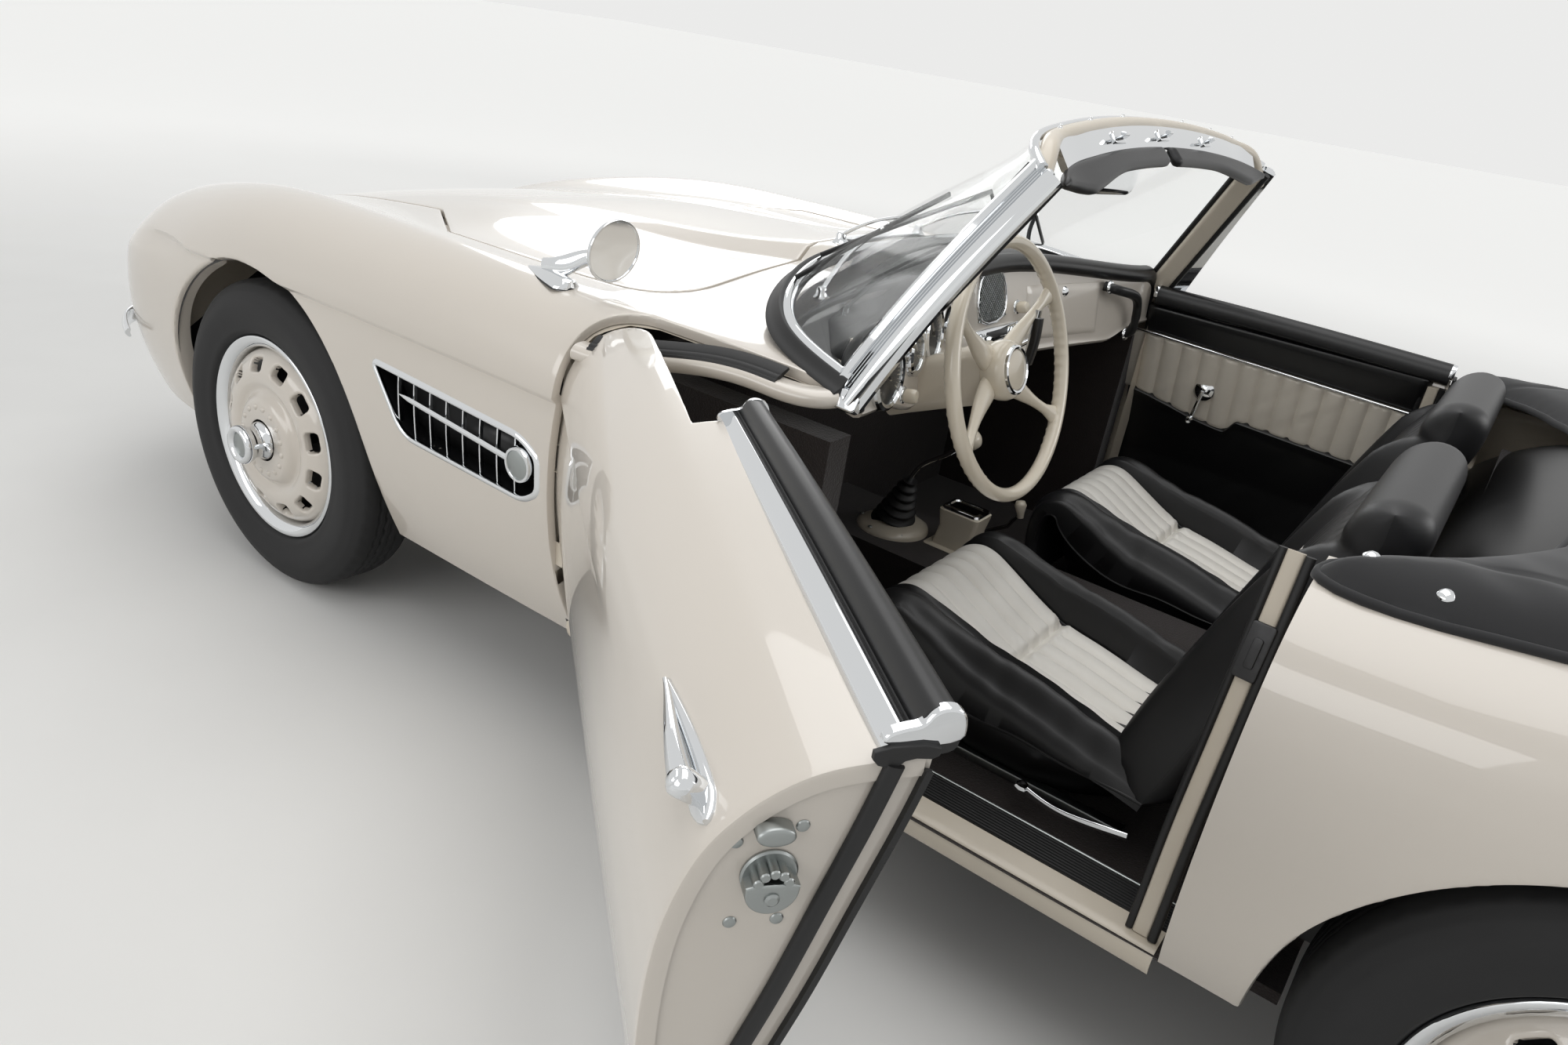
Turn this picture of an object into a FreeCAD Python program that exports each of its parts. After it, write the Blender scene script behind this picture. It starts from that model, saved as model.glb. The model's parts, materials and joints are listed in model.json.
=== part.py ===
import FreeCAD, Part
import math
import os
import re

import Sketcher
from FreeCAD import Placement, Rotation, Vector

# An open two-seat sports car of the late nineteen fifties, in millimetres.
# +X points forward, +Y to the car's left, +Z up. The origin is on the floor, midway between the axles.
# The left door stands open, as the car is parked, and everything else is shut.

# Driving sizes: name, value and what it measures. Every cell holds a plain number of millimetres or degrees.
SIZES = (
    ("wheelbase", 2480, "front axle to rear axle"),
    ("track_front", 1445, "between the middles of the front tyres"),
    ("track_rear", 1425, "between the middles of the rear tyres"),
    ("tyre_radius", 338, "hub height, with the tyre loaded"),
    ("tyre_width", 165, "section width of the tyre"),
    ("flange_radius", 222, "outside of the rim's flange"),
    ("bead_radius", 203, "seat of the tyre's bead on the rim"),
    ("rim_width", 138, "over the rim's flanges"),
    ("rim_wall", 8, "thickness of the rim and its disc"),
    ("disc_inset", 112, "wheel disc's hub from the rim's inner edge"),
    ("hub_radius", 62, "machined seat of the wheel on its hub"),
    ("stub_radius", 30, "stub axle inside the wheel's bore"),
    ("slot_count", 12, "cooling slots in the wheel disc"),
    ("slot_circle", 154, "radius of the circle of cooling slots"),
    ("slot_long", 34, "length of a cooling slot"),
    ("slot_tall", 22, "height of a cooling slot"),
    ("nut_radius", 42, "barrel of the centre-lock nut"),
    ("nut_length", 72, "length of the centre-lock nut"),
    ("ear_span", 150, "across the two ears of the centre-lock nut"),
    ("ear_wide", 24, "width of an ear"),
    ("arch_radius", 378, "wheel arch opening"),
    ("house_wall", 10, "thickness of the wheel house"),
    ("house_front_y", 440, "front wheel house from the centre line"),
    ("house_rear_y", 560, "rear wheel house from the centre line"),
    ("skin", 18, "thickness of a body wall with its flanges"),
    ("shut_gap", 6, "gap at doors and lids"),
    ("lid_gap", 14, "gap at the hinged edge of a lid"),
    ("door_front_x", 345, "front edge of the doors"),
    ("door_rear_x", -750, "rear edge of the doors"),
    ("door_inner_y", 628, "inside face of the doors"),
    ("door_bottom_z", 292, "lower edge of the doors"),
    ("door_step_y", 700, "inside of the door ahead of the pillar"),
    ("hinge_inset", 25, "door hinge axis behind the door's front edge"),
    ("hinge_y", 800, "door hinge axis from the centre line"),
    ("door_swing_room", 0.6, "how far the door's curved rear edge reaches past its corner's level"),
    ("hinge_low_z", 430, "middle of the lower door hinge"),
    ("hinge_high_z", 610, "middle of the upper door hinge"),
    ("hinge_pocket", 46, "radius of the door's pocket round a hinge"),
    ("pin_radius", 8, "door hinge pin"),
    ("open_angle", 39, "how far the left door stands open"),
    ("pillar_x", -105, "foot of the windscreen pillar"),
    ("bonnet_rear_x", 328, "rear edge of the bonnet"),
    ("bonnet_front_x", 1800, "front edge of the bonnet"),
    ("bonnet_rear_y", 594, "half width of the bonnet at its rear"),
    ("bonnet_front_y", 400, "half width of the bonnet at its front"),
    ("bulge_rise", 32, "height of the bonnet's raised middle"),
    ("bulge_half", 230, "half width of the bonnet's raised middle"),
    ("boot_front_x", -1560, "front edge of the boot lid"),
    ("boot_rear_x", -2190, "rear edge of the boot lid"),
    ("boot_front_y", 500, "half width of the boot lid at its front"),
    ("boot_rear_y", 400, "half width of the boot lid at its rear"),
    ("boot_floor_z", 470, "top of the boot floor"),
    ("lid_pin", 6, "radius of a lid's hinge pin"),
    ("floor_wall", 20, "thickness of the floor and bulkheads"),
    ("tunnel_half", 120, "half width of the transmission tunnel"),
    ("tunnel_top", 345, "top of the transmission tunnel"),
    ("sill_inner_y", 640, "inside face of the sills"),
    ("bulkhead_x", -900, "panel behind the seats"),
    ("rail_y", 330, "middle of a chassis rail from the centre line"),
    ("rail_width", 80, "width of a chassis rail"),
    ("rail_height", 76, "height of a chassis rail"),
    ("rail_z", 148, "underside of the chassis rails"),
    ("rail_front_x", 1700, "front end of the chassis rails"),
    ("rail_rear_x", -2050, "rear end of the chassis rails"),
    ("cross_height", 30, "height of a chassis cross member"),
    ("cross_width", 60, "width of a chassis cross member"),
    ("tow_radius", 14, "bore of a towing eye"),
    ("tow_plate", 20, "thickness of a towing eye"),
    ("pipe_radius", 22, "exhaust pipe"),
    ("pipe_y", 200, "exhaust pipe from the centre line"),
    ("silencer_radius", 45, "exhaust silencer"),
    ("silencer_length", 620, "exhaust silencer"),
    ("kingpin_y", 612, "steering axis of a front wheel from the centre line"),
    ("kingpin_radius", 20, "upright of a front wheel"),
    ("drum_radius", 142, "brake drum"),
    ("drum_width", 62, "brake drum"),
    ("engine_long", 620, "length of the engine block"),
    ("engine_wide", 500, "width of the engine block"),
    ("engine_tall", 500, "height of the engine block"),
    ("radiator_wide", 560, "width of the radiator"),
    ("radiator_tall", 380, "height of the radiator"),
    ("steer_tilt", 17.3, "steering column above the horizontal"),
    ("steer_x", -198, "middle of the steering wheel"),
    ("steer_y", 339, "middle of the steering wheel"),
    ("steer_z", 854, "middle of the steering wheel"),
    ("steer_radius", 210, "outside of the steering wheel's rim"),
    ("steer_grip", 12, "radius of the steering wheel's rim section"),
    ("steer_boss", 50, "steering wheel's boss behind the rim's plane"),
    ("column_radius", 24, "steering column's shroud"),
    ("seat_y", 344, "middle of a seat from the centre line"),
    ("seat_width", 420, "width of a seat"),
    ("glass_wall", 6, "thickness of the windscreen glass"),
    ("frame_depth", 34, "front to back of the windscreen frame"),
    ("frame_face", 30, "visible width of the windscreen frame"),
    ("cover_rise", 42, "height of the folded hood's cover above the deck"),
    ("seat_gap", 0.3, "clearance between a piece and what it lies on"),
    ("lamp_radius", 85, "headlamp"),
    ("lamp_y", 590, "headlamp from the centre line"),
    ("lamp_z", 610, "height of the headlamps"),
    ("tail_lamp_radius", 34, "tail lamp"),
    ("bumper_section", 46, "height of a bumper blade"),
    ("bumper_wall", 14, "thickness of a bumper blade"),
    ("plate_bolt_gap", 300, "between the two bolt holes for the rear number plate"),
    ("plate_bolt_radius", 3.2, "bolt hole for the rear number plate"),
    ("plate_bolt_z", 515, "height of the number plate's bolt holes"),
)

# Body sections from nose to tail. Each row is one cross-section of the left half:
#  station: anchor name and distance ahead of it
#  centre: height on the centre line
#  edge_y, edge_z: inner foot of the wing, near the bonnet or belt line
#  crown_y, crown_z: a point on the rounded top of the wing
#  side_y, side_z: the crease, where the body is widest
#  flank_y, flank_z: half way down the side
#  sill_y, sill_z: lower edge
BODY_SECTIONS = (
    (("front_axle", 765), 596, 200, 592, 350, 584, 462, 540, 472, 500, 432, 452),
    (("front_axle", 745), 640, 260, 634, 460, 628, 600, 570, 612, 490, 570, 410),
    (("front_axle", 700), 684, 330, 676, 580, 684, 712, 600, 722, 480, 684, 350),
    (("front_axle", 610), 722, 400, 706, 640, 730, 778, 640, 788, 470, 735, 290),
    (("front_axle", 400), 772, 480, 752, 668, 792, 815, 682, 815, 470, 745, 255),
    (("front_axle", 100), 822, 540, 790, 680, 844, 822, 702, 815, 470, 742, 245),
    (("front_axle", -240), 862, 580, 822, 690, 860, 822, 711, 812, 480, 740, 245),
    (("door_front", 120), 892, 598, 840, 712, 856, 822, 716, 814, 490, 740, 250),
    (("door_front", 0), 908, 605, 850, 722, 850, 822, 716, 816, 490, 742, 254),
    (("pillar", 100), 925, 625, 858, 745, 838, 822, 712, 820, 500, 745, 260),
    (("pillar", -60), 915, 636, 856, 758, 822, 820, 710, 821, 510, 748, 268),
    (("door_rear", 150), 860, 640, 842, 760, 800, 816, 700, 821, 520, 750, 276),
    (("door_rear", -20), 850, 640, 838, 760, 800, 816, 700, 821, 520, 750, 280),
    (("rear_axle", 150), 862, 600, 856, 735, 842, 824, 700, 825, 520, 758, 285),
    (("rear_axle", -150), 868, 570, 858, 712, 850, 825, 700, 825, 520, 760, 290),
    (("rear_axle", -470), 838, 530, 822, 680, 822, 806, 680, 808, 520, 750, 300),
    (("rear_axle", -800), 760, 480, 742, 640, 745, 762, 620, 770, 500, 718, 325),
    (("rear_axle", -1000), 680, 440, 664, 590, 668, 714, 568, 722, 485, 678, 355),
    (("rear_axle", -1065), 640, 400, 626, 520, 622, 630, 535, 640, 472, 600, 385),
    (("rear_axle", -1093), 588, 340, 578, 440, 570, 540, 508, 550, 460, 515, 410),
)

# The windscreen's bow at its foot and its head, as four points from the middle to the pillar:
#  ahead of the pillar's foot, distance from the centre line, height
SCREEN_FOOT = ((337, 0, 934), (273, 470, 916), (167, 620, 880), (0, 688, 850))
SCREEN_HEAD = ((-81, 0, 1240), (-100, 400, 1222), (-123, 510, 1204), (-163, 560, 1184))

# The side vent's outline: ahead of the door's front edge, height
VENT_OUTLINE = ((487, 638), (402, 516), (70, 512), (30, 540), (32, 602), (75, 626))

# Plan of each bumper's left half: distance back from its tip, distance from the centre line
FRONT_BUMPER = ((0, 0), (25, 640), (81, 752), (221, 822))
REAR_BUMPER = ((0, 0), (12, 520), (64, 690), (230, 802))


def formula(text):
    """A formula for a cell or property: each size's name gets the sheet's name in front."""
    names = {row[0] for row in SIZES}

    def whole_name(found):
        word = found.group(0)
        return "sizes." + word if word in names else word

    return re.sub(r"[a-z_]+", whole_name, str(text))


def value(text):
    """The number that a formula gives."""
    found = sheet.evalExpression(formula(text))
    return float(getattr(found, "Value", found))


def bind(piece, **settings):
    """Binds properties of a piece to formulas. Position is given as x, y and z."""
    places = {"x": "Placement.Base.x", "y": "Placement.Base.y", "z": "Placement.Base.z"}
    for name, text in settings.items():
        piece.setExpression(places.get(name, name), formula(text))
    return piece


def block(name, low, size):
    """A box from its low corner and its size along X, Y and Z, all formulas."""
    piece = doc.addObject("Part::Box", name)
    return bind(piece, x=low[0], y=low[1], z=low[2], Length=size[0], Width=size[1], Height=size[2])


def rod(name, start, radius, length, turn):
    """A round bar from its start point. turn is the rotation that takes +Z to the bar's direction."""
    piece = doc.addObject("Part::Cylinder", name)
    piece.Placement.Rotation = turn
    return bind(piece, x=start[0], y=start[1], z=start[2], Radius=radius, Height=length)


ALONG_X = Rotation(Vector(0, 1, 0), 90)
ALONG_Y = Rotation(Vector(1, 0, 0), -90)
ALONG_Z = Rotation()
HALF_TURN = Rotation(Vector(0, 0, 1), 180)
SIDES = (("left", 1), ("right", -1))
OUTWARDS = {side: Rotation(Vector(1, 0, 0), -90 * side) for name, side in SIDES}


def joined(label, pieces):
    """One solid from pieces that meet."""
    whole = doc.addObject("Part::MultiFuse", label + "_joined")
    whole.Shapes = pieces
    whole.Label = label
    return whole


def grouped(label, pieces):
    """Several solids that don't touch, as one piece."""
    whole = doc.addObject("Part::Compound", label + "_group")
    whole.Links = pieces
    whole.Label = label
    return whole


def less(label, base, tool):
    """Base with tool cut away."""
    whole = doc.addObject("Part::Cut", label + "_cut")
    whole.Base = base
    whole.Tool = tool
    whole.Label = label
    return whole


def shaped(label, shape):
    """A piece whose shape is worked out here from the sheet's values."""
    piece = doc.addObject("Part::Feature", label + "_shape")
    piece.Label = label
    piece.Shape = shape
    return piece


def pair(left):
    """A left-hand shape and its mirror image, as two solids."""
    return Part.makeCompound([left, mirrored(left)])


def outline(body, name, role, points):
    """A closed sketch of straight edges. Every corner's two distances from the origin are formulas."""
    sketch = body.newObject("Sketcher::SketchObject", name)
    plane = next(f for f in body.Origin.OriginFeatures if f.Role == role)
    sketch.AttachmentSupport = [(plane, "")]
    sketch.MapMode = "FlatFace"
    corners = [Vector(value(a), value(b), 0) for a, b in points]
    count = len(corners)
    for i, corner in enumerate(corners):
        sketch.addGeometry(Part.LineSegment(corner, corners[(i + 1) % count]), False)
    for i in range(count):
        sketch.addConstraint(Sketcher.Constraint("Coincident", i, 2, (i + 1) % count, 1))
    for i, (a, b) in enumerate(points):
        for kind, text, number in (("DistanceX", a, corners[i].x), ("DistanceY", b, corners[i].y)):
            made = sketch.addConstraint(Sketcher.Constraint(kind, -1, 1, i, 1, number))
            sketch.setExpression("Constraints[%d]" % made, formula(text))
    return sketch


def turned(label, points):
    """A body turned about its Y axis. Each point is a radius and a distance along the axis."""
    body = doc.addObject("PartDesign::Body", label + "_body")
    body.Label = label
    sketch = outline(body, label + "_outline", "XY_Plane", points)
    turn = body.newObject("PartDesign::Revolution", label + "_turned")
    turn.Profile = sketch
    turn.ReferenceAxis = (sketch, ["V_Axis"])
    turn.Angle = 360
    doc.recompute()
    return body


# The document and its sheet of sizes
doc = FreeCAD.newDocument("roadster")
sheet = doc.addObject("Spreadsheet::Sheet", "sizes")
for row, (name, number, note) in enumerate(SIZES, start=1):
    sheet.set("A%d" % row, name)
    sheet.set("B%d" % row, str(number))
    sheet.setAlias("B%d" % row, name)
    sheet.set("C%d" % row, note)
doc.recompute()

FAR = 3000
SKIN = value("skin")
GAP = value("shut_gap")
SEAT = value("seat_gap")
WALL = value("floor_wall")
FRONT = value("wheelbase / 2")
REAR = value("-wheelbase / 2")
HUB_Z = value("tyre_radius")
PILLAR = value("pillar_x")
DOOR_FRONT = value("door_front_x")
DOOR_REAR = value("door_rear_x")
DOOR_INNER = value("door_inner_y")
DOOR_BOTTOM = value("door_bottom_z")
HINGE = Vector(value("door_front_x - hinge_inset"), value("hinge_y"), 0)
ANCHORS = {"front_axle": FRONT, "rear_axle": REAR, "door_front": DOOR_FRONT, "door_rear": DOOR_REAR,
           "pillar": PILLAR}


def station_x(row):
    anchor, ahead = row[0]
    return ANCHORS[anchor] + ahead


NOSE_X = station_x(BODY_SECTIONS[0])
TAIL_X = station_x(BODY_SECTIONS[-1])


def arc(a, b, c):
    return Part.Arc(Vector(*a), Vector(*b), Vector(*c)).toShape()


def line(a, b):
    return Part.makeLine(Vector(*a), Vector(*b))


def slab(x0, x1, y0, y1, z0, z1):
    return Part.makeBox(x1 - x0, y1 - y0, z1 - z0, Vector(x0, y0, z0))


def drum(radius, length, start, way):
    return Part.makeCylinder(radius, length, Vector(*start), Vector(*way))


def polygon(points):
    corners = [Vector(*p) for p in points]
    return Part.Face(Part.makePolygon(corners + corners[:1]))


def mirrored(shape):
    return shape.mirror(Vector(0, 0, 0), Vector(0, 1, 0))


def both_sides(half):
    """The left half and its mirror image as one solid."""
    return half.fuse(mirrored(half)).removeSplitter()


def prism(points, low=-100.0, high=1500.0):
    """A plan outline carried up from low to high."""
    return polygon([(x, y, low) for x, y in points]).extrude(Vector(0, 0, high - low))


# The body's surface
def half_section(row, inset=0.0, rise=0.0, shift=0.0, drop=0.0):
    """The closed outline of the left half at one station: three arcs, then the bottom and the middle.
    inset moves the outside inwards, rise lifts the top, shift moves the station, drop lowers the bottom."""
    centre, edge_y, edge_z, crown_y, crown_z, side_y, side_z, flank_y, flank_z, sill_y, sill_z = row[1:]
    x = station_x(row) + shift
    top = (x, 0, centre - inset + rise)
    edge = (x, edge_y, edge_z - inset + rise)
    crown = (x, crown_y - 0.55 * inset, crown_z - 0.85 * inset + rise)
    side = (x, side_y - inset, side_z)
    flank = (x, flank_y - inset, flank_z)
    sill = (x, sill_y - inset, sill_z - drop)
    foot = (x, 0, sill_z - drop)
    bow = (x, edge_y / 2, top[2] - (top[2] - edge[2]) / 4)
    arcs = [arc(top, bow, edge), arc(edge, crown, side), arc(side, flank, sill)]
    return Part.Wire(arcs + [line(sill, foot), line(foot, top)])


def body_half(inset=0.0, rise=0.0, drop=0.0, end_shift=0.0):
    """A solid through all the sections of the left half."""
    shifts = [-end_shift] + [0.0] * (len(BODY_SECTIONS) - 2) + [end_shift]
    wires = [half_section(row, inset, rise, shift, drop) for row, shift in zip(BODY_SECTIONS, shifts)]
    return Part.makeLoft(wires, True, True)


OUTER = body_half()
INNER = body_half(inset=SKIN, drop=80, end_shift=SKIN)
SHELL = OUTER.cut(INNER)


def round_corner(centre, radius_x, radius_y, first, last, steps=3):
    """Points round an ellipse's quarter, by angle from the centre."""
    angles = [math.radians(first + (last - first) * i / steps) for i in range(steps + 1)]
    return [(centre[0] + radius_x * math.cos(a), centre[1] + radius_y * math.sin(a)) for a in angles]


def door_plan(gap):
    """The left door from above, grown by gap: a round corner in the wing, then a step in at the pillar."""
    inner = value("door_step_y") - gap
    front = DOOR_FRONT + gap
    back = DOOR_REAR - gap
    step = PILLAR - GAP + gap
    bend = round_corner((front - 100, inner + 112), 100, 112, 0, -90)
    inside = DOOR_INNER - gap
    return [(back, 900), (front, 900)] + bend + [(step, inner), (step, inside), (back, inside)]


def bonnet_plan(gap, front_gap):
    """Half of the bonnet from above, grown by the gaps, with a round rear corner."""
    rear = value("bonnet_rear_x") - gap
    front = value("bonnet_front_x") + front_gap
    wide = value("bonnet_rear_y") + gap
    narrow = value("bonnet_front_y") + gap
    corner = round_corner((rear + 110, wide - 110), 110, 110, 180, 90)
    nose = [(FRONT - 340, wide), (front - 60, narrow), (front, narrow - 90), (front, 0)]
    return [(rear, 0)] + corner + nose


def boot_plan(gap, front_gap):
    """Half of the boot lid from above, grown by the gaps."""
    front = value("boot_front_x") + front_gap
    rear = value("boot_rear_x") - gap
    wide = value("boot_front_y") + gap
    narrow = value("boot_rear_y") + gap
    cut = 70
    return [(front, 0), (front, wide - cut), (front - cut, wide),
            (rear + cut, narrow), (rear, narrow - cut), (rear, 0)]


def well_plan():
    """Half of the opening over the cabin and the folded hood, from the scuttle to the deck."""
    return [(PILLAR + 255, 0), (PILLAR + 165, 500), (PILLAR + 75, 612), (PILLAR, DOOR_INNER),
            (DOOR_REAR - 10, DOOR_INNER), (DOOR_REAR - 250, 560), (DOOR_REAR - 580, 480),
            (DOOR_REAR - 650, 300), (DOOR_REAR - 650, 0)]


def cover_plan():
    """Half of the folded hood's cover: an arm over the quarter and a deck behind the seats."""
    front = DOOR_REAR - GAP
    return [(front, 655), (front, 712), (DOOR_REAR - 150, 716), (DOOR_REAR - 400, 700),
            (DOOR_REAR - 650, 610), (DOOR_REAR - 730, 420), (DOOR_REAR - 740, 0), (DOOR_REAR - 260, 0),
            (DOOR_REAR - 250, 330), (DOOR_REAR - 180, 470), (DOOR_REAR - 110, 570)]


def wheel_space(axle_x, inner_y):
    """The space that a wheel arch cuts out of the body's left half."""
    return drum(value("arch_radius"), 600, (axle_x, inner_y, HUB_Z), (0, 1, 0))


def wheel_house(axle_x, inner_y, slot_top):
    """Walls inside the wing round the wheel's space, with a slot for the arms or axle."""
    wall = value("house_wall")
    reach = value("arch_radius") + 22
    low, high = HUB_Z - 60, HUB_Z + 352
    along = slab(axle_x - reach, axle_x + reach, inner_y - wall, inner_y, low, high)
    along = along.cut(slab(axle_x - 60, axle_x + 60, inner_y - 2 * wall, inner_y + 1, low - 1, slot_top))
    ends = [slab(axle_x + s * reach - wall / 2, axle_x + s * reach + wall / 2, inner_y - wall, 900, low, high)
            for s in (-1, 1)]
    return along.fuse(ends).common(OUTER)


# Hinges. A lid turns on two C-shaped necks that reach round the edge of the fixed panel.
def lid_neck(axis_x, axis_z, inner, outer, lid_angle, arm_angle, y):
    """A neck from a hub on the axis, out along an arm and round to the lid, angles from +X in side view."""
    wide = 20

    def at(radius, degrees):
        a = math.radians(degrees)
        return (axis_x + radius * math.cos(a), y, axis_z + radius * math.sin(a))

    def bow(radius):
        return [at(radius, angle) for angle in (lid_angle, (lid_angle + arm_angle) / 2, arm_angle)]

    far, near = bow(outer), bow(inner)
    rim = Part.Wire([arc(*far), line(far[2], near[2]), arc(*reversed(near)), line(near[0], far[0])])
    ring = Part.Face(rim).extrude(Vector(0, wide, 0))
    bar = slab(axis_x, axis_x + (inner + outer) / 2, y, y + wide, axis_z - 6, axis_z + 6)
    bar.rotate(Vector(axis_x, y, axis_z), Vector(0, 1, 0), -arm_angle)
    hub = drum(12, wide, (axis_x, y, axis_z), (0, 1, 0))
    bore = drum(value("lid_pin") + SEAT, wide + 2, (axis_x, y - 1, axis_z), (0, 1, 0))
    return hub.fuse([bar, ring]).cut(bore)


def lid_bracket(axis_x, axis_z, y, top_z):
    """The pin that a neck turns on, with the bracket that hangs it from the fixed panel."""
    pin = drum(value("lid_pin"), 34, (axis_x, y - 12, axis_z), (0, 1, 0))
    plate = slab(axis_x - 12, axis_x + 12, y - 12, y - 2, axis_z - 10, top_z)
    return pin.fuse(plate)


BONNET_AXIS = (value("bonnet_front_x + 80"), 672)
BOOT_AXIS = (value("boot_front_x + 120"), 800)
BONNET_HINGE_Y, BOOT_HINGE_Y = 240, 330

# Front body: wings, nose and scuttle in one piece, as the real car's are welded
front_house_y = value("house_front_y")
front_half = SHELL.common(slab(PILLAR, FAR, 0, 900, 0, 1400))
front_half = front_half.fuse(OUTER.common(slab(DOOR_FRONT + GAP, DOOR_FRONT + GAP + 24, 640, 900, 0, 1400)))
front_half = front_half.fuse(wheel_house(FRONT, front_house_y, 470))
front_half = front_half.cut(prism(door_plan(GAP), 0))
front_half = front_half.cut(slab(PILLAR - 10, DOOR_FRONT + GAP, 640, 900, 0, DOOR_BOTTOM - GAP))
front_half = front_half.cut(prism(bonnet_plan(GAP, value("lid_gap")), 500))
front_half = front_half.cut(prism(well_plan(), 500))
front_half = front_half.cut(wheel_space(FRONT, front_house_y))
cove_radius = math.hypot(value("hinge_inset"), 24) + GAP
front_half = front_half.cut(drum(cove_radius, 1200, HINGE, (0, 0, 1)))


def door_pin(z):
    """One hinge of the left door: a pin on an arm that stands out of the jamb."""
    radius = value("pin_radius")
    pocket = value("hinge_pocket")
    pin = drum(radius, 90, (HINGE.x, HINGE.y, z - 45), (0, 0, 1))
    jamb = DOOR_FRONT + GAP + 12
    return pin.fuse(slab(HINGE.x, jamb, HINGE.y - radius, HINGE.y + radius, z - pocket / 2, z + pocket / 2))


DOOR_HINGE_Z = (value("hinge_low_z"), value("hinge_high_z"))
front_half = front_half.fuse([door_pin(z) for z in DOOR_HINGE_Z])
front_half = front_half.fuse(lid_bracket(*BONNET_AXIS, BONNET_HINGE_Y, 702))

# Openings in the front body: the side vent, the grille mouth and the headlamp


def vent_face(y, shrink=0.0):
    """The vent's outline in the plane at y, drawn in by shrink."""
    middle_x = sum(p[0] for p in VENT_OUTLINE) / len(VENT_OUTLINE)
    middle_z = sum(p[1] for p in VENT_OUTLINE) / len(VENT_OUTLINE)
    out = []
    for ahead, z in VENT_OUTLINE:
        k = 1 - shrink / math.hypot(ahead - middle_x, z - middle_z)
        out.append((DOOR_FRONT + middle_x + (ahead - middle_x) * k, y, middle_z + (z - middle_z) * k))
    return polygon(out)


GRILLE_LOW, GRILLE_HIGH, GRILLE_IN, GRILLE_OUT = 488, 574, 18, 392


def grille_block(shrink, x0, x1):
    """A flat mouth with a rounded outer end, left of the middle, from x0 to x1."""
    z0, z1 = GRILLE_LOW + shrink, GRILLE_HIGH - shrink
    y0, y1 = GRILLE_IN + shrink, GRILLE_OUT - shrink
    cut = 24
    corners = [(y0, z0 + cut), (y0 + cut, z0), (y1 - 2 * cut, z0), (y1, z0 + cut), (y1, z1 - cut),
               (y1 - 2 * cut, z1), (y0 + cut, z1), (y0, z1 - cut)]
    return polygon([(x0, y, z) for y, z in corners]).extrude(Vector(x1 - x0, 0, 0))


lamp_radius, lamp_y, lamp_z = value("lamp_radius"), value("lamp_y"), value("lamp_z")
lamp_back = FRONT + 575
front_half = front_half.cut(vent_face(700).extrude(Vector(0, 200, 0)))
front_half = front_half.cut(grille_block(0, NOSE_X - 120, NOSE_X + 50))
front_half = front_half.cut(drum(lamp_radius + SEAT, 400, (lamp_back - 15, lamp_y, lamp_z), (1, 0, 0)))
front_body = both_sides(front_half)
shaped("front_body", front_body)

# Bonnet: its own panel with a raised middle, hinged at its front edge
BULGE = ((0, 1.0), (0.35, 0.95), (0.7, 0.62), (0.92, 0.2), (1.0, 0.02))


def bulge(lower):
    """The raised middle of the bonnet: share of its length from the rear, share of its height."""
    rear, front = value("bonnet_rear_x") - 10, FRONT + 240
    half, rise = value("bulge_half"), value("bulge_rise")
    wires = []
    for along, up in BULGE:
        x = rear + (front - rear) * along
        base = surface_z(x, half)
        top = surface_z(x, 0)
        crest = (x, 0, top + rise * up - lower)
        low = (x, half, base - 3 - lower)
        bow = (x, half * 0.62, (crest[2] + base - lower) / 2 + 7 * up)
        under, middle = (x, half, base - 60), (x, 0, base - 60)
        edges = [arc(crest, bow, low), line(low, under), line(under, middle), line(middle, crest)]
        wires.append(Part.Wire(edges))
    return Part.makeLoft(wires, True, True)


def surface_z(x, y):
    """Height of the body's top at x and y, inboard of the wing, between the stations either side."""
    rows = sorted(BODY_SECTIONS, key=station_x)
    behind = [r for r in rows if station_x(r) <= x][-1]
    ahead = [r for r in rows if station_x(r) >= x][0]
    span = station_x(ahead) - station_x(behind)
    share = (x - station_x(behind)) / span if span else 0

    def height(row):
        centre, edge_y, edge_z = row[1:4]
        return centre - (centre - edge_z) * (y / edge_y) ** 2

    return height(behind) + (height(ahead) - height(behind)) * share


bonnet_half = OUTER.fuse(bulge(0)).common(prism(bonnet_plan(0, 0), 500)).cut(INNER).cut(bulge(SKIN))
bonnet_half = bonnet_half.fuse(lid_neck(*BONNET_AXIS, 100, 114, 152, 212, BONNET_HINGE_Y))
bonnet = shaped("bonnet", both_sides(bonnet_half))

# Rear body: quarters, deck and tail, with the boot's floor
rear_house_y = value("house_rear_y")
boot_floor = value("boot_floor_z")
rear_half = SHELL.common(slab(-FAR, DOOR_REAR - GAP, 0, 900, 0, 1400))
rear_half = rear_half.fuse(OUTER.common(slab(DOOR_REAR - GAP - 24, DOOR_REAR - GAP, 640, 900, 0, 1400)))
rear_half = rear_half.fuse(wheel_house(REAR, rear_house_y, 600))
floor_back = value("boot_rear_x - 70")
floor_panel = slab(floor_back, value("bulkhead_x"), 0, 800, boot_floor - 12, boot_floor)
rear_half = rear_half.fuse(INNER.common(floor_panel))
rear_half = rear_half.cut(prism(boot_plan(GAP, value("lid_gap")), 500))
rear_half = rear_half.cut(prism(well_plan(), boot_floor + 40))
rear_half = rear_half.cut(wheel_space(REAR, rear_house_y))
plate_at = (TAIL_X - 20, value("plate_bolt_gap / 2"), value("plate_bolt_z"))
plate_hole = drum(value("plate_bolt_radius"), 80, plate_at, (1, 0, 0))
rear_half = rear_half.cut(plate_hole)
rear_half = rear_half.fuse(lid_bracket(*BOOT_AXIS, BOOT_HINGE_Y, 846))
rear_body = both_sides(rear_half)
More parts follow.
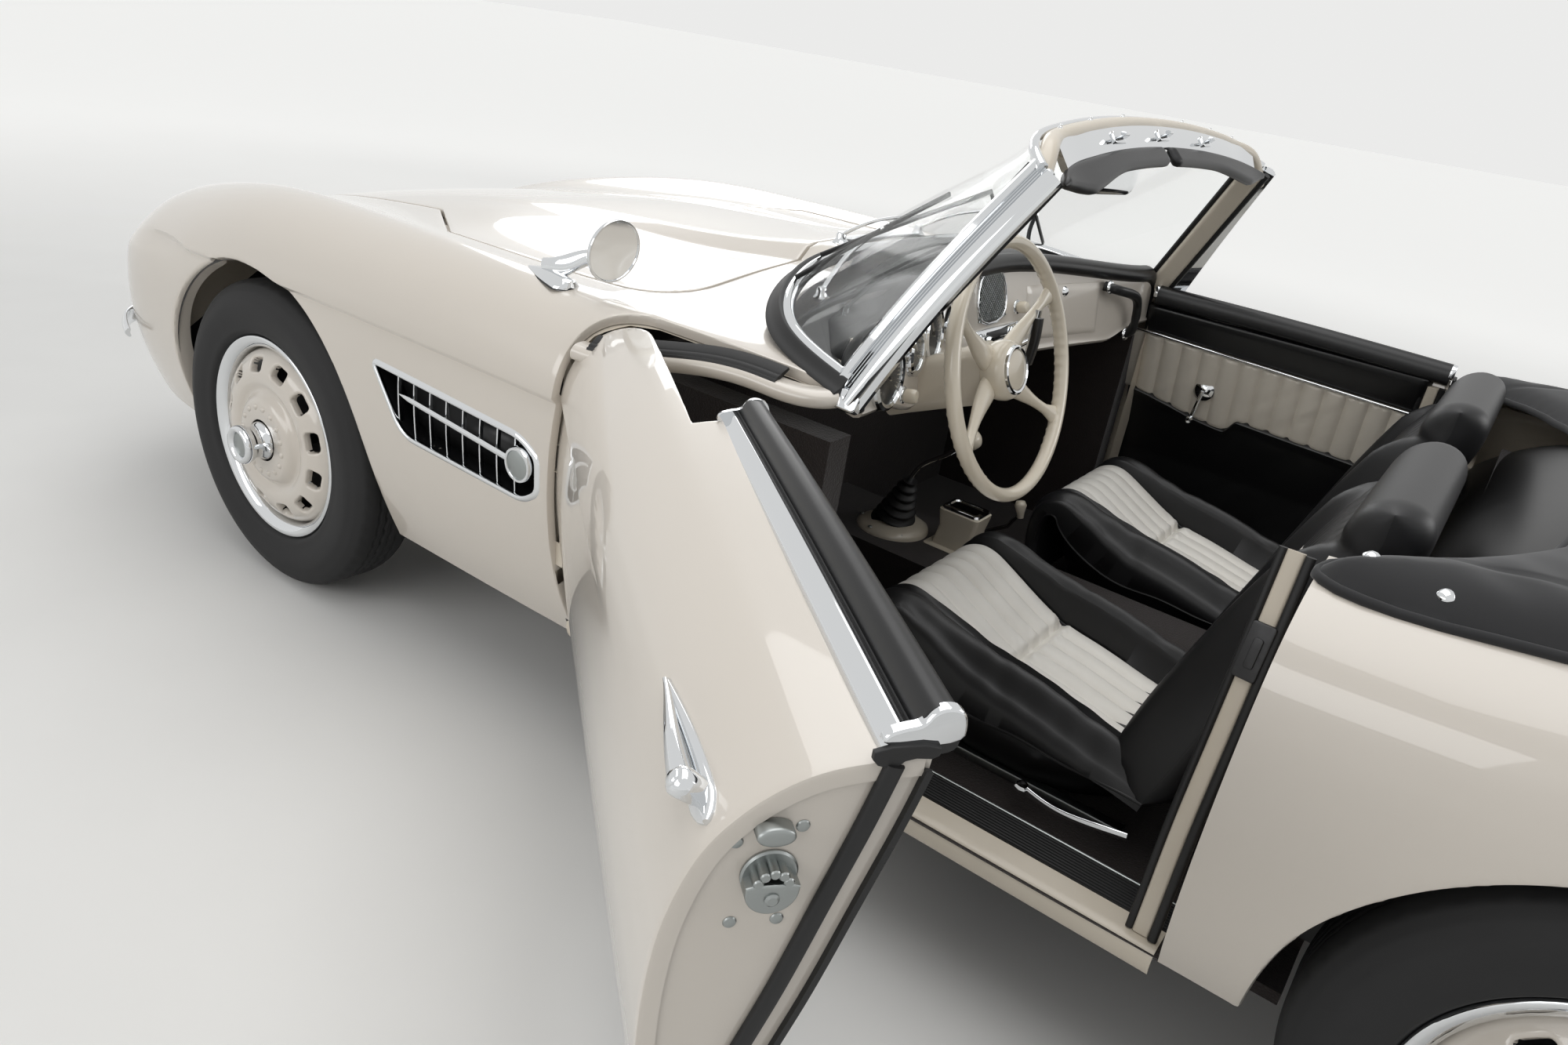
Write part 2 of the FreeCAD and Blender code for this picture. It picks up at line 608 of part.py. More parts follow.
shaped("rear_body", rear_body)

# Boot lid
boot_half = SHELL.common(prism(boot_plan(0, 0), 500))
boot_half = boot_half.fuse(lid_neck(*BOOT_AXIS, 132, 148, 166, 232, BOOT_HINGE_Y))
shaped("boot_lid", both_sides(boot_half))

# Folded hood under its cover
raised = body_half(rise=value("cover_rise"))
deck = body_half(rise=SEAT)
shaped("soft_top_cover", both_sides(raised.cut(deck).common(prism(cover_plan(), 700))))


# Doors: each as thick as the whole door, shut on the right and swung open on the left
def swing(shape, side):
    """A left door's shape turned open about its hinges, or its shut mirror image on the right."""
    if side < 0:
        return mirrored(shape)
    moved = shape.copy()
    moved.rotate(HINGE, Vector(0, 0, 1), -value("open_angle"))
    return moved


TRIM_LOW, TRIM_HIGH, TRIM_DEEP = 560, 800, 30
door_reach = HINGE.x - DOOR_REAR + value("door_swing_room")
door_solid = OUTER.common(prism(door_plan(0), DOOR_BOTTOM)).common(drum(door_reach, 1200, HINGE, (0, 0, 1)))
door_solid = door_solid.cut(slab(DOOR_REAR + 30, PILLAR - 30, 0, DOOR_INNER + TRIM_DEEP, TRIM_LOW, TRIM_HIGH))
for z in DOOR_HINGE_Z:
    pocket = value("hinge_pocket")
    tall = pocket + 2
    door_solid = door_solid.cut(drum(pocket, tall, (HINGE.x, HINGE.y, z - tall / 2), (0, 0, 1)))
    door_solid = door_solid.cut(drum(value("pin_radius") + SEAT, 92, (HINGE.x, HINGE.y, z - 46), (0, 0, 1)))
trim = slab(DOOR_REAR + 32, PILLAR - 32, DOOR_INNER + 4, DOOR_INNER + TRIM_DEEP, TRIM_LOW + 2, TRIM_HIGH - 2)
arm_rest = slab(DOOR_REAR + 120, PILLAR - 180, DOOR_INNER - 34, DOOR_INNER + 4, TRIM_LOW + 6, TRIM_LOW + 44)
trim = trim.fuse(arm_rest)
handle = Part.makeBox(175, 26, 34, Vector(-87, -13, -18)).fuse(Part.makeBox(120, 16, 12, Vector(-60, -8, 12)))
handle.rotate(Vector(0, 0, 0), Vector(1, 0, 0), -62)
handle.translate(Vector(DOOR_REAR + 112, 800, 748))
handle = handle.cut(OUTER)
for side_name, side in SIDES:
    shaped("door_" + side_name, swing(door_solid, side))
    shaped("door_trim_" + side_name, swing(trim, side))
    shaped("door_handle_" + side_name, swing(handle, side))


# Side vents: a frame with a long fin and upright bars, set in the wing's slot
def vent_grille():
    y0, y1 = 786, 806
    tail_x, nose_x = DOOR_FRONT + 30, DOOR_FRONT + 487
    inside = vent_face(y0, SEAT).extrude(Vector(0, y1 - y0, 0))
    frame = inside.cut(vent_face(y0 - 1, 22).extrude(Vector(0, y1 - y0 + 2, 0)))
    fin = slab(tail_x + 18, nose_x - 40, y0 + 4, y1, 572, 582)
    bars = [slab(x, x + 5, y0 + 2, y1 - 6, 500, 650) for x in range(int(tail_x) + 85, int(nose_x) - 60, 55)]
    return frame.fuse([bar.common(inside) for bar in [fin] + bars])


shaped("side_vents", pair(vent_grille()))


# Twin front grilles: a rim and a curtain of upright bars
def front_grille():
    x0, x1 = NOSE_X - 26, NOSE_X - 4
    mouth = grille_block(SEAT, x0, x1)
    rim = mouth.cut(grille_block(12, x0 - 1, x1 + 1))
    bars = [slab(x0 + 6, x1 - 4, y, y + 5, GRILLE_LOW, GRILLE_HIGH)
            for y in range(GRILLE_IN + 16, GRILLE_OUT - 10, 18)]
    return rim.fuse([bar.common(mouth) for bar in bars])


shaped("front_grilles", pair(front_grille()))

# Headlamps: a round body with a domed lens
dome_radius, dome_rise = 170, 26
lamp_body = drum(lamp_radius, 110, (lamp_back, lamp_y, lamp_z), (1, 0, 0))
dome = Part.makeSphere(dome_radius, Vector(lamp_back + 110 + dome_rise - dome_radius, lamp_y, lamp_z))
dome = dome.common(drum(lamp_radius, 80, (lamp_back + 100, lamp_y, lamp_z), (1, 0, 0)))
shaped("headlamps", pair(lamp_body.fuse(dome)))

# Tail lamps on the rear of the wings
tail_lamp = drum(value("tail_lamp_radius"), 70, (TAIL_X + 86, 616, 600), (-1, 0.1, 0.1)).cut(OUTER)
shaped("tail_lamps", pair(tail_lamp))


# Bumpers: a blade round each end of the car, on two brackets
def bumper(tip_x, plan, low_z, way):
    """A blade through the plan's points. way is 1 at the front and -1 at the rear."""
    wall = value("bumper_wall")
    tall = value("bumper_section")
    turns = (0, 0.0), (wall * 0.2, wall), (wall * 0.7, wall * 0.7), (0.0, wall)

    def point(i, inner, side):
        back, y = plan[i]
        dx, dy = turns[i] if inner else (0, 0)
        dx = wall if inner and i < 2 else dx
        dy = 0 if i < 2 else dy
        return (tip_x - way * (back + dx), side * (y - dy), low_z)

    def curve(inner):
        flat = arc(point(1, inner, -1), point(0, inner, 1), point(1, inner, 1))
        return [arc(point(3, inner, s), point(2, inner, s), point(1, inner, s)) for s in (-1, 1)] + [flat]

    ends = [line(point(3, False, s), point(3, True, s)) for s in (-1, 1)]
    wire = Part.Wire(Part.__sortEdges__(curve(False) + curve(True) + ends))
    blade = Part.Face(wire).extrude(Vector(0, 0, tall))
    rail_y = value("rail_y")
    near, far = sorted((tip_x - way * wall, tip_x - way * (wall + 60)))
    stays = [slab(near, far, s * rail_y - 15, s * rail_y + 15, low_z + 6, low_z + tall - 6) for s in (-1, 1)]
    return blade.fuse(stays)


front_bumper = bumper(NOSE_X + 16, FRONT_BUMPER, 400, 1)
rear_bumper = bumper(TAIL_X - 37, REAR_BUMPER, 430, -1)
whole_body = OUTER.fuse(mirrored(OUTER))
shaped("bumpers", Part.makeCompound([front_bumper.cut(whole_body), rear_bumper.cut(whole_body)]))


# Windscreen: glass, and a frame of foot rail, pillars and header
def level_line(z, inwards):
    """The screen's bow at height z, as its middle, joint, corner and end points, moved inwards."""
    lean = ((1, 0), (0.9, 0.35), (0.6, 0.8), (0.1, 1))
    out = []
    for foot, head, (back, side) in zip(SCREEN_FOOT, SCREEN_HEAD, lean):
        up = (z - foot[2]) / (head[2] - foot[2])
        out.append((PILLAR + foot[0] + (head[0] - foot[0]) * up - inwards * back,
                    foot[1] + (head[1] - foot[1]) * up - inwards * side, z))
    return out


def across(point):
    return (point[0], -point[1], point[2])


def level_wire(z, outside, inside):
    """A closed level section of the screen between two distances from its outer face."""
    mid, joint, bend, end = level_line(z, outside)
    mid_in, joint_in, bend_in, end_in = level_line(z, inside)
    return Part.Wire([
        arc(across(end), across(bend), across(joint)), arc(across(joint), mid, joint), arc(joint, bend, end),
        line(end, end_in), arc(end_in, bend_in, joint_in), arc(joint_in, mid_in, across(joint_in)),
        arc(across(joint_in), across(bend_in), across(end_in)), line(across(end_in), across(end))])


def screen_wall(outside, inside):
    """The bowed, raked wall that the screen lies in, from below its foot to above its head."""
    return Part.makeLoft([level_wire(z, outside, inside) for z in (820, 1300)], True, True)


def screen_outline(margin_low, margin_high, margin_end):
    """What the screen fills, seen from the front and the side, less a margin at its foot, head and ends."""
    foot, head = SCREEN_FOOT, SCREEN_HEAD
    wide_low, wide_high = foot[3][1] + 60, head[3][1] + 60
    low = [(0, -wide_low, foot[3][2] - 20 + margin_low), (0, 0, foot[0][2] + margin_low),
           (0, wide_low, foot[3][2] - 20 + margin_low)]
    high = [(0, wide_high, head[3][2] - 12 - margin_high), (0, 0, head[0][2] - margin_high),
            (0, -wide_high, head[3][2] - 12 - margin_high)]
    front = Part.Face(Part.Wire([arc(*low), line(low[2], high[0]), arc(*high), line(high[2], low[0])]))
    front = front.extrude(Vector(1400, 0, 0))
    front.translate(Vector(PILLAR - 600, 0, 0))
    slope = (head[3][0] - foot[3][0]) / (head[3][2] - foot[3][2])
    ends = [(PILLAR + margin_end + slope * (z - foot[3][2]), -900, z) for z in (780, 1320)]
    side = polygon(ends + [(PILLAR + 700, -900, 1320), (PILLAR + 700, -900, 780)]).extrude(Vector(0, 1800, 0))
    return front.common(side)


face_wide = value("frame_face")
depth = value("frame_depth")
glass_wall = value("glass_wall")
frame = screen_wall(0, depth).common(screen_outline(-40, 0, 3))
frame = frame.cut(screen_outline(face_wide, face_wide, face_wide))
groove = screen_wall((depth - glass_wall) / 2, (depth + glass_wall) / 2)
glass = groove.common(screen_outline(face_wide / 2, face_wide / 2, face_wide / 2))
frame = frame.cut(glass).cut(whole_body)
glass = glass.cut(whole_body)
shaped("windscreen_frame", frame)
shaped("windscreen_glass", glass)

# Sun visors hang from the header, one before each seat
header_x, header_z = PILLAR + SCREEN_HEAD[0][0] - depth, SCREEN_HEAD[0][2]
visor = Part.makeBox(150, 400, 14, Vector(header_x - 158, 50, header_z - 60))
visor.rotate(Vector(header_x, 0, header_z - 50), Vector(0, 1, 0), -8)
visor = visor.fuse(drum(5, 60, (header_x - 20, 220, header_z - 52), (0.4, 0, 1)))
shaped("sun_visors", pair(visor.cut(frame)))

# Cabin: floor, tunnel, sills, kick panels and bulkheads
floor_low = value("rail_z + rail_height + seat_gap")
floor_top = floor_low + WALL
sill_y = value("sill_inner_y")
back_x = value("bulkhead_x")
dash_end = DOOR_FRONT + GAP
tunnel_half, tunnel_top = value("tunnel_half"), value("tunnel_top")
floor = slab(back_x, dash_end, -sill_y, sill_y, floor_low, floor_top)
tunnel = slab(back_x, dash_end, -tunnel_half, tunnel_half, floor_low, tunnel_top)
tunnel_space = slab(back_x - 1, dash_end + 1, WALL - tunnel_half, tunnel_half - WALL, floor_low - 1,
                    tunnel_top - WALL)
sill = OUTER.common(slab(DOOR_REAR - GAP, dash_end, sill_y, 900, 200, DOOR_BOTTOM - GAP))
kick = slab(PILLAR + 20, dash_end - WALL, sill_y - WALL, sill_y + 36, floor_low, 760)
fire_wall = slab(dash_end - WALL, dash_end, -sill_y, sill_y, floor_low, 780)
rear_wall = slab(back_x, back_x + WALL, -540, 540, floor_low, 760)
tub = floor.fuse(tunnel).cut(tunnel_space)
tub = tub.fuse([sill, mirrored(sill), kick, mirrored(kick), fire_wall, rear_wall]).removeSplitter()
tub = tub.cut(front_body).cut(rear_body)
shaped("floor_pan", tub)


# Dashboard: a bowed panel across the cabin under the scuttle
def dashboard():
    face_x, back = PILLAR + 17, PILLAR + 165
    top = [(face_x, -618, 852), (face_x, 0, 925), (face_x, 618, 852)]
    low = [(face_x, 618, 762), (face_x, 0, 748), (face_x, -618, 762)]
    wire = Part.Wire([arc(*top), line(top[2], low[0]), arc(*low), line(low[2], top[0])])
    panel = Part.Face(wire).extrude(Vector(back - face_x, 0, 0))
    hollow = slab(face_x + 30, back + 1, -580, 580, 700, 850)
    return panel.cut(hollow)


dash = dashboard().cut(front_body).cut(frame).cut(tub)
shaped("dashboard", dash)

# Steering column, and the wheel on its end
tilt = math.radians(value("steer_tilt"))
STEER_AXIS = Vector(-math.cos(tilt), 0, math.sin(tilt))
STEER = Vector(value("steer_x"), value("steer_y"), value("steer_z"))
boss = value("steer_boss")
column_top = STEER - STEER_AXIS * (boss + SEAT)
column = Part.makeCylinder(value("column_radius"), 140, column_top, STEER_AXIS * -1).cut(dashboard())
near_wheel = Part.Vertex(column_top)
shaped("steering_column", min(column.Solids, key=lambda piece: piece.distToShape(near_wheel)[0]))


def steering_wheel():
    radius, grip = value("steer_radius"), value("steer_grip")
    rim = Part.makeTorus(radius - grip, grip, STEER, STEER_AXIS)
    hub = Part.makeCone(46, 58, boss + 12, STEER - STEER_AXIS * boss, STEER_AXIS)
    across_axis = Vector(0, 1, 0)
    up_axis = STEER_AXIS.cross(across_axis)
    spokes = []
    for angle in (28, 152, 208, 332):
        flat = across_axis * math.cos(math.radians(angle)) + up_axis * math.sin(math.radians(angle))
        start = STEER - STEER_AXIS * 14 + flat * 40
        way = STEER + flat * (radius - grip) - start
        spokes.append(Part.makeCone(11, 7, way.Length, start, way))
    return rim.fuse([hub] + spokes)


shaped("steering_wheel", steering_wheel())


# Seats: cushions on their plinths, and backs
def along_y(points, y0, y1):
    """A side view carried across from y0 to y1."""
    return polygon([(x, y0, z) for x, z in points]).extrude(Vector(0, y1 - y0, 0))


seat_y, half_seat = value("seat_y"), value("seat_width / 2")
CUSHION_SIDE = ((-128, 442), (-150, 492), (-210, 500), (-360, 415), (-640, 362), (-640, 300), (-300, 290),
                (-160, 340))
BACK_SIDE = ((-560, 372), (-640, 560), (-730, 790), (-742, 872), (-790, 902), (-846, 880), (-850, 830),
             (-790, 640), (-690, 372), (-650, 366))
cushion = along_y(CUSHION_SIDE, seat_y - half_seat, seat_y + half_seat)
plinth = slab(-610, -220, seat_y - half_seat + 40, seat_y + half_seat - 40, floor_top + SEAT, 320)
cushion = cushion.fuse(plinth)
back = along_y(BACK_SIDE, seat_y - half_seat, seat_y + half_seat).cut(cushion)
shaped("seat_cushions", pair(cushion))
shaped("seat_backs", pair(back))

# Gear lever with its boot and flange on the tunnel
boot_at = Vector(PILLAR + 217, 20, tunnel_top)
lever = Part.makeCylinder(96, 10, boot_at).fuse(Part.makeCone(60, 22, 110, boot_at))
stick_end = boot_at + Vector(-149, 25, 255)
stick_start = boot_at + Vector(0, 0, 90)
stick = Part.makeCylinder(7, (stick_end - stick_start).Length, stick_start, stick_end - stick_start)
shaped("gear_lever", lever.fuse([stick, Part.makeSphere(25, stick_end)]))

# Mirrors: a round one on the left wing and one that hangs from the windscreen's header
mirror_at = Vector(PILLAR + 509, 656, 928)
mirror_way = Vector(-0.97, -0.2, 0.07)
disc = Part.makeCylinder(53, 16, mirror_at, mirror_way * -1)
fin_start = mirror_at + Vector(172, 22, -70)
fin_end = mirror_at + Vector(50, 34, -52)
fin = Part.makeCone(4, 18, (fin_end - fin_start).Length, fin_start, fin_end - fin_start)
stem_start = fin_end + Vector(8, 0, -6)
stem_end = mirror_at + Vector(8, 0, -30)
stem = Part.makeCylinder(7, (stem_end - stem_start).Length, stem_start, stem_end - stem_start)
wing_mirror = disc.fuse([fin, stem]).cut(whole_body)
cabin_glass = Part.makeBox(22, 140, 56, Vector(header_x - 20, -70, header_z - 134))
cabin_stem = drum(5, 90, (header_x - 10, 0, header_z - 84), (0.25, 0, 1))
cabin_mirror = cabin_glass.fuse(cabin_stem).cut(frame).cut(glass)
shaped("mirrors", Part.makeCompound([wing_mirror, cabin_mirror]))

# Chassis: two rails with a towing eye at each end
rails, holes = [], []
for n, s in SIDES:
    rails.append(block("rail_" + n, ("rail_rear_x", "%d * rail_y - rail_width / 2" % s, "rail_z"),
                       ("rail_front_x - rail_rear_x", "rail_width", "rail_height")))
    for end, x in (("front", "rail_front_x - 10"), ("rear", "rail_rear_x - 60")):
        side_y = "%d * rail_y - tow_plate / 2" % s
        rails.append(block("tow_%s_%s" % (end, n), (x, side_y, "rail_z"), ("70", "tow_plate", "60")))
        centre = x + (" + 40" if end == "front" else " + 30")
        holes.append(rod("tow_hole_%s_%s" % (end, n), (centre, side_y + " - 1", "rail_z + 30"), "tow_radius",
                         "tow_plate + 2", ALONG_Y))
less("chassis_rails", joined("whole_rails", rails), joined("tow_holes", holes))

# Cross members between the rails
CROSS_COUNT = 5
crosses = []
for i in range(CROSS_COUNT):
    along = "(rail_front_x - rail_rear_x - cross_width - 40) * %d / %d" % (i, CROSS_COUNT - 1)
    low = ("rail_rear_x + 20 + " + along, "rail_width / 2 + seat_gap - rail_y",
           "rail_z + rail_height - cross_height")
    reach = "2 * rail_y - rail_width - 2 * seat_gap"
    crosses.append(block("cross_%d" % i, low, ("cross_width", reach, "cross_height")))
grouped("cross_members", crosses)

# Engine and radiator: plain blocks on the front cross member and the rails
engine_z = "rail_z + rail_height + cross_height + seat_gap"
block("engine_block", ("wheelbase / 2 - 560", "-engine_wide / 2", engine_z),
      ("engine_long", "engine_wide", "engine_tall")).Label = "engine"
block("radiator_block", ("wheelbase / 2 + 370", "-radiator_wide / 2", "rail_z + rail_height + seat_gap"),
      ("60", "radiator_wide", "radiator_tall")).Label = "radiator"

# Exhaust: two pipes and silencers that hang under the cross members
pipes = []
pipe_z = "rail_z + rail_height - cross_height - seat_gap - pipe_radius"
for n, s in SIDES:
    pipe = rod("pipe_" + n, ("rail_rear_x - 180", "%d * pipe_y" % s, pipe_z), "pipe_radius",
               "rail_front_x - rail_rear_x - 500", ALONG_X)
    start = ("bulkhead_x", "%d * pipe_y" % s, pipe_z)
    silencer = rod("silencer_" + n, start, "silencer_radius", "silencer_length", ALONG_X)
    pipes.append(joined("exhaust_" + n, [pipe, silencer]))
grouped("exhaust", pipes)

# Front suspension: a cross member with two towers and two arms a side
cross_low = ("wheelbase / 2 - 60", "-rail_y - 42", "rail_z + rail_height")
arms = [block("front_cross", cross_low, ("120", "2 * rail_y + 84", "cross_height"))]
for n, s in SIDES:
    tower_low = ("wheelbase / 2 - 40", "%d * (rail_y + 20) - 22" % s, "rail_z + rail_height + 20")
    arms.append(block("tower_" + n, tower_low, ("80", "44", "230")))
    for level, z in (("low", "tyre_radius - 88"), ("high", "tyre_radius + 92")):
        start = ("wheelbase / 2", "%d * rail_y" % s, z)
        reach = "kingpin_y - kingpin_radius - seat_gap - rail_y"
        arms.append(rod("arm_%s_%s" % (level, n), start, "16", reach, OUTWARDS[s]))
joined("front_suspension", arms)

# Rear axle: tube, final drive, drums and stub axles, carried by two trailing links on the rails
axle_parts = [rod("axle_tube", ("-wheelbase / 2", "-600", "tyre_radius"), "38", "1200", ALONG_Y),
              rod("final_drive", ("-wheelbase / 2", "-80", "tyre_radius"), "105", "160", ALONG_Y)]
for n, s in SIDES:
    axle_parts.append(rod("rear_drum_" + n, ("-wheelbase / 2", "%d * 600" % s, "tyre_radius"), "drum_radius",
                          "drum_width", OUTWARDS[s]))
    axle_parts.append(rod("rear_stub_" + n, ("-wheelbase / 2", "%d * 640" % s, "tyre_radius"), "stub_radius",
                          "track_rear / 2 - rim_width / 2 + disc_inset + 20 - 640", OUTWARDS[s]))
    axle_parts.append(block("spring_seat_" + n, ("-wheelbase / 2 - 30", "%d * rail_y - 25" % s,
                                                 "rail_z + rail_height + seat_gap"),
                            ("60", "50", "tyre_radius - rail_z - rail_height")))
joined("rear_axle", axle_parts)

# Front knuckles: upright, drum and stub axle, each turning on its kingpin
for n, s in SIDES:
    joined("knuckle_" + n, [
        rod("upright_" + n, ("wheelbase / 2", "%d * kingpin_y" % s, "tyre_radius - 133"), "kingpin_radius",
            "270", ALONG_Z),
        rod("front_drum_" + n, ("wheelbase / 2", "%d * (kingpin_y + 12)" % s, "tyre_radius"), "drum_radius",
            "drum_width", OUTWARDS[s]),
        rod("front_stub_" + n, ("wheelbase / 2", "%d * 640" % s, "tyre_radius"), "stub_radius",
            "track_front / 2 - rim_width / 2 + disc_inset + 20 - 640", OUTWARDS[s])])

# Wheels. Each outline's points are a radius and a distance from the inner side.
RIM_IN = "(tyre_width - rim_width) / 2"
TYRE = (
    ("bead_radius + seat_gap", RIM_IN + " + 17"), ("flange_radius", RIM_IN + " + 9"),
    ("flange_radius + 5", RIM_IN + " + 1"), ("bead_radius + 60", "2"), ("bead_radius + 84", "0"),
    ("tyre_radius - 26", "8"), ("tyre_radius - 7", "22"), ("tyre_radius", "46"),
    ("tyre_radius", "tyre_width - 46"), ("tyre_radius - 7", "tyre_width - 22"),
    ("tyre_radius - 26", "tyre_width - 8"), ("bead_radius + 84", "tyre_width"),
    ("bead_radius + 60", "tyre_width - 2"), ("flange_radius + 5", "tyre_width - 1 - " + RIM_IN),
    ("flange_radius", "tyre_width - 9 - " + RIM_IN),
    ("bead_radius + seat_gap", "tyre_width - 17 - " + RIM_IN),
)
BORE = "stub_radius + seat_gap"
WHEEL = (
    (BORE, "disc_inset"), ("hub_radius", "disc_inset"), ("hub_radius + 36", "disc_inset + 20"),
    ("hub_radius + 50", "disc_inset + 10"), ("slot_circle - 6", "disc_inset + 18"),
    ("slot_circle + 22", "disc_inset + 6"), ("bead_radius - rim_wall", "disc_inset - 8"),
    ("bead_radius - rim_wall", "rim_wall"), ("flange_radius", "0"), ("flange_radius", "6"),
    ("bead_radius", "15"), ("bead_radius", "rim_width - 15"), ("flange_radius", "rim_width - 6"),
    ("flange_radius", "rim_width"), ("bead_radius - rim_wall", "rim_width - rim_wall"),
    ("bead_radius - rim_wall", "disc_inset + rim_wall"), ("slot_circle + 22", "disc_inset + 6 + rim_wall"),
    ("slot_circle - 6", "disc_inset + 18 + rim_wall"), ("hub_radius + 50", "disc_inset + 10 + rim_wall"),
    ("hub_radius + 36", "disc_inset + 22 + rim_wall"), ("hub_radius", "disc_inset + 20 + rim_wall"),
    (BORE, "disc_inset + 20 + rim_wall"),
)
NUT = (("0", "0"), ("nut_radius", "0"), ("nut_radius", "nut_length - 12"), ("nut_radius - 10", "nut_length"),
       ("0", "nut_length"))


def slotted_wheel(label):
    """The rim and disc, with a ring of cooling slots."""
    body = turned(label, WHEEL)
    half = "slot_long / 2"
    corners = [("-" + half, "slot_circle - slot_tall / 2"), (half, "slot_circle - slot_tall / 2"),
               (half, "slot_circle + slot_tall / 2"), ("-" + half, "slot_circle + slot_tall / 2")]
    sketch = outline(body, label + "_slot", "XZ_Plane", corners)
    before = body.Shape.Volume
    slot = body.newObject("PartDesign::Pocket", label + "_pocket")
    slot.Profile = sketch
    slot.Type = 1
    slot.Midplane = True
    doc.recompute()
    ring = body.newObject("PartDesign::PolarPattern", label + "_slots")
    ring.Originals = [slot]
    ring.Axis = (sketch, ["N_Axis"])
    ring.Angle = 360
    ring.setExpression("Occurrences", "sizes.slot_count")
    body.Tip = ring
    doc.recompute()
    if body.Shape.Volume > before - 1:
        raise SystemExit("the wheel's slots cut nothing")
    return body


def hub_nut(label):
    """A centre-lock nut with two ears."""
    core = turned(label + "_core", NUT)
    ears = block(label + "_ears", ("-ear_span / 2", "14", "-ear_wide / 2"), ("ear_span", "18", "ear_wide"))
    return joined(label, [core, ears])


AXLES = (("front", "wheelbase / 2", "track_front"), ("rear", "-wheelbase / 2", "track_rear"))
for end, axle, track in AXLES:
    for side_name, side in SIDES:
        corner = end + "_" + side_name
        rim_start = "(%s - rim_width) / 2" % track
        for piece, start in ((turned("tyre_" + corner, TYRE), "(%s - tyre_width) / 2" % track),
                             (slotted_wheel("wheel_" + corner), rim_start),
                             (hub_nut("hub_nut_" + corner), rim_start + " + disc_inset + 20 + rim_wall")):
            if side < 0:
                piece.Placement.Rotation = HALF_TURN
            bind(piece, x=axle, y="%d * (%s)" % (side, start), z="tyre_radius")
doc.recompute()

# What is written out: one file for each piece
NODES = (
    "front_body", "rear_body", "bonnet", "boot_lid", "soft_top_cover", "side_vents", "front_grilles",
    "headlamps", "tail_lamps", "bumpers", "windscreen_frame", "windscreen_glass", "sun_visors", "floor_pan",
    "dashboard", "steering_column", "steering_wheel", "seat_cushions", "seat_backs", "gear_lever", "mirrors",
    "chassis_rails", "cross_members", "engine", "radiator", "exhaust", "front_suspension", "rear_axle",
) + tuple(piece + side for piece in ("door_", "door_trim_", "door_handle_", "knuckle_") for side, s in SIDES
          ) + tuple(piece + end + "_" + side for piece in ("tyre_", "wheel_", "hub_nut_")
                    for end, axle, track in AXLES for side, s in SIDES)

broken = [o.Label for o in doc.Objects if "Invalid" in o.State or "Error" in o.State]
if broken:
    raise SystemExit("these did not compute: %s" % ", ".join(broken))
os.makedirs("parts", exist_ok=True)
for label in NODES:
    shape = doc.getObjectsByLabel(label)[0].Shape
    if shape.isNull() or not shape.isValid() or not shape.Solids:
        raise SystemExit("%s has no valid shape" % label)
    shape.exportStep("parts/%s.step" % label)
    counts = (label, len(shape.Solids), len(shape.Faces), shape.Volume / 1e6)
    print("%-22s solids %d  faces %3d  litres %.1f" % counts)
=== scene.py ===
# %% [markdown]
# An open two-seat sports car of the late nineteen fifties, dressed in Blender.
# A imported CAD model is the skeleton: it fixes every size, hinge and wheel. This notebook gives it its looks.
# We work in metres in the car's own frame: +X forward, +Y to the car's left, +Z up, the origin on the floor
# midway between the axles. The left door stands open, as in the reference view, and everything else is shut.

# %% Load the frame
import json
import math
import bpy
import numpy as np
from mathutils import Matrix, Vector


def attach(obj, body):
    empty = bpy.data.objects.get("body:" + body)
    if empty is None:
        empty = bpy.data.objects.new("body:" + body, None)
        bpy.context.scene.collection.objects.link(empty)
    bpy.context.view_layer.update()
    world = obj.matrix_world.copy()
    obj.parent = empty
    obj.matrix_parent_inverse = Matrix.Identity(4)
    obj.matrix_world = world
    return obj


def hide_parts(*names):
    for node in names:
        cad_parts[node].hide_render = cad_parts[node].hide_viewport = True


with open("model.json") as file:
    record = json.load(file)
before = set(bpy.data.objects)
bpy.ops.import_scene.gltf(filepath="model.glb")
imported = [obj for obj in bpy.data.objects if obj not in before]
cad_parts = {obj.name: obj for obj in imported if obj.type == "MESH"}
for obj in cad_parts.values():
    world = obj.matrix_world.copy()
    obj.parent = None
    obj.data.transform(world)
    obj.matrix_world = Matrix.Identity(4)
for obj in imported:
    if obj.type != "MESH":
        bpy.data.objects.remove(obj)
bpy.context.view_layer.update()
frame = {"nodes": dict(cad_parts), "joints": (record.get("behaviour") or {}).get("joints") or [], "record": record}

MM = 0.001

# %% [markdown]
# The camera stands where the photographer stood: beside the open door at chest height, looking down and
# forward along the car with a wide lens, and rolled by nine degrees, so that the nose climbs to the left.
# A camera in Blender looks along its own -Z with +Y up, so we build that rotation from three directions.

# %% Camera
CAMERA_AT = Vector((-0.86125, 1.96430, 1.30196))
AZIMUTH, ELEVATION, ROLL = math.radians(-57.08), math.radians(-24.41), math.radians(9.24)
LENS_MM, SENSOR_MM = 24.748, 36.0


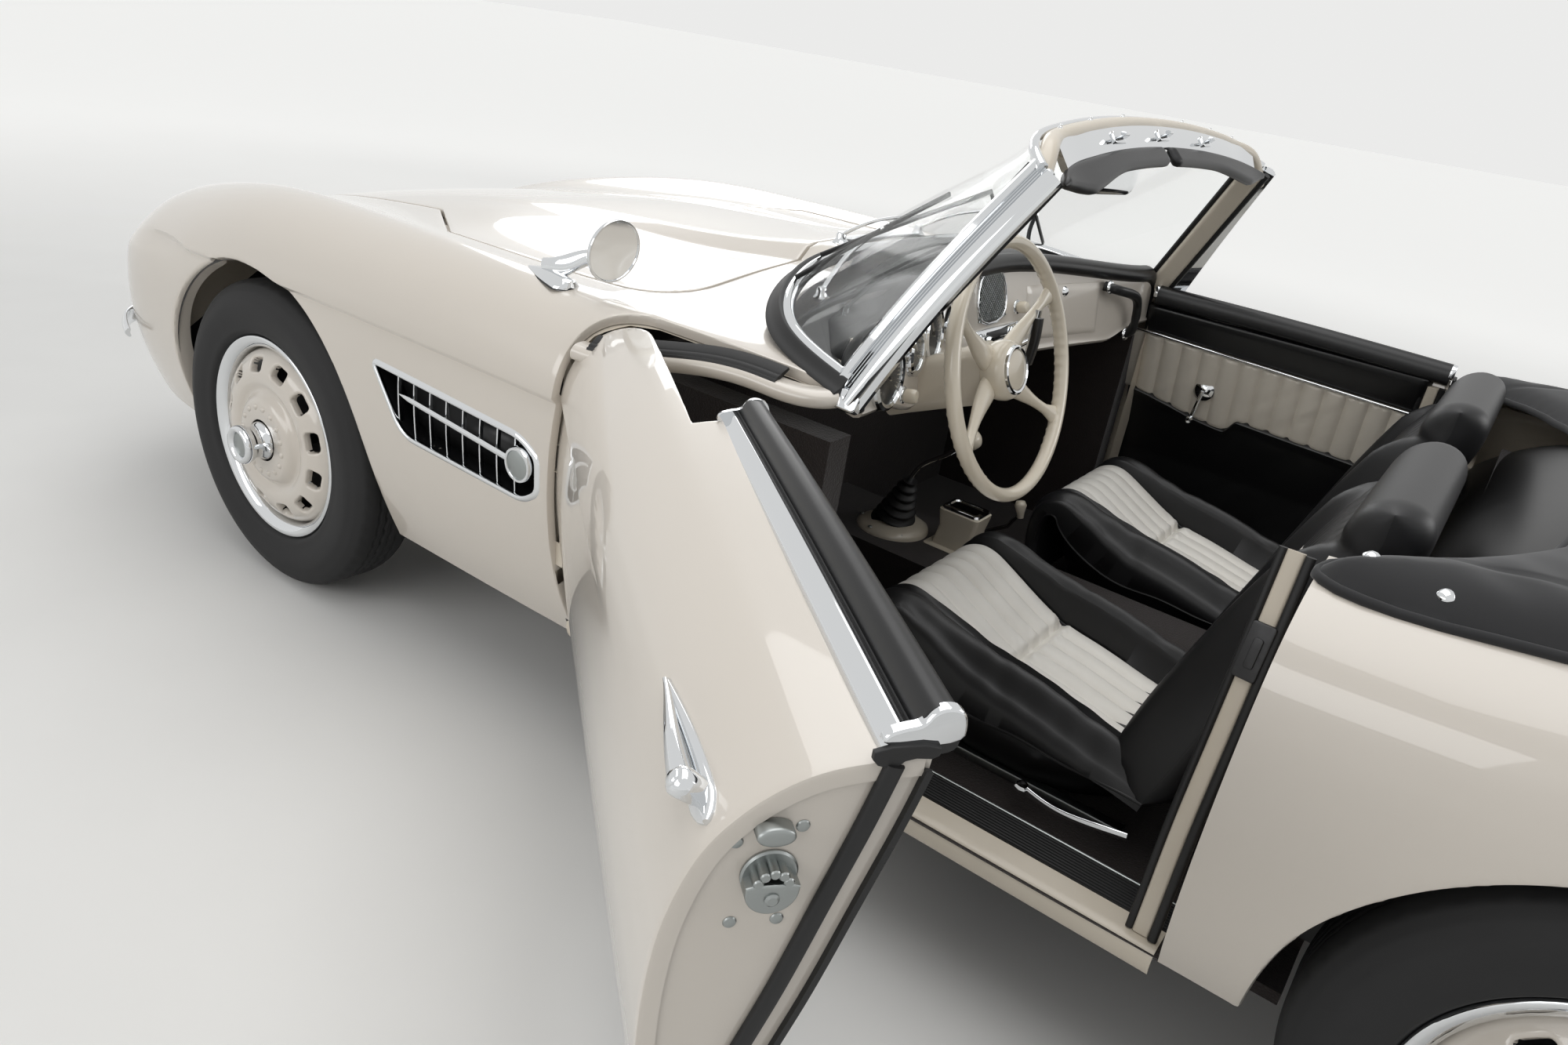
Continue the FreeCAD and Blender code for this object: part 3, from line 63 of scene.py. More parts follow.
def add_camera():
    """Creates the camera from its place, the direction that it looks in and its roll."""
    level = math.cos(ELEVATION)
    look = Vector((level * math.cos(AZIMUTH), level * math.sin(AZIMUTH), math.sin(ELEVATION)))
    side = look.cross(Vector((0, 0, 1))).normalized()
    above = side.cross(look)
    right = side * math.cos(ROLL) + above * math.sin(ROLL)
    up = above * math.cos(ROLL) - side * math.sin(ROLL)
    data = bpy.data.cameras.new("camera")
    data.lens, data.sensor_width = LENS_MM, SENSOR_MM
    data.clip_start = 0.01
    camera = bpy.data.objects.new("camera", data)
    turn = Matrix((right, up, -look)).transposed().to_4x4()
    camera.matrix_world = Matrix.Translation(CAMERA_AT) @ turn
    bpy.context.scene.collection.objects.link(camera)
    bpy.context.scene.camera = camera


add_camera()

# %% [markdown]
# A studio light for paint and chrome is large and soft: reflections of a small lamp are hard dots, and those
# of a wide panel are long calm bands that show the body's curves. One big panel hangs over the car, a second
# stands at its side and a third lights it from behind. The world adds a pale all-round fill. The camera and
# metal and glass see it at full white, so the background is plain.

# %% Light, world and floor
def srgb(code):
    """Turns a hex sRGB colour into the linear RGBA that Blender's shaders take."""
    parts = [int(code[i:i + 2], 16) / 255 for i in (1, 3, 5)]
    return [p / 12.92 if p <= 0.04045 else ((p + 0.055) / 1.055) ** 2.4 for p in parts] + [1.0]


def add_node(tree, kind, inputs=None, **settings):
    """Adds a node, sets its properties and fills its inputs with numbers or with other nodes' outputs."""
    node = tree.nodes.new(kind)
    for name, setting in settings.items():
        setattr(node, name, setting)
    for socket, given in (inputs or {}).items():
        if isinstance(given, bpy.types.NodeSocket):
            tree.links.new(given, node.inputs[socket])
        else:
            node.inputs[socket].default_value = given
    return node


def add_lamp(name, place, target, size, watts):
    """A rectangular soft lamp at a place, turned to a target."""
    data = bpy.data.lights.new(name, "AREA")
    data.shape = "RECTANGLE"
    data.size, data.size_y = size
    data.energy = watts
    lamp = bpy.data.objects.new(name, data)
    way = Vector(target) - Vector(place)
    lamp.matrix_world = Matrix.Translation(place) @ way.to_track_quat("-Z", "Y").to_matrix().to_4x4()
    bpy.context.scene.collection.objects.link(lamp)


add_lamp("lamp_over", (0.3, 0.2, 4.2), (0.1, 0, 0), (5.6, 3.0), 92)
add_lamp("lamp_side", (1.2, 4.6, 2.4), (0.4, 0, 0.5), (4.5, 1.6), 52)
add_lamp("lamp_behind", (-4.6, -2.2, 2.6), (-0.3, 0, 0.6), (3.0, 1.6), 44)
add_lamp("lamp_far", (3.8, -3.6, 2.6), (0.5, 0, 0.6), (3.0, 1.6), 36)


def seen_directly(tree):
    """One for rays from the camera, metal and glass, and nought for light that falls on the object."""
    path = add_node(tree, "ShaderNodeLightPath")
    both = add_node(tree, "ShaderNodeMath", {0: path.outputs["Is Camera Ray"],
                                             1: path.outputs["Is Transmission Ray"]}, operation="MAXIMUM")
    return add_node(tree, "ShaderNodeMath", {0: both.outputs[0], 1: path.outputs["Is Glossy Ray"]},
                    operation="MAXIMUM")


def build_world():
    """A pale world: full white to the camera, metal and glass, and a softer fill on everything else."""
    world = bpy.data.worlds.new("studio")
    bpy.context.scene.world = world
    world.use_nodes = True
    tree = world.node_tree
    tree.nodes.clear()
    seen = seen_directly(tree)
    fill = add_node(tree, "ShaderNodeBackground", {"Color": srgb("#F2F4F6"), "Strength": 0.46})
    shown = add_node(tree, "ShaderNodeBackground", {"Color": srgb("#F4F4F3"), "Strength": 0.92})
    both = add_node(tree, "ShaderNodeMixShader", {0: seen.outputs[0], 1: fill.outputs[0],
                                                  2: shown.outputs[0]})
    add_node(tree, "ShaderNodeOutputWorld", {"Surface": both.outputs[0]})


build_world()
bpy.context.scene.view_settings.view_transform = "Standard"


def finish(name, colour, roughness, metallic=0.0, **more):
    """A material with one principled shader. Other sockets are named by words, such as Coat_Weight."""
    material = bpy.data.materials.new(name)
    material.use_nodes = True
    tree = material.node_tree
    tree.nodes.clear()
    shader = add_node(tree, "ShaderNodeBsdfPrincipled", {
        "Base Color": srgb(colour), "Roughness": roughness, "Metallic": metallic,
        **{key.replace("_", " "): number for key, number in more.items()}})
    add_node(tree, "ShaderNodeOutputMaterial", {"Surface": shader.outputs[0]})
    return material, tree, shader


floor_paint, tree, shader = finish("studio_floor", "#E9E8E5", 0.75)
coords = add_node(tree, "ShaderNodeTexCoord")
mottle = add_node(tree, "ShaderNodeTexNoise", {"Vector": coords.outputs["Object"], "Scale": 3.0})
shade = add_node(tree, "ShaderNodeMix", {0: mottle.outputs["Fac"], 6: srgb("#E6E5E2"), 7: srgb("#ECEBE8")},
                 data_type="RGBA")
tree.links.new(shade.outputs[2], shader.inputs["Base Color"])
# Painted light: the floor glows more the farther it lies from the car, up to 0.54 beyond 8.5 m. Only the camera,
# metal and glass see that glow, so the far floor reads as pale as the backdrop.
away = add_node(tree, "ShaderNodeVectorMath", {0: coords.outputs["Object"]}, operation="LENGTH")
glow = add_node(tree, "ShaderNodeMapRange", {"Value": away.outputs["Value"], "From Min": 2.2, "From Max": 8.5,
                                             "To Max": 0.54}, interpolation_type="SMOOTHSTEP")
shown = add_node(tree, "ShaderNodeMath", {0: glow.outputs["Result"], 1: seen_directly(tree).outputs[0]},
                 operation="MULTIPLY")
tree.links.new(shown.outputs[0], shader.inputs["Emission Strength"])
shader.inputs["Emission Color"].default_value = srgb("#F2F2F0")
FLOOR_HALF = 60.0
floor_mesh = bpy.data.meshes.new("studio_floor")
floor_mesh.from_pydata([(x, y, 0) for x, y in ((-1, -1), (1, -1), (1, 1), (-1, 1))], [], [(0, 1, 2, 3)])
floor_mesh.transform(Matrix.Scale(FLOOR_HALF, 4))
floor_mesh.materials.append(floor_paint)
studio_floor = bpy.data.objects.new("studio_floor", floor_mesh)
bpy.context.scene.collection.objects.link(studio_floor)
print("camera, lamps, world and floor are ready")

# %% [markdown]
# Finishes. Each is named for the real material, and its numbers start from what that material is known to do.
# The paint is an ivory two-pack enamel: a diffuse base under a clear coat that has a trace of orange peel.
# Leather has a pebble grain of about a millimetre, carpet a looped pile, and rubber a faint bloom.

# %% Finishes
def grain(tree, shader, size_mm, strength, depth_mm=0.2, kind="ShaderNodeTexNoise", **settings):
    """A bump whose features are size_mm apart, read from Object coordinates in metres."""
    coords = add_node(tree, "ShaderNodeTexCoord")
    inputs = {"Vector": coords.outputs["Object"], "Scale": 1.0 / (size_mm * MM)}
    pattern = add_node(tree, kind, inputs, **settings)
    height = pattern.outputs["Distance" if kind == "ShaderNodeTexVoronoi" else "Fac"]
    bump = add_node(tree, "ShaderNodeBump", {"Height": height, "Strength": strength,
                                             "Distance": depth_mm * MM})
    tree.links.new(bump.outputs[0], shader.inputs["Normal"])
    return coords, height


def mottled(tree, shader, coords, size_mm, first, second, socket="Base Color"):
    """Cloudy change between two colours, with clouds of about size_mm."""
    clouds = add_node(tree, "ShaderNodeTexNoise", {"Vector": coords.outputs["Object"],
                                                  "Scale": 1.0 / (size_mm * MM), "Detail": 3.0})
    mix = add_node(tree, "ShaderNodeMix", {0: clouds.outputs["Fac"], 6: srgb(first), 7: srgb(second)},
                   data_type="RGBA")
    tree.links.new(mix.outputs[2], shader.inputs[socket])


def ivory_enamel():
    """Ivory car enamel: warm white, clear coated, with orange peel of a few millimetres."""
    made, tree, shader = finish("ivory_enamel", "#CFC7BC", 0.32, Coat_Weight=1.0, Coat_Roughness=0.03)
    coords, _ = grain(tree, shader, 4.0, 0.04, 0.05)
    mottled(tree, shader, coords, 300.0, "#CEC6BB", "#D3CBC0")
    return made


def inner_enamel():
    """The same ivory on inside panels, with less polish."""
    made, tree, shader = finish("ivory_inner_enamel", "#CFC5B4", 0.42, Coat_Weight=0.4, Coat_Roughness=0.12)
    coords, _ = grain(tree, shader, 3.0, 0.06, 0.05)
    mottled(tree, shader, coords, 200.0, "#CBC1B0", "#D2C8B8")
    return made


def plated(name, colour, roughness):
    """Chrome plate or bare metal, with a faint polish haze."""
    made, tree, shader = finish(name, colour, roughness, metallic=1.0)
    coords = add_node(tree, "ShaderNodeTexCoord")
    haze = add_node(tree, "ShaderNodeTexNoise", {"Vector": coords.outputs["Object"], "Scale": 60.0})
    span = add_node(tree, "ShaderNodeMapRange", {"Value": haze.outputs["Fac"], "To Min": roughness * 0.7,
                                                 "To Max": roughness * 1.5})
    tree.links.new(span.outputs[0], shader.inputs["Roughness"])
    return made


def hide(name, first, second, roughness, pebble_mm=1.4, strength=0.35):
    """Leather: a pebbled surface from cells, with slight colour clouds and a soft sheen."""
    made, tree, shader = finish(name, first, roughness, Specular_IOR_Level=0.45)
    coords, _ = grain(tree, shader, pebble_mm, strength, 0.12, "ShaderNodeTexVoronoi",
                      feature="DISTANCE_TO_EDGE")
    mottled(tree, shader, coords, 45.0, first, second)
    return made


def pile(name, first, second):
    """Looped carpet: deep small bumps in two close colours, with sheen."""
    made, tree, shader = finish(name, first, 0.95, Sheen_Weight=0.25, Sheen_Roughness=0.5)
    coords, _ = grain(tree, shader, 3.0, 0.9, 1.5)
    mottled(tree, shader, coords, 5.0, first, second)
    return made


def plain(name, first, second, roughness, grain_mm=2.0, strength=0.08, **more):
    """Rubber, vinyl or moulded plastic: a fine grain and faint clouds."""
    made, tree, shader = finish(name, first, roughness, **more)
    coords, _ = grain(tree, shader, grain_mm, strength, 0.1)
    mottled(tree, shader, coords, 60.0, first, second)
    return made


def clear(name, colour, tint_alpha, roughness=0.0):
    """Window glass, thin and lightly tinted."""
    made, tree, shader = finish(name, colour, roughness, Transmission_Weight=1.0, IOR=1.12)
    grain(tree, shader, 250.0, 0.01, 0.1)
    shader.inputs["Alpha"].default_value = tint_alpha
    return made


enamel, enamel_in = ivory_enamel(), inner_enamel()
chrome = plated("chrome_plate", "#DEE0E2", 0.035)
steel = plated("galvanised_steel", "#9DA1A0", 0.33)
bare_iron = plated("cast_iron", "#4A4A4B", 0.55)
pipe_steel = plated("aluminised_steel", "#8F8B84", 0.40)
black_leather = hide("black_leather", "#141415", "#1B1B1D", 0.42)
cream_leather = hide("cream_leather", "#CFC7BA", "#D8D1C5", 0.45, 1.2, 0.25)
white_leather = hide("white_leather", "#E6E2DA", "#EDEAE4", 0.42, 1.2, 0.22)
mirror_glass = plated("silvered_glass", "#F0F2F3", 0.008)
black_vinyl = hide("black_vinyl", "#0F0F10", "#161617", 0.36, 1.0, 0.25)
brown_carpet = pile("brown_carpet", "#17110F", "#241A17")
black_rubber = plain("black_rubber", "#0B0B0C", "#121213", 0.55)
tyre_rubber = plain("tyre_rubber", "#131314", "#1B1B1C", 0.72, 1.5, 0.15)
hood_cloth = plain("hood_cloth", "#161617", "#1E1E20", 0.85, 0.9, 0.5, Sheen_Weight=0.2)
cream_plastic = plain("ivory_plastic", "#DDD2BE", "#E3D9C7", 0.22, 3.0, 0.03, Coat_Weight=0.5,
                      Coat_Roughness=0.05)
black_enamel = plain("black_chassis_enamel", "#101011", "#18181A", 0.45)
screen_glass = clear("windscreen_glass", "#E9F1EE", 0.12)
lens_glass = clear("lamp_glass", "#F2F5F5", 0.55, 0.05)
red_lens = plain("red_lens", "#8E0E0C", "#9C1210", 0.12, 6.0, 0.2, Coat_Weight=1.0)
print("finishes", len(bpy.data.materials))

# %% [markdown]
# A surface on a grid is the simplest mesh: rows along the car, columns round it, and a quad between each
# four neighbours. The whole grid is worked out as one array and handed to the mesh in one call.

# %% Grids into meshes
BODY_OF = {node: body for body, nodes in frame["record"]["behaviour"]["bodies"].items() for node in nodes}
JOINT_AT = {joint["name"]: np.array(joint["pos_m"]) for joint in frame["joints"]}
HINGE = JOINT_AT["door_left_hinge"]
OPEN = math.radians(-39.0)


def turned_about(points, centre, angle):
    """Points turned about a vertical axis through centre."""
    c, s = math.cos(angle), math.sin(angle)
    moved = np.array(points, float)
    x, y = moved[..., 0] - centre[0], moved[..., 1] - centre[1]
    moved[..., 0], moved[..., 1] = centre[0] + x * c - y * s, centre[1] + x * s + y * c
    return moved


def grid_faces(rows, columns, round_rows=False, round_columns=False):
    """Quads between the points of a grid, which may close on itself either way."""
    i = np.arange(rows if round_rows else rows - 1)[:, None]
    j = np.arange(columns if round_columns else columns - 1)[None, :]
    i2, j2 = (i + 1) % rows, (j + 1) % columns
    corners = [i * columns + j, i2 * columns + j, i2 * columns + j2, i * columns + j2]
    return np.stack([np.broadcast_to(c, (i.size, j.size)) for c in corners], -1).reshape(-1, 4)


def place(name, points, faces, material, body="root", smooth=True, sharp=40.0, opened=False):
    """Makes a mesh object from arrays. A piece on the left door is made shut and opened here."""
    points = np.asarray(points, float).reshape(-1, 3)
    if opened:
        points = turned_about(points, HINGE, OPEN)
    mesh = bpy.data.meshes.new(name)
    mesh.from_pydata(points.tolist(), [], [list(map(int, f)) for f in faces])
    mesh.materials.append(material)
    if smooth:
        mesh.shade_smooth()
        mesh.set_sharp_from_angle(angle=math.radians(sharp))
    piece = bpy.data.objects.new(name, mesh)
    bpy.context.scene.collection.objects.link(piece)
    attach(piece, body)
    return piece


def combined(parts):
    """Several (points, faces) lists as one."""
    points, faces, start = [], [], 0
    for some_points, some_faces in parts:
        some_points = np.asarray(some_points, float).reshape(-1, 3)
        points.append(some_points)
        faces += [[int(v) + start for v in f] for f in some_faces]
        start += len(some_points)
    return np.concatenate(points), faces


# %% [markdown]
# The body is one surface. Each cross-section is three arcs: over the middle, over the wing's crown, and down
# the side. A cubic spline through the sections' numbers gives a section anywhere along the car, so that the
# highlights run without a break from nose to tail. On the real car the lower side is set in a little under
# the wing, and a crease runs back from the front wheel and fades out on the door.

# %% The body's sections
FRONT, REAR = JOINT_AT["spin_front_left"][0] / MM, JOINT_AT["spin_rear_left"][0] / MM
HUB_Z = JOINT_AT["spin_rear_left"][2] / MM
DOOR_FRONT, DOOR_REAR, DOOR_BOTTOM = 345.0, -750.0, 292.0
PILLAR, DOOR_INNER, GAP = -105.0, 628.0, 6.0
# x, centre z, edge y and z, crown y and z, crease y and z, flank y and z, sill y and z, in millimetres
SECTIONS = np.array((
    (FRONT + 765, 596, 200, 592, 350, 584, 462, 540, 472, 500, 432, 452),
    (FRONT + 745, 640, 260, 634, 460, 628, 600, 570, 612, 490, 570, 410),
    (FRONT + 700, 684, 330, 676, 580, 684, 712, 600, 722, 480, 684, 350),
    (FRONT + 610, 722, 400, 706, 636, 730, 768, 640, 776, 470, 726, 290),
    (FRONT + 400, 772, 480, 752, 664, 792, 806, 682, 805, 470, 742, 255),
    (FRONT + 100, 822, 540, 790, 680, 844, 822, 702, 815, 470, 742, 245),
    (FRONT - 240, 862, 580, 822, 690, 860, 822, 711, 812, 480, 740, 245),
    (DOOR_FRONT + 120, 892, 598, 840, 712, 856, 822, 716, 814, 490, 740, 250),
    (DOOR_FRONT, 908, 605, 850, 722, 850, 822, 716, 816, 490, 742, 254),
    (PILLAR + 100, 925, 625, 858, 745, 838, 822, 712, 820, 500, 745, 260),
    (PILLAR - 60, 915, 636, 856, 758, 822, 820, 710, 821, 510, 748, 268),
    (DOOR_REAR + 150, 860, 640, 842, 760, 800, 816, 700, 821, 520, 750, 276),
    (DOOR_REAR - 20, 850, 640, 838, 760, 800, 816, 700, 821, 520, 750, 280),
    (REAR + 150, 862, 600, 856, 735, 842, 824, 700, 825, 520, 758, 285),
    (REAR - 150, 868, 570, 858, 712, 850, 825, 700, 825, 520, 760, 290),
    (REAR - 470, 838, 530, 822, 680, 822, 806, 680, 808, 520, 750, 300),
    (REAR - 800, 760, 480, 742, 640, 745, 762, 620, 770, 500, 718, 325),
    (REAR - 1000, 680, 440, 664, 590, 668, 714, 568, 722, 485, 678, 355),
    (REAR - 1065, 640, 400, 626, 520, 622, 630, 535, 640, 472, 600, 385),
    (REAR - 1093, 588, 340, 578, 440, 570, 540, 508, 550, 460, 515, 410),
), float)


def spline(knots, values, at):
    """A natural cubic spline through rows of values, read at the given places, with no loop over them."""
    step = np.diff(knots)
    count = len(knots)
    matrix = np.eye(count)
    right = np.zeros_like(values)
    inner = np.arange(1, count - 1)
    matrix[inner, inner - 1] = step[:-1]
    matrix[inner, inner] = 2 * (step[:-1] + step[1:])
    matrix[inner, inner + 1] = step[1:]
    slope = np.diff(values, axis=0) / step[:, None]
    right[1:-1] = 6 * np.diff(slope, axis=0)
    bend = np.linalg.solve(matrix, right)
    k = np.clip(np.searchsorted(knots, at) - 1, 0, count - 2)
    a, b, h = (knots[k + 1] - at)[:, None], (at - knots[k])[:, None], step[k][:, None]
    return (bend[k] * a ** 3 + bend[k + 1] * b ** 3) / (6 * h) \
        + (values[k] / h - bend[k] * h / 6) * a + (values[k + 1] / h - bend[k + 1] * h / 6) * b


def bow(a, b, c, shares):
    """Points on circles through a, b and c, each an array of (y, z), at shares of the way from a to c."""
    a, b, c = (p[:, 0] + 1j * p[:, 1] for p in (a, b, c))
    turn = (c - a) / (b - a)
    turn = np.where(abs(turn.imag) < 1e-6, turn + 1e-6j, turn)
    centre = (b - a) * (turn - abs(turn) ** 2) / (2j * turn.imag) + a
    sweep = np.angle((c - centre) / (a - centre))
    first = np.angle((b - centre) / (a - centre))
    sweep = np.where(np.sign(first) != np.sign(sweep), sweep - 2 * np.pi * np.sign(sweep), sweep)
    points = centre[:, None] + (a - centre)[:, None] * np.exp(1j * sweep[:, None] * shares[None, :])
    return np.stack([points.real, points.imag], -1)


def eased(x, low, high):
    """0 below low, 1 above high and a smooth S between."""
    share = np.clip((x - low) / (high - low), 0, 1)
    return share * share * (3 - 2 * share)


OVER = np.linspace(0, 1, 25)[:-1]
CROWN = np.linspace(0, 1, 31)[:-1]
SIDE = np.linspace(0, 1, 34) ** 1.75
EDGE_COLUMN, CREASE_COLUMN = len(OVER), len(OVER) + len(CROWN)


def relaxed(yz, column, width, share=1.0):
    """Sections smoothed near one column: each point moves towards the mean of its neighbours, sixty times."""
    weight = 0.5 * share * np.exp(-((np.arange(yz.shape[1]) - column) / width) ** 2)[None, :, None]
    for _ in range(60):
        mean = yz.copy()
        mean[:, 1:-1] = (yz[:, :-2] + yz[:, 2:]) / 2
        yz = yz + weight * (mean - yz)
    return yz


def body_grid():
    """The left half of the body as a grid: rows from nose to tail, columns from the middle to the sill."""
    steps = np.linalg.norm(np.diff(SECTIONS[:, [0, 6, 7, 1]], axis=0), axis=1)
    walk = np.concatenate([[0], np.cumsum(steps)])
    along = np.linspace(0, walk[-1], 330)
    rows = spline(walk, SECTIONS, along)
    x, centre = rows[:, 0], rows[:, 1]
    edge, crown, side, flank, sill = (rows[:, k:k + 2] for k in (2, 4, 6, 8, 10))
    top = np.stack([np.zeros_like(x), centre], -1)
    middle = np.stack([edge[:, 0] / 2, centre - (centre - edge[:, 1]) / 4], -1)
    yz = np.concatenate([bow(top, middle, edge, OVER), bow(edge, crown, side, CROWN),
                         bow(side, flank, sill, SIDE)], axis=1)
    yz = relaxed(yz, EDGE_COLUMN, 6.0)
    plain_side = 1 - eased(x, -480, -200) + eased(x, FRONT + 250, FRONT + 420)
    yz = relaxed(yz, CREASE_COLUMN, 5.0, plain_side[:, None, None])
    below = np.zeros(yz.shape[:2])
    steps = np.linalg.norm(np.diff(yz[:, CREASE_COLUMN:], axis=1), axis=-1)
    below[:, CREASE_COLUMN + 1:] = np.cumsum(steps, axis=1)
    depth = 13.0 * eased(x, -480, 300) * (1 - eased(x, FRONT + 330, FRONT + 620))
    yz[..., 0] -= depth[:, None] * eased(below, 0, 14) * np.exp(-below / 130)
    return np.concatenate([np.broadcast_to(x[:, None, None], yz.shape[:2] + (1,)), yz], -1)


BULGE_REAR, BULGE_FRONT, BULGE_HALF, BULGE_RISE = 318.0, FRONT + 250, 236.0, 34.0


def add_bulge(points):
    """Raises the middle of the bonnet: flat across, with a crisp shoulder, fading out towards the nose."""
    along = 1 - eased(points[..., 0], BULGE_REAR - 400, BULGE_FRONT)
    across = 1 - eased(abs(points[..., 1]), BULGE_HALF - 46, BULGE_HALF)
    points[..., 2] += BULGE_RISE * along * across * (points[..., 2] > 600)
    return points


skin = body_grid()
print("body grid", skin.shape, "mm; nose", skin[0, 0].round(), "tail", skin[-1, 0].round())

# %% [markdown]
# Panels are cut out of that one surface, like pressings trimmed in a die. A field gives each point its
# distance from the panel's edge. Triangles that the edge crosses are cut there, so the shut line is smooth
# however coarse the grid is. Then the edge is rolled over with a radius of three millimetres and folded in,
# which gives the bright line and the dark gap that make a car's panels look real.

# %% Cutting a panel out of the grid
def normals_of(grid):
    """Outward unit normals of a grid from the cross product of its two directions."""
    down, across = np.gradient(grid, axis=0), np.gradient(grid, axis=1)
    normal = np.cross(across, down)
    return normal / np.maximum(np.linalg.norm(normal, axis=-1, keepdims=True), 1e-9)


def as_cloth(grid):
    """A grid as a cuttable surface: an array of points with normals beside them, and triangles."""
    points = np.concatenate([grid, normals_of(grid)], -1).reshape(-1, 6)
    quads = grid_faces(*grid.shape[:2])
    return points, np.concatenate([quads[:, [0, 2, 1]], quads[:, [0, 3, 2]]])


def split(cloth, field):
    """Cuts the triangles that field changes sign on. Returns the surface and each point's level."""
    points, tris = cloth
    level = field(points)
    level = np.where(abs(level) < 0.25, 0.25, level)
    inside = level > 0
    count = inside[tris].sum(1)
    crossed = (count == 1) | (count == 2)
    whole, cut = tris[~crossed], tris[crossed]
    lone = np.argmax(inside[cut] == (count[crossed] == 1)[:, None], axis=1)
    a, b, c = (cut[np.arange(len(cut)), (lone + k) % 3] for k in range(3))
    edges = np.sort(np.stack([np.concatenate([a, a]), np.concatenate([b, c])], 1), axis=1)
    unique, index = np.unique(edges, axis=0, return_inverse=True)
    low, high = level[unique[:, 0]], level[unique[:, 1]]
    share = (low / (low - high))[:, None]
    fresh = points[unique[:, 0]] * (1 - share) + points[unique[:, 1]] * share
    ab, ac = index.reshape(2, -1) + len(points)
    made = [whole, np.stack([a, ab, ac], 1), np.stack([ab, b, c], 1), np.stack([ab, c, ac], 1)]
    return (np.concatenate([points, fresh]), np.concatenate(made)), np.concatenate([level,
                                                                                    np.zeros(len(fresh))])


def tidy(cloth):
    """Drops the points that no triangle uses."""
    points, tris = cloth
    used, index = np.unique(tris, return_inverse=True)
    return points[used], index.reshape(tris.shape)


def keep(cloth, field):
    """The part of a surface where field isn't negative."""
    (points, tris), level = split(cloth, field)
    inside = (level[tris].min(1) >= 0) & (level[tris].max(1) > 0)
    return tidy((points, tris[inside]))


def loose_edges(tris):
    """The edges that only one triangle has, in that triangle's own direction."""
    way = np.concatenate([tris[:, [0, 1]], tris[:, [1, 2]], tris[:, [2, 0]]])
    _, first, counts = np.unique(np.sort(way, axis=1), axis=0, return_index=True, return_counts=True)
    return way[first[counts == 1]]


def trim(cloth, field, radius=3.0, fold=13.0):
    """Cuts a surface along field's edge, rolls the edge over and folds it in."""
    for share in (1.0, 0.4):
        cloth, _ = split(cloth, lambda p: field(p) - radius * share)
    points, tris = keep(cloth, field)
    reach = field(points)
    near = np.clip(reach, 0, radius)
    drop = radius - np.sqrt(np.maximum(radius ** 2 - (radius - near) ** 2, 0))
    points = points.copy()
    points[:, :3] -= points[:, 3:] * drop[:, None]
    rim = loose_edges(tris)
    rim = rim[(abs(reach[rim]) < 0.3).all(1)]
    used, index = np.unique(rim, return_inverse=True)
    index = index.reshape(rim.shape)
    folded = points[used].copy()
    folded[:, :3] -= folded[:, 3:] * fold
    start = len(points)
    a, b, a2, b2 = rim[:, 0], rim[:, 1], index[:, 0] + start, index[:, 1] + start
    walls = np.concatenate([np.stack([b, a, a2], 1), np.stack([b, a2, b2], 1)])
    return np.concatenate([points, folded]), np.concatenate([tris, walls])


def polygon_field(corners):
    """Signed distance of points from a closed outline in plan, positive inside."""
    corners = np.array(corners, float)
    start, way = corners, np.roll(corners, -1, 0) - corners

    def field(points, axes=(0, 1)):
        at = points[:, None, list(axes)]
        share = np.clip(((at - start) * way).sum(-1) / np.maximum((way ** 2).sum(-1), 1e-9), 0, 1)
        away = np.linalg.norm(at - start - way * share[..., None], axis=-1).min(1)
        y, y0, y1 = at[..., 1], start[:, 1], start[:, 1] + way[:, 1]
        crossing = ((y0 > y) != (y1 > y))
        x_at = start[:, 0] + way[:, 0] * (y - y0) / np.where(way[:, 1] == 0, 1, way[:, 1])
        inside = (crossing & (at[..., 0] < x_at)).sum(1) % 2 == 1
        return np.where(inside, away, -away)

    return field


def corner(centre, radius_x, radius_y, first, last, steps=10):
    """Points round an ellipse's quarter, by angle from its centre."""
    angles = np.radians(np.linspace(first, last, steps))
    return [(centre[0] + radius_x * math.cos(a), centre[1] + radius_y * math.sin(a)) for a in angles]


def door_plan(gap):
    """The left door from above, grown by gap."""
    inner, front, back = 700 - gap, DOOR_FRONT + gap, DOOR_REAR - gap
    step = PILLAR - GAP + gap
    bend = corner((front - 100, inner + 112), 100, 112, 0, -90, 12)
    return [(back, 900), (front, 900)] + bend + [(step, inner), (step, DOOR_INNER - gap),
                                                 (back, DOOR_INNER - gap)]


def whole_plan(half):
    """A plan outline with its mirror image, from its left half."""
    return half + [(x, -y) for x, y in half[::-1] if y > 0]


def bonnet_plan(gap, front_gap):
    """The bonnet from above, grown by the gaps."""
    rear, front = 328 - gap, 1800 + front_gap
    wide, narrow = 594 + gap, 400 + gap
    rear_corner = corner((rear + 110, wide - 110), 110, 110, 180, 90, 12)
    nose = [(FRONT - 340, wide), (FRONT - 60, narrow), (front, narrow - 90), (front, 0)]
    return whole_plan([(rear, 0)] + rear_corner + nose)


def boot_plan(gap, front_gap):
    """The boot lid from above, grown by the gaps."""
    front, rear, wide, narrow, cut = -1560 + front_gap, -2190 - gap, 500 + gap, 400 + gap, 70
    return whole_plan([(front, 0), (front, wide - cut)]
                      + corner((front - cut, wide - cut), cut, cut, 0, 90, 8)[1:]
                      + corner((rear + cut, narrow - cut), cut, cut, 90, 180, 8) + [(rear, 0)])


WELL = whole_plan([(PILLAR + 255, 0), (PILLAR + 165, 500), (PILLAR + 75, 612), (PILLAR, DOOR_INNER),
                   (DOOR_REAR - 10, DOOR_INNER), (DOOR_REAR - 250, 560), (DOOR_REAR - 580, 480),
                   (DOOR_REAR - 650, 300), (DOOR_REAR - 650, 0)])


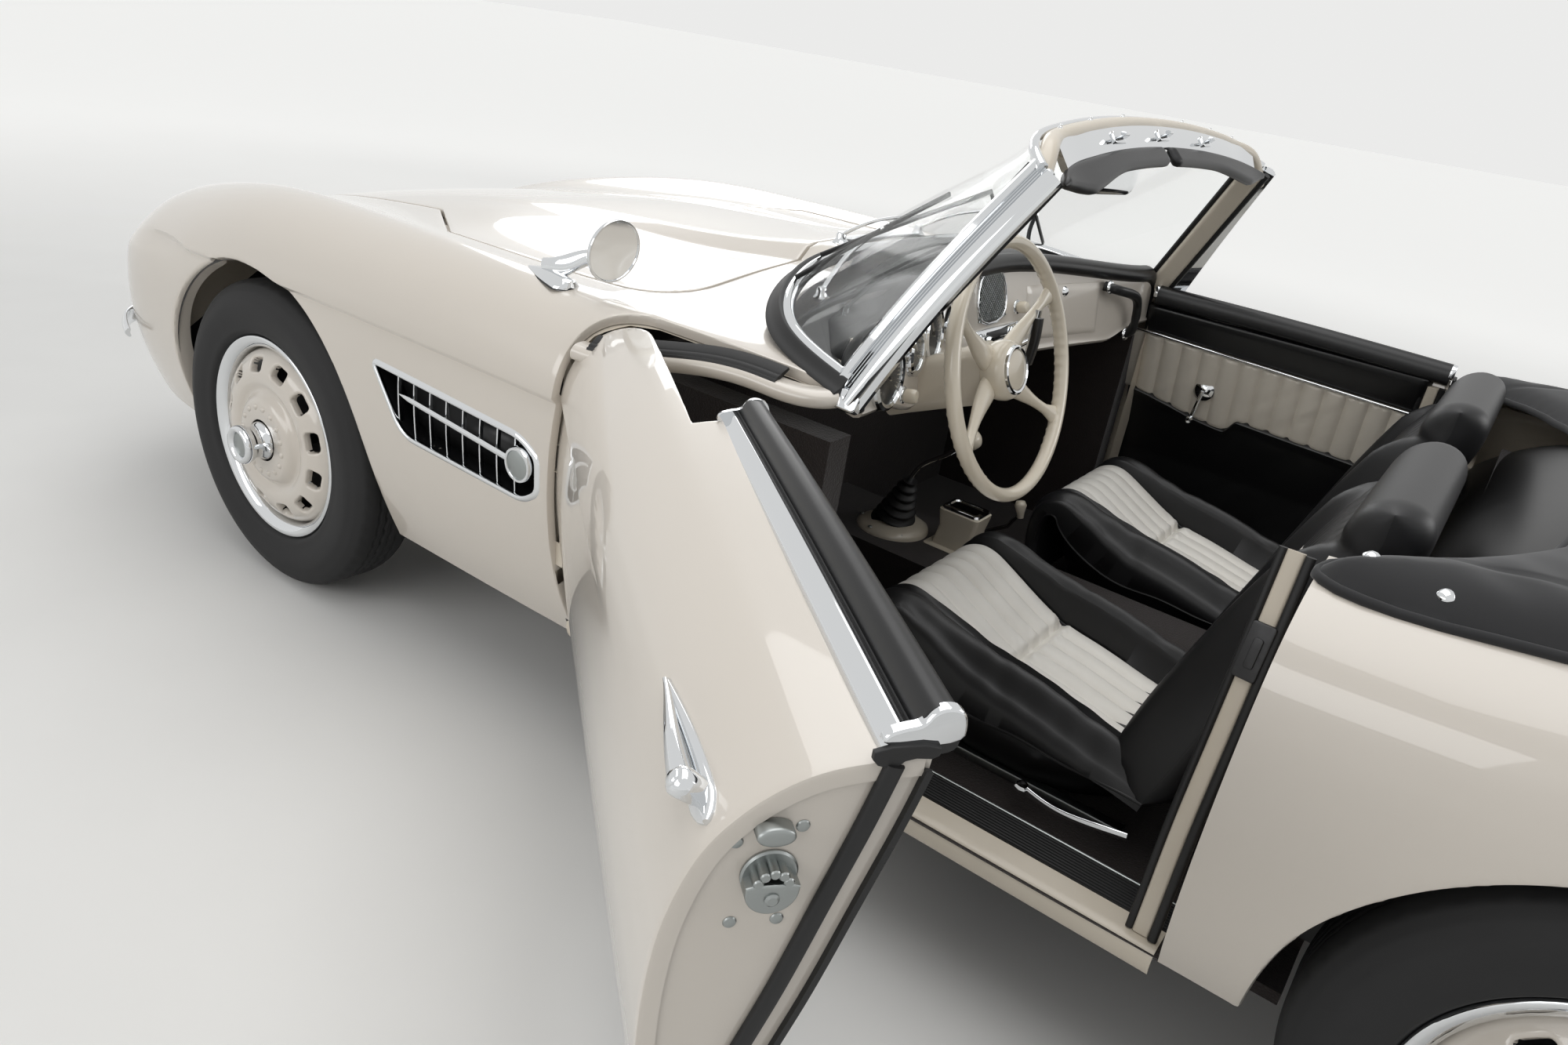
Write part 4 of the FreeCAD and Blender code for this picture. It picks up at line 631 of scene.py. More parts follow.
def full(grid):
    """The left half of the body with its mirror image, as one grid from sill to sill."""
    right = grid[:, :0:-1] * np.array([1, -1, 1])
    return np.concatenate([right, grid], axis=1)

# %% [markdown]
# Now each panel in turn. The front body is the surface ahead of the windscreen pillar less the door, bonnet,
# cockpit, wheel arch and side vent. The wheel arch isn't a circle: seen from the side it runs back lower
# down.

# %% Fields that the panels share
ARCH_FRONT = [(-378, -160), (-372, 0), (-345, 150), (-290, 250), (-214, 318), (-131, 358), (-40, 378),
              (60, 380), (160, 352), (250, 296), (320, 220), (362, 130), (378, 20), (378, -160)]
ARCH_REAR = [(-378, -160), (-378, 0), (-362, 108), (-327, 189), (-267, 267), (-189, 327), (-98, 365),
             (0, 378), (98, 365), (189, 327), (267, 267), (327, 189), (362, 108), (378, 0), (378, -160)]


def rounded(corners, passes=3):
    """A closed outline with its corners cut and cut again, which rounds them."""
    corners = np.array(corners, float)
    for _ in range(passes):
        after = np.roll(corners, -1, 0)
        corners = np.stack([corners * 0.75 + after * 0.25, corners * 0.25 + after * 0.75], 1).reshape(-1, 2)
    return corners


def arch_field(axle, arch):
    """Positive outside a wheel arch, seen from the side."""
    inside = polygon_field(rounded([(axle + x, HUB_Z + z) for x, z in arch]))
    return lambda p: -inside(p, (0, 2))


def outside(plan):
    """Positive outside a plan outline, on either side of the car."""
    inside = polygon_field(plan)
    return lambda p: -inside(p * np.where(np.arange(p.shape[1]) == 1, np.sign(p[:, 1:2] + 1e-9), 1))


def round_hole(here, y, z, radius):
    """Positive outside a round hole on each side of the car, wherever here says that x is near it."""
    return lambda p: np.where(here(p[:, 0]), np.hypot(abs(p[:, 1]) - y, p[:, 2] - z) - radius, 50.0)


VENT = [(DOOR_FRONT + x, z) for x, z in ((487, 638), (402, 516), (70, 512), (30, 540), (32, 602), (75, 626))]
vent_inside = polygon_field(VENT)
door_gap = outside(door_plan(GAP))
arch_front, arch_rear = arch_field(FRONT, ARCH_FRONT), arch_field(REAR, ARCH_REAR)
well = outside(WELL)

start = as_cloth(add_bulge(full(skin)))
front_skin = keep(start, lambda p: p[:, 0] - PILLAR)
front_skin = keep(front_skin, lambda p: np.maximum(well(p), 500 - p[:, 2]))
front_skin = trim(front_skin, outside(bonnet_plan(GAP, 14)))
front_skin = trim(front_skin, lambda p: np.maximum(door_gap(p), DOOR_BOTTOM - GAP - p[:, 2]))
front_skin = trim(front_skin, arch_front, 6.0, 30.0)
front_skin = trim(front_skin, lambda p: np.where(abs(p[:, 1]) > 700, -vent_inside(p, (0, 2)), 50.0), 4.0,
                  16.0)
LAMP_Y, LAMP_Z, LAMP_HOLE = 590.0, 610.0, 88.0
TAIL_LAMP_Y, TAIL_LAMP_Z, TAIL_LAMP_HOLE = 616.0, 600.0, 36.0
front_skin = trim(front_skin, round_hole(lambda x: x > FRONT + 450, LAMP_Y, LAMP_Z, LAMP_HOLE), 4.0, 20.0)
bonnet_skin = trim(start, polygon_field(bonnet_plan(0, 0)))
boot_skin = trim(start, polygon_field(boot_plan(0, 0)))
rear_skin = keep(start, lambda p: DOOR_REAR - GAP - p[:, 0])
rear_skin = keep(rear_skin, lambda p: np.maximum(well(p), 500 - p[:, 2]))
rear_skin = trim(rear_skin, outside(boot_plan(GAP, 14)))
rear_skin = trim(rear_skin, arch_rear, 6.0, 30.0)
rear_skin = trim(rear_skin, round_hole(lambda x: x < REAR - 900, TAIL_LAMP_Y, TAIL_LAMP_Z, TAIL_LAMP_HOLE),
                 3.0, 16.0)
door_inside = polygon_field(door_plan(0))
left = as_cloth(skin)
door_skin = trim(left, lambda p: np.minimum(door_inside(p), p[:, 2] - DOOR_BOTTOM))


def panel(name, cloth, opened=False, body="root"):
    """A cut surface as a painted piece, in metres."""
    points, tris = cloth
    return place(name, points[:, :3] * MM, tris, enamel, body, opened=opened)


panel("front_body_skin", front_skin)
panel("bonnet_skin", bonnet_skin, body="bonnet")
panel("boot_lid_skin", boot_skin, body="boot_lid")
panel("rear_body_skin", rear_skin)
panel("door_skin_left", door_skin, True, "door_left")
mirrored_door = (door_skin[0] * np.array([1, -1, 1, 1, -1, 1]), door_skin[1][:, ::-1])
panel("door_skin_right", mirrored_door, body="door_right")
print("panel triangles", [len(c[1]) for c in (front_skin, bonnet_skin, boot_skin, rear_skin, door_skin)])

# %% [markdown]
# Behind the skin are the parts that a buyer sees only with a door or lid open: inner walls, wheel houses,
# jambs and hinge pockets. The CAD model already has them, so each panel's back is a copy of its CAD node less
# the faces that the skin stands for. Depth below the skin tells which faces those are.

# %% The backs of the panels
dressed = add_bulge(skin.copy())


def depth_below(points):
    """Depth of points below the skin, and the skin's outward direction there, as (y, z)."""
    back = -dressed[:, 0, 0]
    at = np.clip(-points[:, 0], back[0], back[-1] - 0.01)
    k = np.clip(np.searchsorted(back, at) - 1, 0, len(back) - 2)
    share = ((at - back[k]) / (back[k + 1] - back[k]))[:, None, None]
    section = dressed[k][:, :, 1:] * (1 - share) + dressed[k + 1][:, :, 1:] * share
    side = np.where(points[:, 1] < 0, -1.0, 1.0)
    spot = np.stack([abs(points[:, 1]), points[:, 2]], -1)[:, None]
    start, way = section[:, :-1], np.diff(section, axis=1)
    along = np.clip(((spot - start) * way).sum(-1) / np.maximum((way ** 2).sum(-1), 1e-9), 0, 1)
    gap = spot - start - way * along[..., None]
    nearest = np.argmin((gap ** 2).sum(-1), axis=1)
    rows = np.arange(len(points))
    way, gap = way[rows, nearest], gap[rows, nearest]
    out = np.stack([-way[:, 1], way[:, 0]], -1)
    out /= np.maximum(np.linalg.norm(out, axis=1, keepdims=True), 1e-9)
    reach = (gap * out).sum(-1)
    off = np.linalg.norm(gap, axis=1)
    depth = np.where(reach > 0, -off, off)
    out[:, 0] *= side
    return depth, out


def cad_arrays(node):
    """A CAD node's merged points in millimetres and its triangles."""
    mesh = frame["nodes"][node].data
    points = np.empty(len(mesh.vertices) * 3)
    mesh.vertices.foreach_get("co", points)
    mesh.calc_loop_triangles()
    tris = np.empty(len(mesh.loop_triangles) * 3, int)
    mesh.loop_triangles.foreach_get("vertices", tris)
    points = points.reshape(-1, 3) / MM
    _, first, index = np.unique((points * 50).round().astype(int), axis=0, return_index=True,
                                return_inverse=True)
    tris = index.reshape(-1)[tris].reshape(-1, 3)
    tris = tris[(tris[:, 0] != tris[:, 1]) & (tris[:, 1] != tris[:, 2]) & (tris[:, 2] != tris[:, 0])]
    return points[first], tris


SKIN_FRONT, SKIN_REAR = FRONT + 764, REAR - 1092


def past_ends(x):
    """True ahead of the skin's first section or behind its last, where the solids close the body."""
    return (x > SKIN_FRONT) | (x < SKIN_REAR)


def back_of(node, body="root", opened=False, paint=enamel_in, cut_at=-9999):
    """The inside faces of a CAD node, pulled a little below the skin."""
    points, tris = cad_arrays(node)
    if opened:
        points = turned_about(points, HINGE / MM, -OPEN)
    depth, out = depth_below(points)
    corners = points[tris]
    normal = np.cross(corners[:, 1] - corners[:, 0], corners[:, 2] - corners[:, 0])
    normal /= np.maximum(np.linalg.norm(normal, axis=1, keepdims=True), 1e-9)
    _, face_out = depth_below(corners.mean(1))
    facing = (normal[:, 1:] * face_out).sum(-1)
    deepest, shallowest = depth[tris].max(1), depth[tris].min(1)
    skinned = (deepest < 15) & (facing > 0.1)
    rims = (deepest < 26) & (shallowest < 12) & (abs(facing) < 0.6)
    ends = past_ends(corners[:, :, 0]).all(1)
    tris = tris[(~skinned & ~rims | ends) & ~(corners[:, :, 0].mean(1) < cut_at)]
    push = np.where(past_ends(points[:, 0]), 0, np.clip(7 - depth, 0, 20))
    points[:, 1:] -= out * push[:, None]
    points, tris = tidy((points, tris))
    piece = place(node + "_inside", points * MM, tris, paint, body, sharp=25.0, opened=opened)
    piece.data.materials.append(enamel)
    at_ends = past_ends(points[tris].mean(1)[:, 0])
    piece.data.polygons.foreach_set("material_index", at_ends.astype(np.int32))
    return piece


def blacken_wheel_houses(piece):
    """Underseal on the faces round the wheels."""
    piece.data.materials.append(black_enamel)
    for face in piece.data.polygons:
        x, y, z = face.center / MM
        round_wheel = min(math.hypot(x - axle, z - HUB_Z) for axle in (FRONT, REAR)) < 430
        if round_wheel and abs(y) < 806:
            face.material_index = 2


insides = {}
for node in ("front_body", "rear_body", "bonnet", "boot_lid"):
    insides[node] = back_of(node, BODY_OF[node])
for node in ("front_body", "rear_body"):
    blacken_wheel_houses(insides[node])
insides["door_left"] = back_of("door_left", "door_left", True, cut_at=PILLAR - GAP - 1)
insides["door_right"] = back_of("door_right", "door_right", cut_at=PILLAR - GAP - 1)
for node, skin_name in (("front_body", "front_body_skin"), ("rear_body", "rear_body_skin"),
                        ("bonnet", "bonnet_skin"), ("boot_lid", "boot_lid_skin"),
                        ("door_left", "door_skin_left"), ("door_right", "door_skin_right")):
    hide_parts(node)
print("inside faces", {node: len(piece.data.polygons) for node, piece in insides.items()})

# %% [markdown]
# Most trim is made in three ways: a profile carried along a path, an outline pressed into a plate with a
# rounded edge, and a profile turned about an axis. Each is one array formula. The meshes are closed, so their
# faces can be turned outwards by Blender's own recalculation.

# %% Swept, pressed and turned shapes
import bmesh


def unit(vectors):
    """Vectors scaled to length one."""
    vectors = np.asarray(vectors, float)
    return vectors / np.maximum(np.linalg.norm(vectors, axis=-1, keepdims=True), 1e-9)


def curve(corners, count):
    """A smooth line through points: a cubic spline over the distance walked."""
    corners = np.asarray(corners, float)
    walk = np.concatenate([[0], np.cumsum(np.linalg.norm(np.diff(corners, axis=0), axis=1))])
    return spline(walk, corners, np.linspace(0, walk[-1], count))


def tube_faces(rows, count, closed=False):
    """Quads between rows of points that close on themselves, and a face over each end of an open tube."""
    faces = grid_faces(rows, count, closed, True).tolist()
    return faces if closed else faces + [list(range(count)), list(range((rows - 1) * count, rows * count))]


def slab(top, under):
    """Two grids of one shape as a closed sheet: the second one turned over, and a wall round the edge."""
    rows, columns = top.shape[:2]
    count, quads = rows * columns, grid_faces(rows, columns)
    border = np.concatenate([np.arange(columns), np.arange(1, rows) * columns + columns - 1,
                             (rows - 1) * columns + np.arange(columns - 2, -1, -1),
                             np.arange(rows - 2, 0, -1) * columns])
    after = np.roll(border, -1)
    walls = np.stack([border, after, after + count, border + count], 1)
    faces = np.concatenate([quads, quads[:, ::-1] + count, walls]).tolist()
    return np.concatenate([top.reshape(-1, 3), under.reshape(-1, 3)]), faces


def swept(path, profile, up=(0, 0, 1), closed=False):
    """A closed profile of (across, up) points at each point of a path: point + across * a + up * b."""
    path = np.asarray(path, float)
    way = unit(np.roll(path, -1, 0) - np.roll(path, 1, 0) if closed else np.gradient(path, axis=0))
    across = unit(np.cross(way, np.broadcast_to(np.asarray(up, float), path.shape)))
    lift = np.cross(across, way)
    profile = np.asarray(profile, float)
    profile = np.broadcast_to(profile, (len(path),) + profile.shape[-2:])
    points = path[:, None] + across[:, None] * profile[..., :1] + lift[:, None] * profile[..., 1:]
    return points.reshape(-1, 3), tube_faces(len(path), profile.shape[1], closed)


def ring(radius, count=16, tall=None):
    """Points round a circle, or an ellipse where tall is given."""
    angles = np.linspace(0, 2 * math.pi, count, endpoint=False)
    return np.stack([radius * np.cos(angles), (tall or radius) * np.sin(angles)], -1)


def slot(width, height, radius, steps=5):
    """The outline of a rectangle with round corners."""
    outline = []
    for k, (sx, sy) in enumerate(((1, 1), (-1, 1), (-1, -1), (1, -1))):
        middle = (sx * (width / 2 - radius), sy * (height / 2 - radius))
        outline += corner(middle, radius, radius, 90 * k, 90 * k + 90, steps)
    return np.array(outline)


def axes_of(normal, up=(0, 0, 1)):
    """Two directions in the plane that a normal stands on: across it and up it."""
    normal = unit(normal)
    across = unit(np.cross(up, normal))
    return across, np.cross(normal, across), normal


def inset(outline, depth):
    """An outline moved in along its own normals."""
    way = unit(np.roll(outline, -1, 0) - np.roll(outline, 1, 0))
    return outline + np.stack([-way[:, 1], way[:, 0]], -1) * depth


def pressed(outline, thickness, at, normal, up=(0, 0, 1), edge=1.5, dome=0.0):
    """A plate: rings of its outline from the back, over a rounded front edge, to a low dome."""
    across, lift, normal = axes_of(normal, up)
    outline = np.asarray(outline, float)
    area = (outline[:, 0] * np.roll(outline[:, 1], -1) - outline[:, 1] * np.roll(outline[:, 0], -1)).sum()
    outline = outline if area > 0 else outline[::-1]
    rings = [(0, 0), (0, thickness - edge)]
    rings += [(edge * (1 - math.cos(a)), thickness - edge + edge * math.sin(a))
              for a in (0.5, 1.0, math.pi / 2)]
    points = [np.concatenate([inset(outline, depth), np.full((len(outline), 1), height)], 1)
              for depth, height in rings]
    middle = outline.mean(0)
    for share in (0.7, 0.4, 0.15) if dome else ():
        flat = middle + (points[4][:, :2] - middle) * share
        points.append(np.concatenate([flat, np.full((len(outline), 1), thickness + dome * (1 - share ** 2))],
                                     1))
    local = np.concatenate(points)
    world = np.asarray(at, float) + local[:, :1] * across + local[:, 1:2] * lift + local[:, 2:] * normal
    return world, tube_faces(len(points), len(outline))


def turned(profile, centre, axis=(0, 1, 0), count=48):
    """A profile of (radius, distance along) points turned about an axis through centre."""
    across, lift, axis = axes_of(axis, (0, 0, 1) if abs(axis[2]) < 0.9 else (1, 0, 0))
    profile = np.asarray(profile, float)
    angles = np.linspace(0, 2 * math.pi, count, endpoint=False)[None, :, None]
    spoke = np.cos(angles) * across + np.sin(angles) * lift
    points = np.asarray(centre, float) + profile[:, None, :1] * spoke + profile[:, None, 1:] * axis
    return points.reshape(-1, 3), grid_faces(len(profile), count, False, True).tolist()


def mirror_of(part, side):
    """A (points, faces) pair on the left, or its mirror image on the right."""
    points, faces = part
    return np.asarray(points, float).reshape(-1, 3) * np.array([1, side, 1]), faces


def solid(name, parts, material, body="root", sharp=35.0, opened=False):
    """Closed parts in millimetres as one piece, with doubles merged and all faces turned outwards."""
    points, faces = combined(parts)
    piece = place(name, points * MM, faces, material, body, sharp=sharp, opened=opened)
    mesh = bmesh.new()
    mesh.from_mesh(piece.data)
    bmesh.ops.remove_doubles(mesh, verts=mesh.verts, dist=0.01 * MM)
    bmesh.ops.dissolve_degenerate(mesh, edges=mesh.edges, dist=0.001 * MM)
    bmesh.ops.recalc_face_normals(mesh, faces=mesh.faces)
    mesh.to_mesh(piece.data)
    mesh.free()
    piece.data.set_sharp_from_angle(angle=math.radians(sharp))
    return piece


def on_side(name, side_name, parts, *look, **more):
    """Parts drawn on the left as one piece on the left, or as their mirror image on the right."""
    side = 1 if side_name == "left" else -1
    return solid(name + "_" + side_name, [mirror_of(part, side) for part in parts], *look, **more)


def both_sides(*parts):
    """Parts drawn on the left, and their mirror images."""
    return [mirror_of(part, s) for s in (1, -1) for part in parts]


def section_at(x):
    """The skin's section at x, as (y, z) points from the middle to the sill."""
    back = -dressed[:, 0, 0]
    k = int(np.clip(np.searchsorted(back, -x) - 1, 0, len(back) - 2))
    share = (-x - back[k]) / (back[k + 1] - back[k])
    return dressed[k, :, 1:] * (1 - share) + dressed[k + 1, :, 1:] * share


def on_skin(x, y=None, z=None):
    """A point on the left half of the skin, from x and y (on top) or z (on the side), and its normal."""
    section = section_at(x)
    known = section[:, 0] if z is None else -section[:, 1]
    wanted = y if z is None else -z
    start = 0 if z is None else EDGE_COLUMN
    k = start + int(np.argmax(known[start:] >= wanted))
    k = max(k, 1)
    share = (wanted - known[k - 1]) / max(known[k] - known[k - 1], 1e-6)
    spot = section[k - 1] * (1 - share) + section[k] * share
    way = section[min(k + 1, len(section) - 1)] - section[max(k - 2, 0)]
    ahead = (section_at(x + 40).mean(0) - section_at(x - 40).mean(0)) / 80
    normal = np.array([0, -way[1], way[0]]) / max(np.linalg.norm(way), 1e-9)
    normal[0] = -(normal[1:] * ahead).sum()
    return np.array([x, spot[0], spot[1]]), unit(normal)


def screw(at, normal, radius=5.0):
    """A screw's low domed head."""
    return turned([(0, 1.8), (radius * 0.5, 1.6), (radius * 0.85, 1.0), (radius, 0), (radius, -1.0)], at,
                  normal, 20)


SIDES = (("left", 1, True), ("right", -1, False))

# %% [markdown]
# The doors. From the rear, an open door shows its end face: a cream pressing that follows the outer skin,
# with a black rubber seal down its inner edge, a rotary lock and a guide block in zinc-plated steel. On top
# lie a chrome belt strip, a black window channel and a padded roll, closed by chrome caps. The end face leans
# in at its foot, as the door gets thinner there.

# %% Doors: core, end face and top
DOOR_INSIDE = np.array([(738, 296), (729, 470), (708, 545), (690, 600), (662, 700), (640, 780), (629, 826),
                        (628, 846)])


def door_core():
    """The door behind its skin: rows of a closed section from behind the pillar to the rear edge."""
    stations = np.linspace(PILLAR - 7, DOOR_REAR + 2.5, 24)
    inside = curve(DOOR_INSIDE, 26)
    rows = []
    for x in stations:
        section = section_at(x)
        section = section[(section[:, 0] > 634) & (section[:, 1] > DOOR_BOTTOM + 3)]
        way = unit(np.gradient(section, axis=0))
        section = section + np.stack([way[:, 1], -way[:, 0]], -1) * 3.5
        walk = np.concatenate([[0], np.cumsum(np.linalg.norm(np.diff(section, axis=0), axis=1))])
        at = np.linspace(0, walk[-1], 60)
        outer = np.stack([np.interp(at, walk, section[:, k]) for k in (0, 1)], -1)
        rows.append(np.concatenate([inside, outer]))
    rows = np.array(rows)
    points = np.concatenate([np.broadcast_to(stations[:, None, None], rows.shape[:2] + (1,)), rows], -1)
    return points.reshape(-1, 3), tube_faces(len(stations), rows.shape[1])


def seal_line(shift, top=845.0):
    """A line down the end face, a distance outside the door's inner edge."""
    line = curve(DOOR_INSIDE[:-1] + np.array([1, 0.25]) * shift, 40)
    return np.stack([np.full(len(line), DOOR_REAR), line[:, 0], np.minimum(line[:, 1], top)], -1)


def belt_line(y, z_front, z_rear, start=-116.0, end=-744.0, bow_up=3.0, count=30):
    """A line along the door's top, with a slight upward bow."""
    share = np.linspace(0, 1, count)
    x = start + (end - start) * share
    return np.stack([x, np.full(count, y), z_front + (z_rear - z_front) * share
                     + bow_up * np.sin(share * math.pi)], -1)


ROLL = [(-17, -26), (-19, -8), (-17, 6), (-11, 15), (-2, 19), (7, 18), (14, 12), (17, 2), (17, -10),
        (16, -26)]
BELT = [(-8, -16), (-8, 2), (-6, 6), (-2, 6), (9, -7), (11, -12), (11, -22)]
CHANNEL = [(-5, -14), (-5, 2), (-2, 3), (0, 0), (2, 3), (5, 2), (5, -14)]


def door_top(side_name, opened, body):
    """Chrome belt strip, rubber window channel, padded roll and the roll's chrome end caps."""
    strips = (("belt_strip", BELT, 656, 863, 848, chrome),
              ("window_channel", CHANNEL, 645, 865, 851, black_rubber),
              ("top_roll", ROLL, 626, 869, 861, black_vinyl))
    for label, profile, y, front, rear, material in strips:
        path = belt_line(y, front, rear)
        shape = rounded(profile, 1 if label != "top_roll" else 2)
        on_side("door_" + label, side_name, [swept(path, shape)], material, body, 50, opened)
    cap_parts = []
    for x, way in ((-741.0, -1), (-118.0, 1)):
        z = 861 if way < 0 else 869
        outline = rounded([(-46, -14), (-44, -2), (-30, 3), (-16, 5), (-10, 16), (0, 20), (12, 18), (19, 8),
                           (20, -14)], 2)
        cap_parts.append(pressed(outline * np.array([-way, 1]), 9, (x, 626, z), (way, 0, 0), edge=3.0))
    on_side("door_top_caps", side_name, cap_parts, chrome, body, 40, opened)


def door_end(side_name, opened, body):
    """Seals, guide block, rotary lock and screws on the door's end face."""
    band = [(-8, -2), (-8, 3), (-5, 6), (5, 6), (8, 3), (8, -2)]
    thin = [(-3, -2), (-3, 4), (3, 4), (3, -2)]
    flap = rounded([(0, 0), (52, -2), (52, -16), (34, -22), (24, -12), (0, -14)], 1) * np.array([-1, 1])
    seals = [swept(seal_line(30), rounded(band, 1), (-1, 0, 0)), swept(seal_line(2), thin, (-1, 0, 0)),
             pressed(flap, 5, (DOOR_REAR + 1, 626, 852), (-1, 0, 0))]
    on_side("door_seals", side_name, seals, black_rubber, body, 40, opened)
    lock = [pressed(ring(15, 32, 8.5), 14, (DOOR_REAR + 2, 742, 779), (-1, 0, 0), edge=3.0, dome=0.8)]
    shell = corner((0, 0), 21, 21, 180, 360, 24) + [(21, 5), (14, 7), (-14, 7), (-21, 5)]
    lock.append(pressed(shell, 16, (DOOR_REAR + 2, 739, 730), (-1, 0, 0), edge=2.0))
    lock.append(turned([(0, 3), (21, 3), (22.5, 1.5), (22.5, 0)], (DOOR_REAR + 2, 739, 735), (-1, 0, 0), 40))
    for k in range(5):
        angle = math.radians(20 + 35 * k)
        spot = (DOOR_REAR - 1, 739 + 12.5 * math.cos(angle), 734 + 12.5 * math.sin(angle))
        lock.append(turned([(0, 13), (3.4, 13), (4.3, 11.8), (4.3, 0)], spot, (-1, 0, 0), 14))
    lock.append(turned([(0, 2.6), (4, 2.6), (6.0, 1.2), (6.0, 0)], (DOOR_REAR - 14, 739, 724), (-1, 0, 0),
                       20))
    on_side("door_lock", side_name, lock, steel, body, 35, opened)
    screws = []
    for y, z in ((719, 778), (768, 766), (726, 688), (763, 688)):
        screws.append(screw((DOOR_REAR + 2, y, z), (-1, 0, 0), 5.5))
    on_side("door_screws", side_name, screws, steel, body, 30, opened)


def door_handle(side_name, side, opened, body):
    """A pull handle: a teardrop base on the skin, a tapering lever over it and a push button at its end."""
    share = np.linspace(0, 1, 28)
    x = -548 - 184 * share
    half = 2.5 + 11.5 * np.sin(np.clip(share / 0.86, 0,
                                       1) * math.pi / 2) * np.sqrt(np.clip((1 - share) / 0.12, 0, 1))
    spots = [on_skin(v, z=771) for v in x]
    path, ups = np.array([s[0] for s in spots]), np.array([s[1] for s in spots])
    dome = np.array([(-1, -2), (-0.98, 2), (-0.8, 4.2), (-0.4, 5.6), (0, 6), (0.4, 5.6), (0.8, 4.2),
                     (0.98, 2), (1, -2)])
    base = swept(path, np.stack([np.stack([dome[:, 0] * h, dome[:, 1]], -1) for h in half]), ups)
    lever_share = np.clip(share / 0.8, 0, 1)
    rise = 7 + 17 * np.sin(lever_share * math.pi / 2) ** 1.3
    lever_path = path[:23] + ups[:23] * (rise[:23, None] - 3)
    width = 2.2 + 8.0 * lever_share[:23]
    depth = 3.0 + 6.5 * lever_share[:23]
    lever = swept(lever_path, np.stack([ring(1, 14) * np.array([w, d]) for w, d in zip(width, depth)]),
                  ups[:23])
    spot, up = path[23], ups[23]
    button = turned([(0, 29), (8, 29), (11.5, 26.5), (13, 20), (12, 4)], spot + np.array([6, 0, 0]), up, 10)
    keyhole = turned([(0, 31.5), (5.5, 31.3), (7, 30), (7, 28)], spot + np.array([6, 0, 0]), up, 20)
    pieces = [mirror_of(p, side) for p in (base, lever, button, keyhole)]
    handle = solid("door_handle_chrome_" + side_name, pieces, chrome, body, 50, opened)
    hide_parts("door_handle_" + side_name)


for side_name, side, opened in SIDES:
    body_name = "door_" + side_name
    on_side("door_core", side_name, [door_core()], enamel, body_name, 32, opened)
    door_top(side_name, opened, body_name)
    door_end(side_name, opened, body_name)
    door_handle(side_name, side, opened, body_name)

# %% [markdown]
# The seats are black leather with pleated cream inserts. The cushion is a wave: it rises to a thigh roll at
# the front, dips at a cross seam, and runs flat to the back, with a bolster each side. A surface carried
# along that wave gives all of it: six sewn channels across the insert, a pinched seam where the wave bends,
# and bolsters that stand higher where the insert dips. The stuffing is shaped directly, because the sewn
# channels matter more here than the sag that a simulation adds, and a few small puckers at the seam stand for
# the pull of the thread.

# %% Seat cushions
SEAT_Y, INSERT, SEAT_HALF, CHANNELS = 344.0, 136.0, 212.0, 6
SEAT_SEAM_X = -358.0
# The insert's middle line seen from the side: x, z; beside it the bolster's height over it and its outer
# depth
CUSHION_LINE = np.array([
    (-150, 300, 0, 14), (-133, 360, 0, 14), (-130, 420, 2, 14), (-145, 462, 4, 16), (-178, 479, 8, 26),
    (-225, 465, 18, 44), (-290, 430, 34, 48), (-358, 400, 48, 36), (-430, 386, 50, 18), (-520, 366, 48, 4),
    (-600, 350, 46, -14), (-640, 342, 44, -20)], float)


def channel_rise(across, half, count, height):
    """Height of sewn channels: count humps side by side, flat on top and pinched at the seams."""
    share = (across + half) / (2 * half / count)
    middle = abs(2 * (share - np.floor(share)) - 1)
    return height * (1 - middle ** 3.2)


def wave_frame(line):
    """Points along a line in the XZ plane and the normals that stand on it."""
    way = unit(np.gradient(line[:, :2], axis=0))
    return line[:, :2], np.stack([way[:, 1], -way[:, 0]], -1)


def smooth_noise(a, b, seed):
    """A fixed sum of a few sine waves, for creases that look unplanned."""
    return sum(math.sin(seed * 7.1 + k) * np.sin(a * (0.011 + 0.007 * k) + b * (0.017 + 0.005 * k) + seed
                                                 + 2.3 * k) for k in range(5)) / 2.5


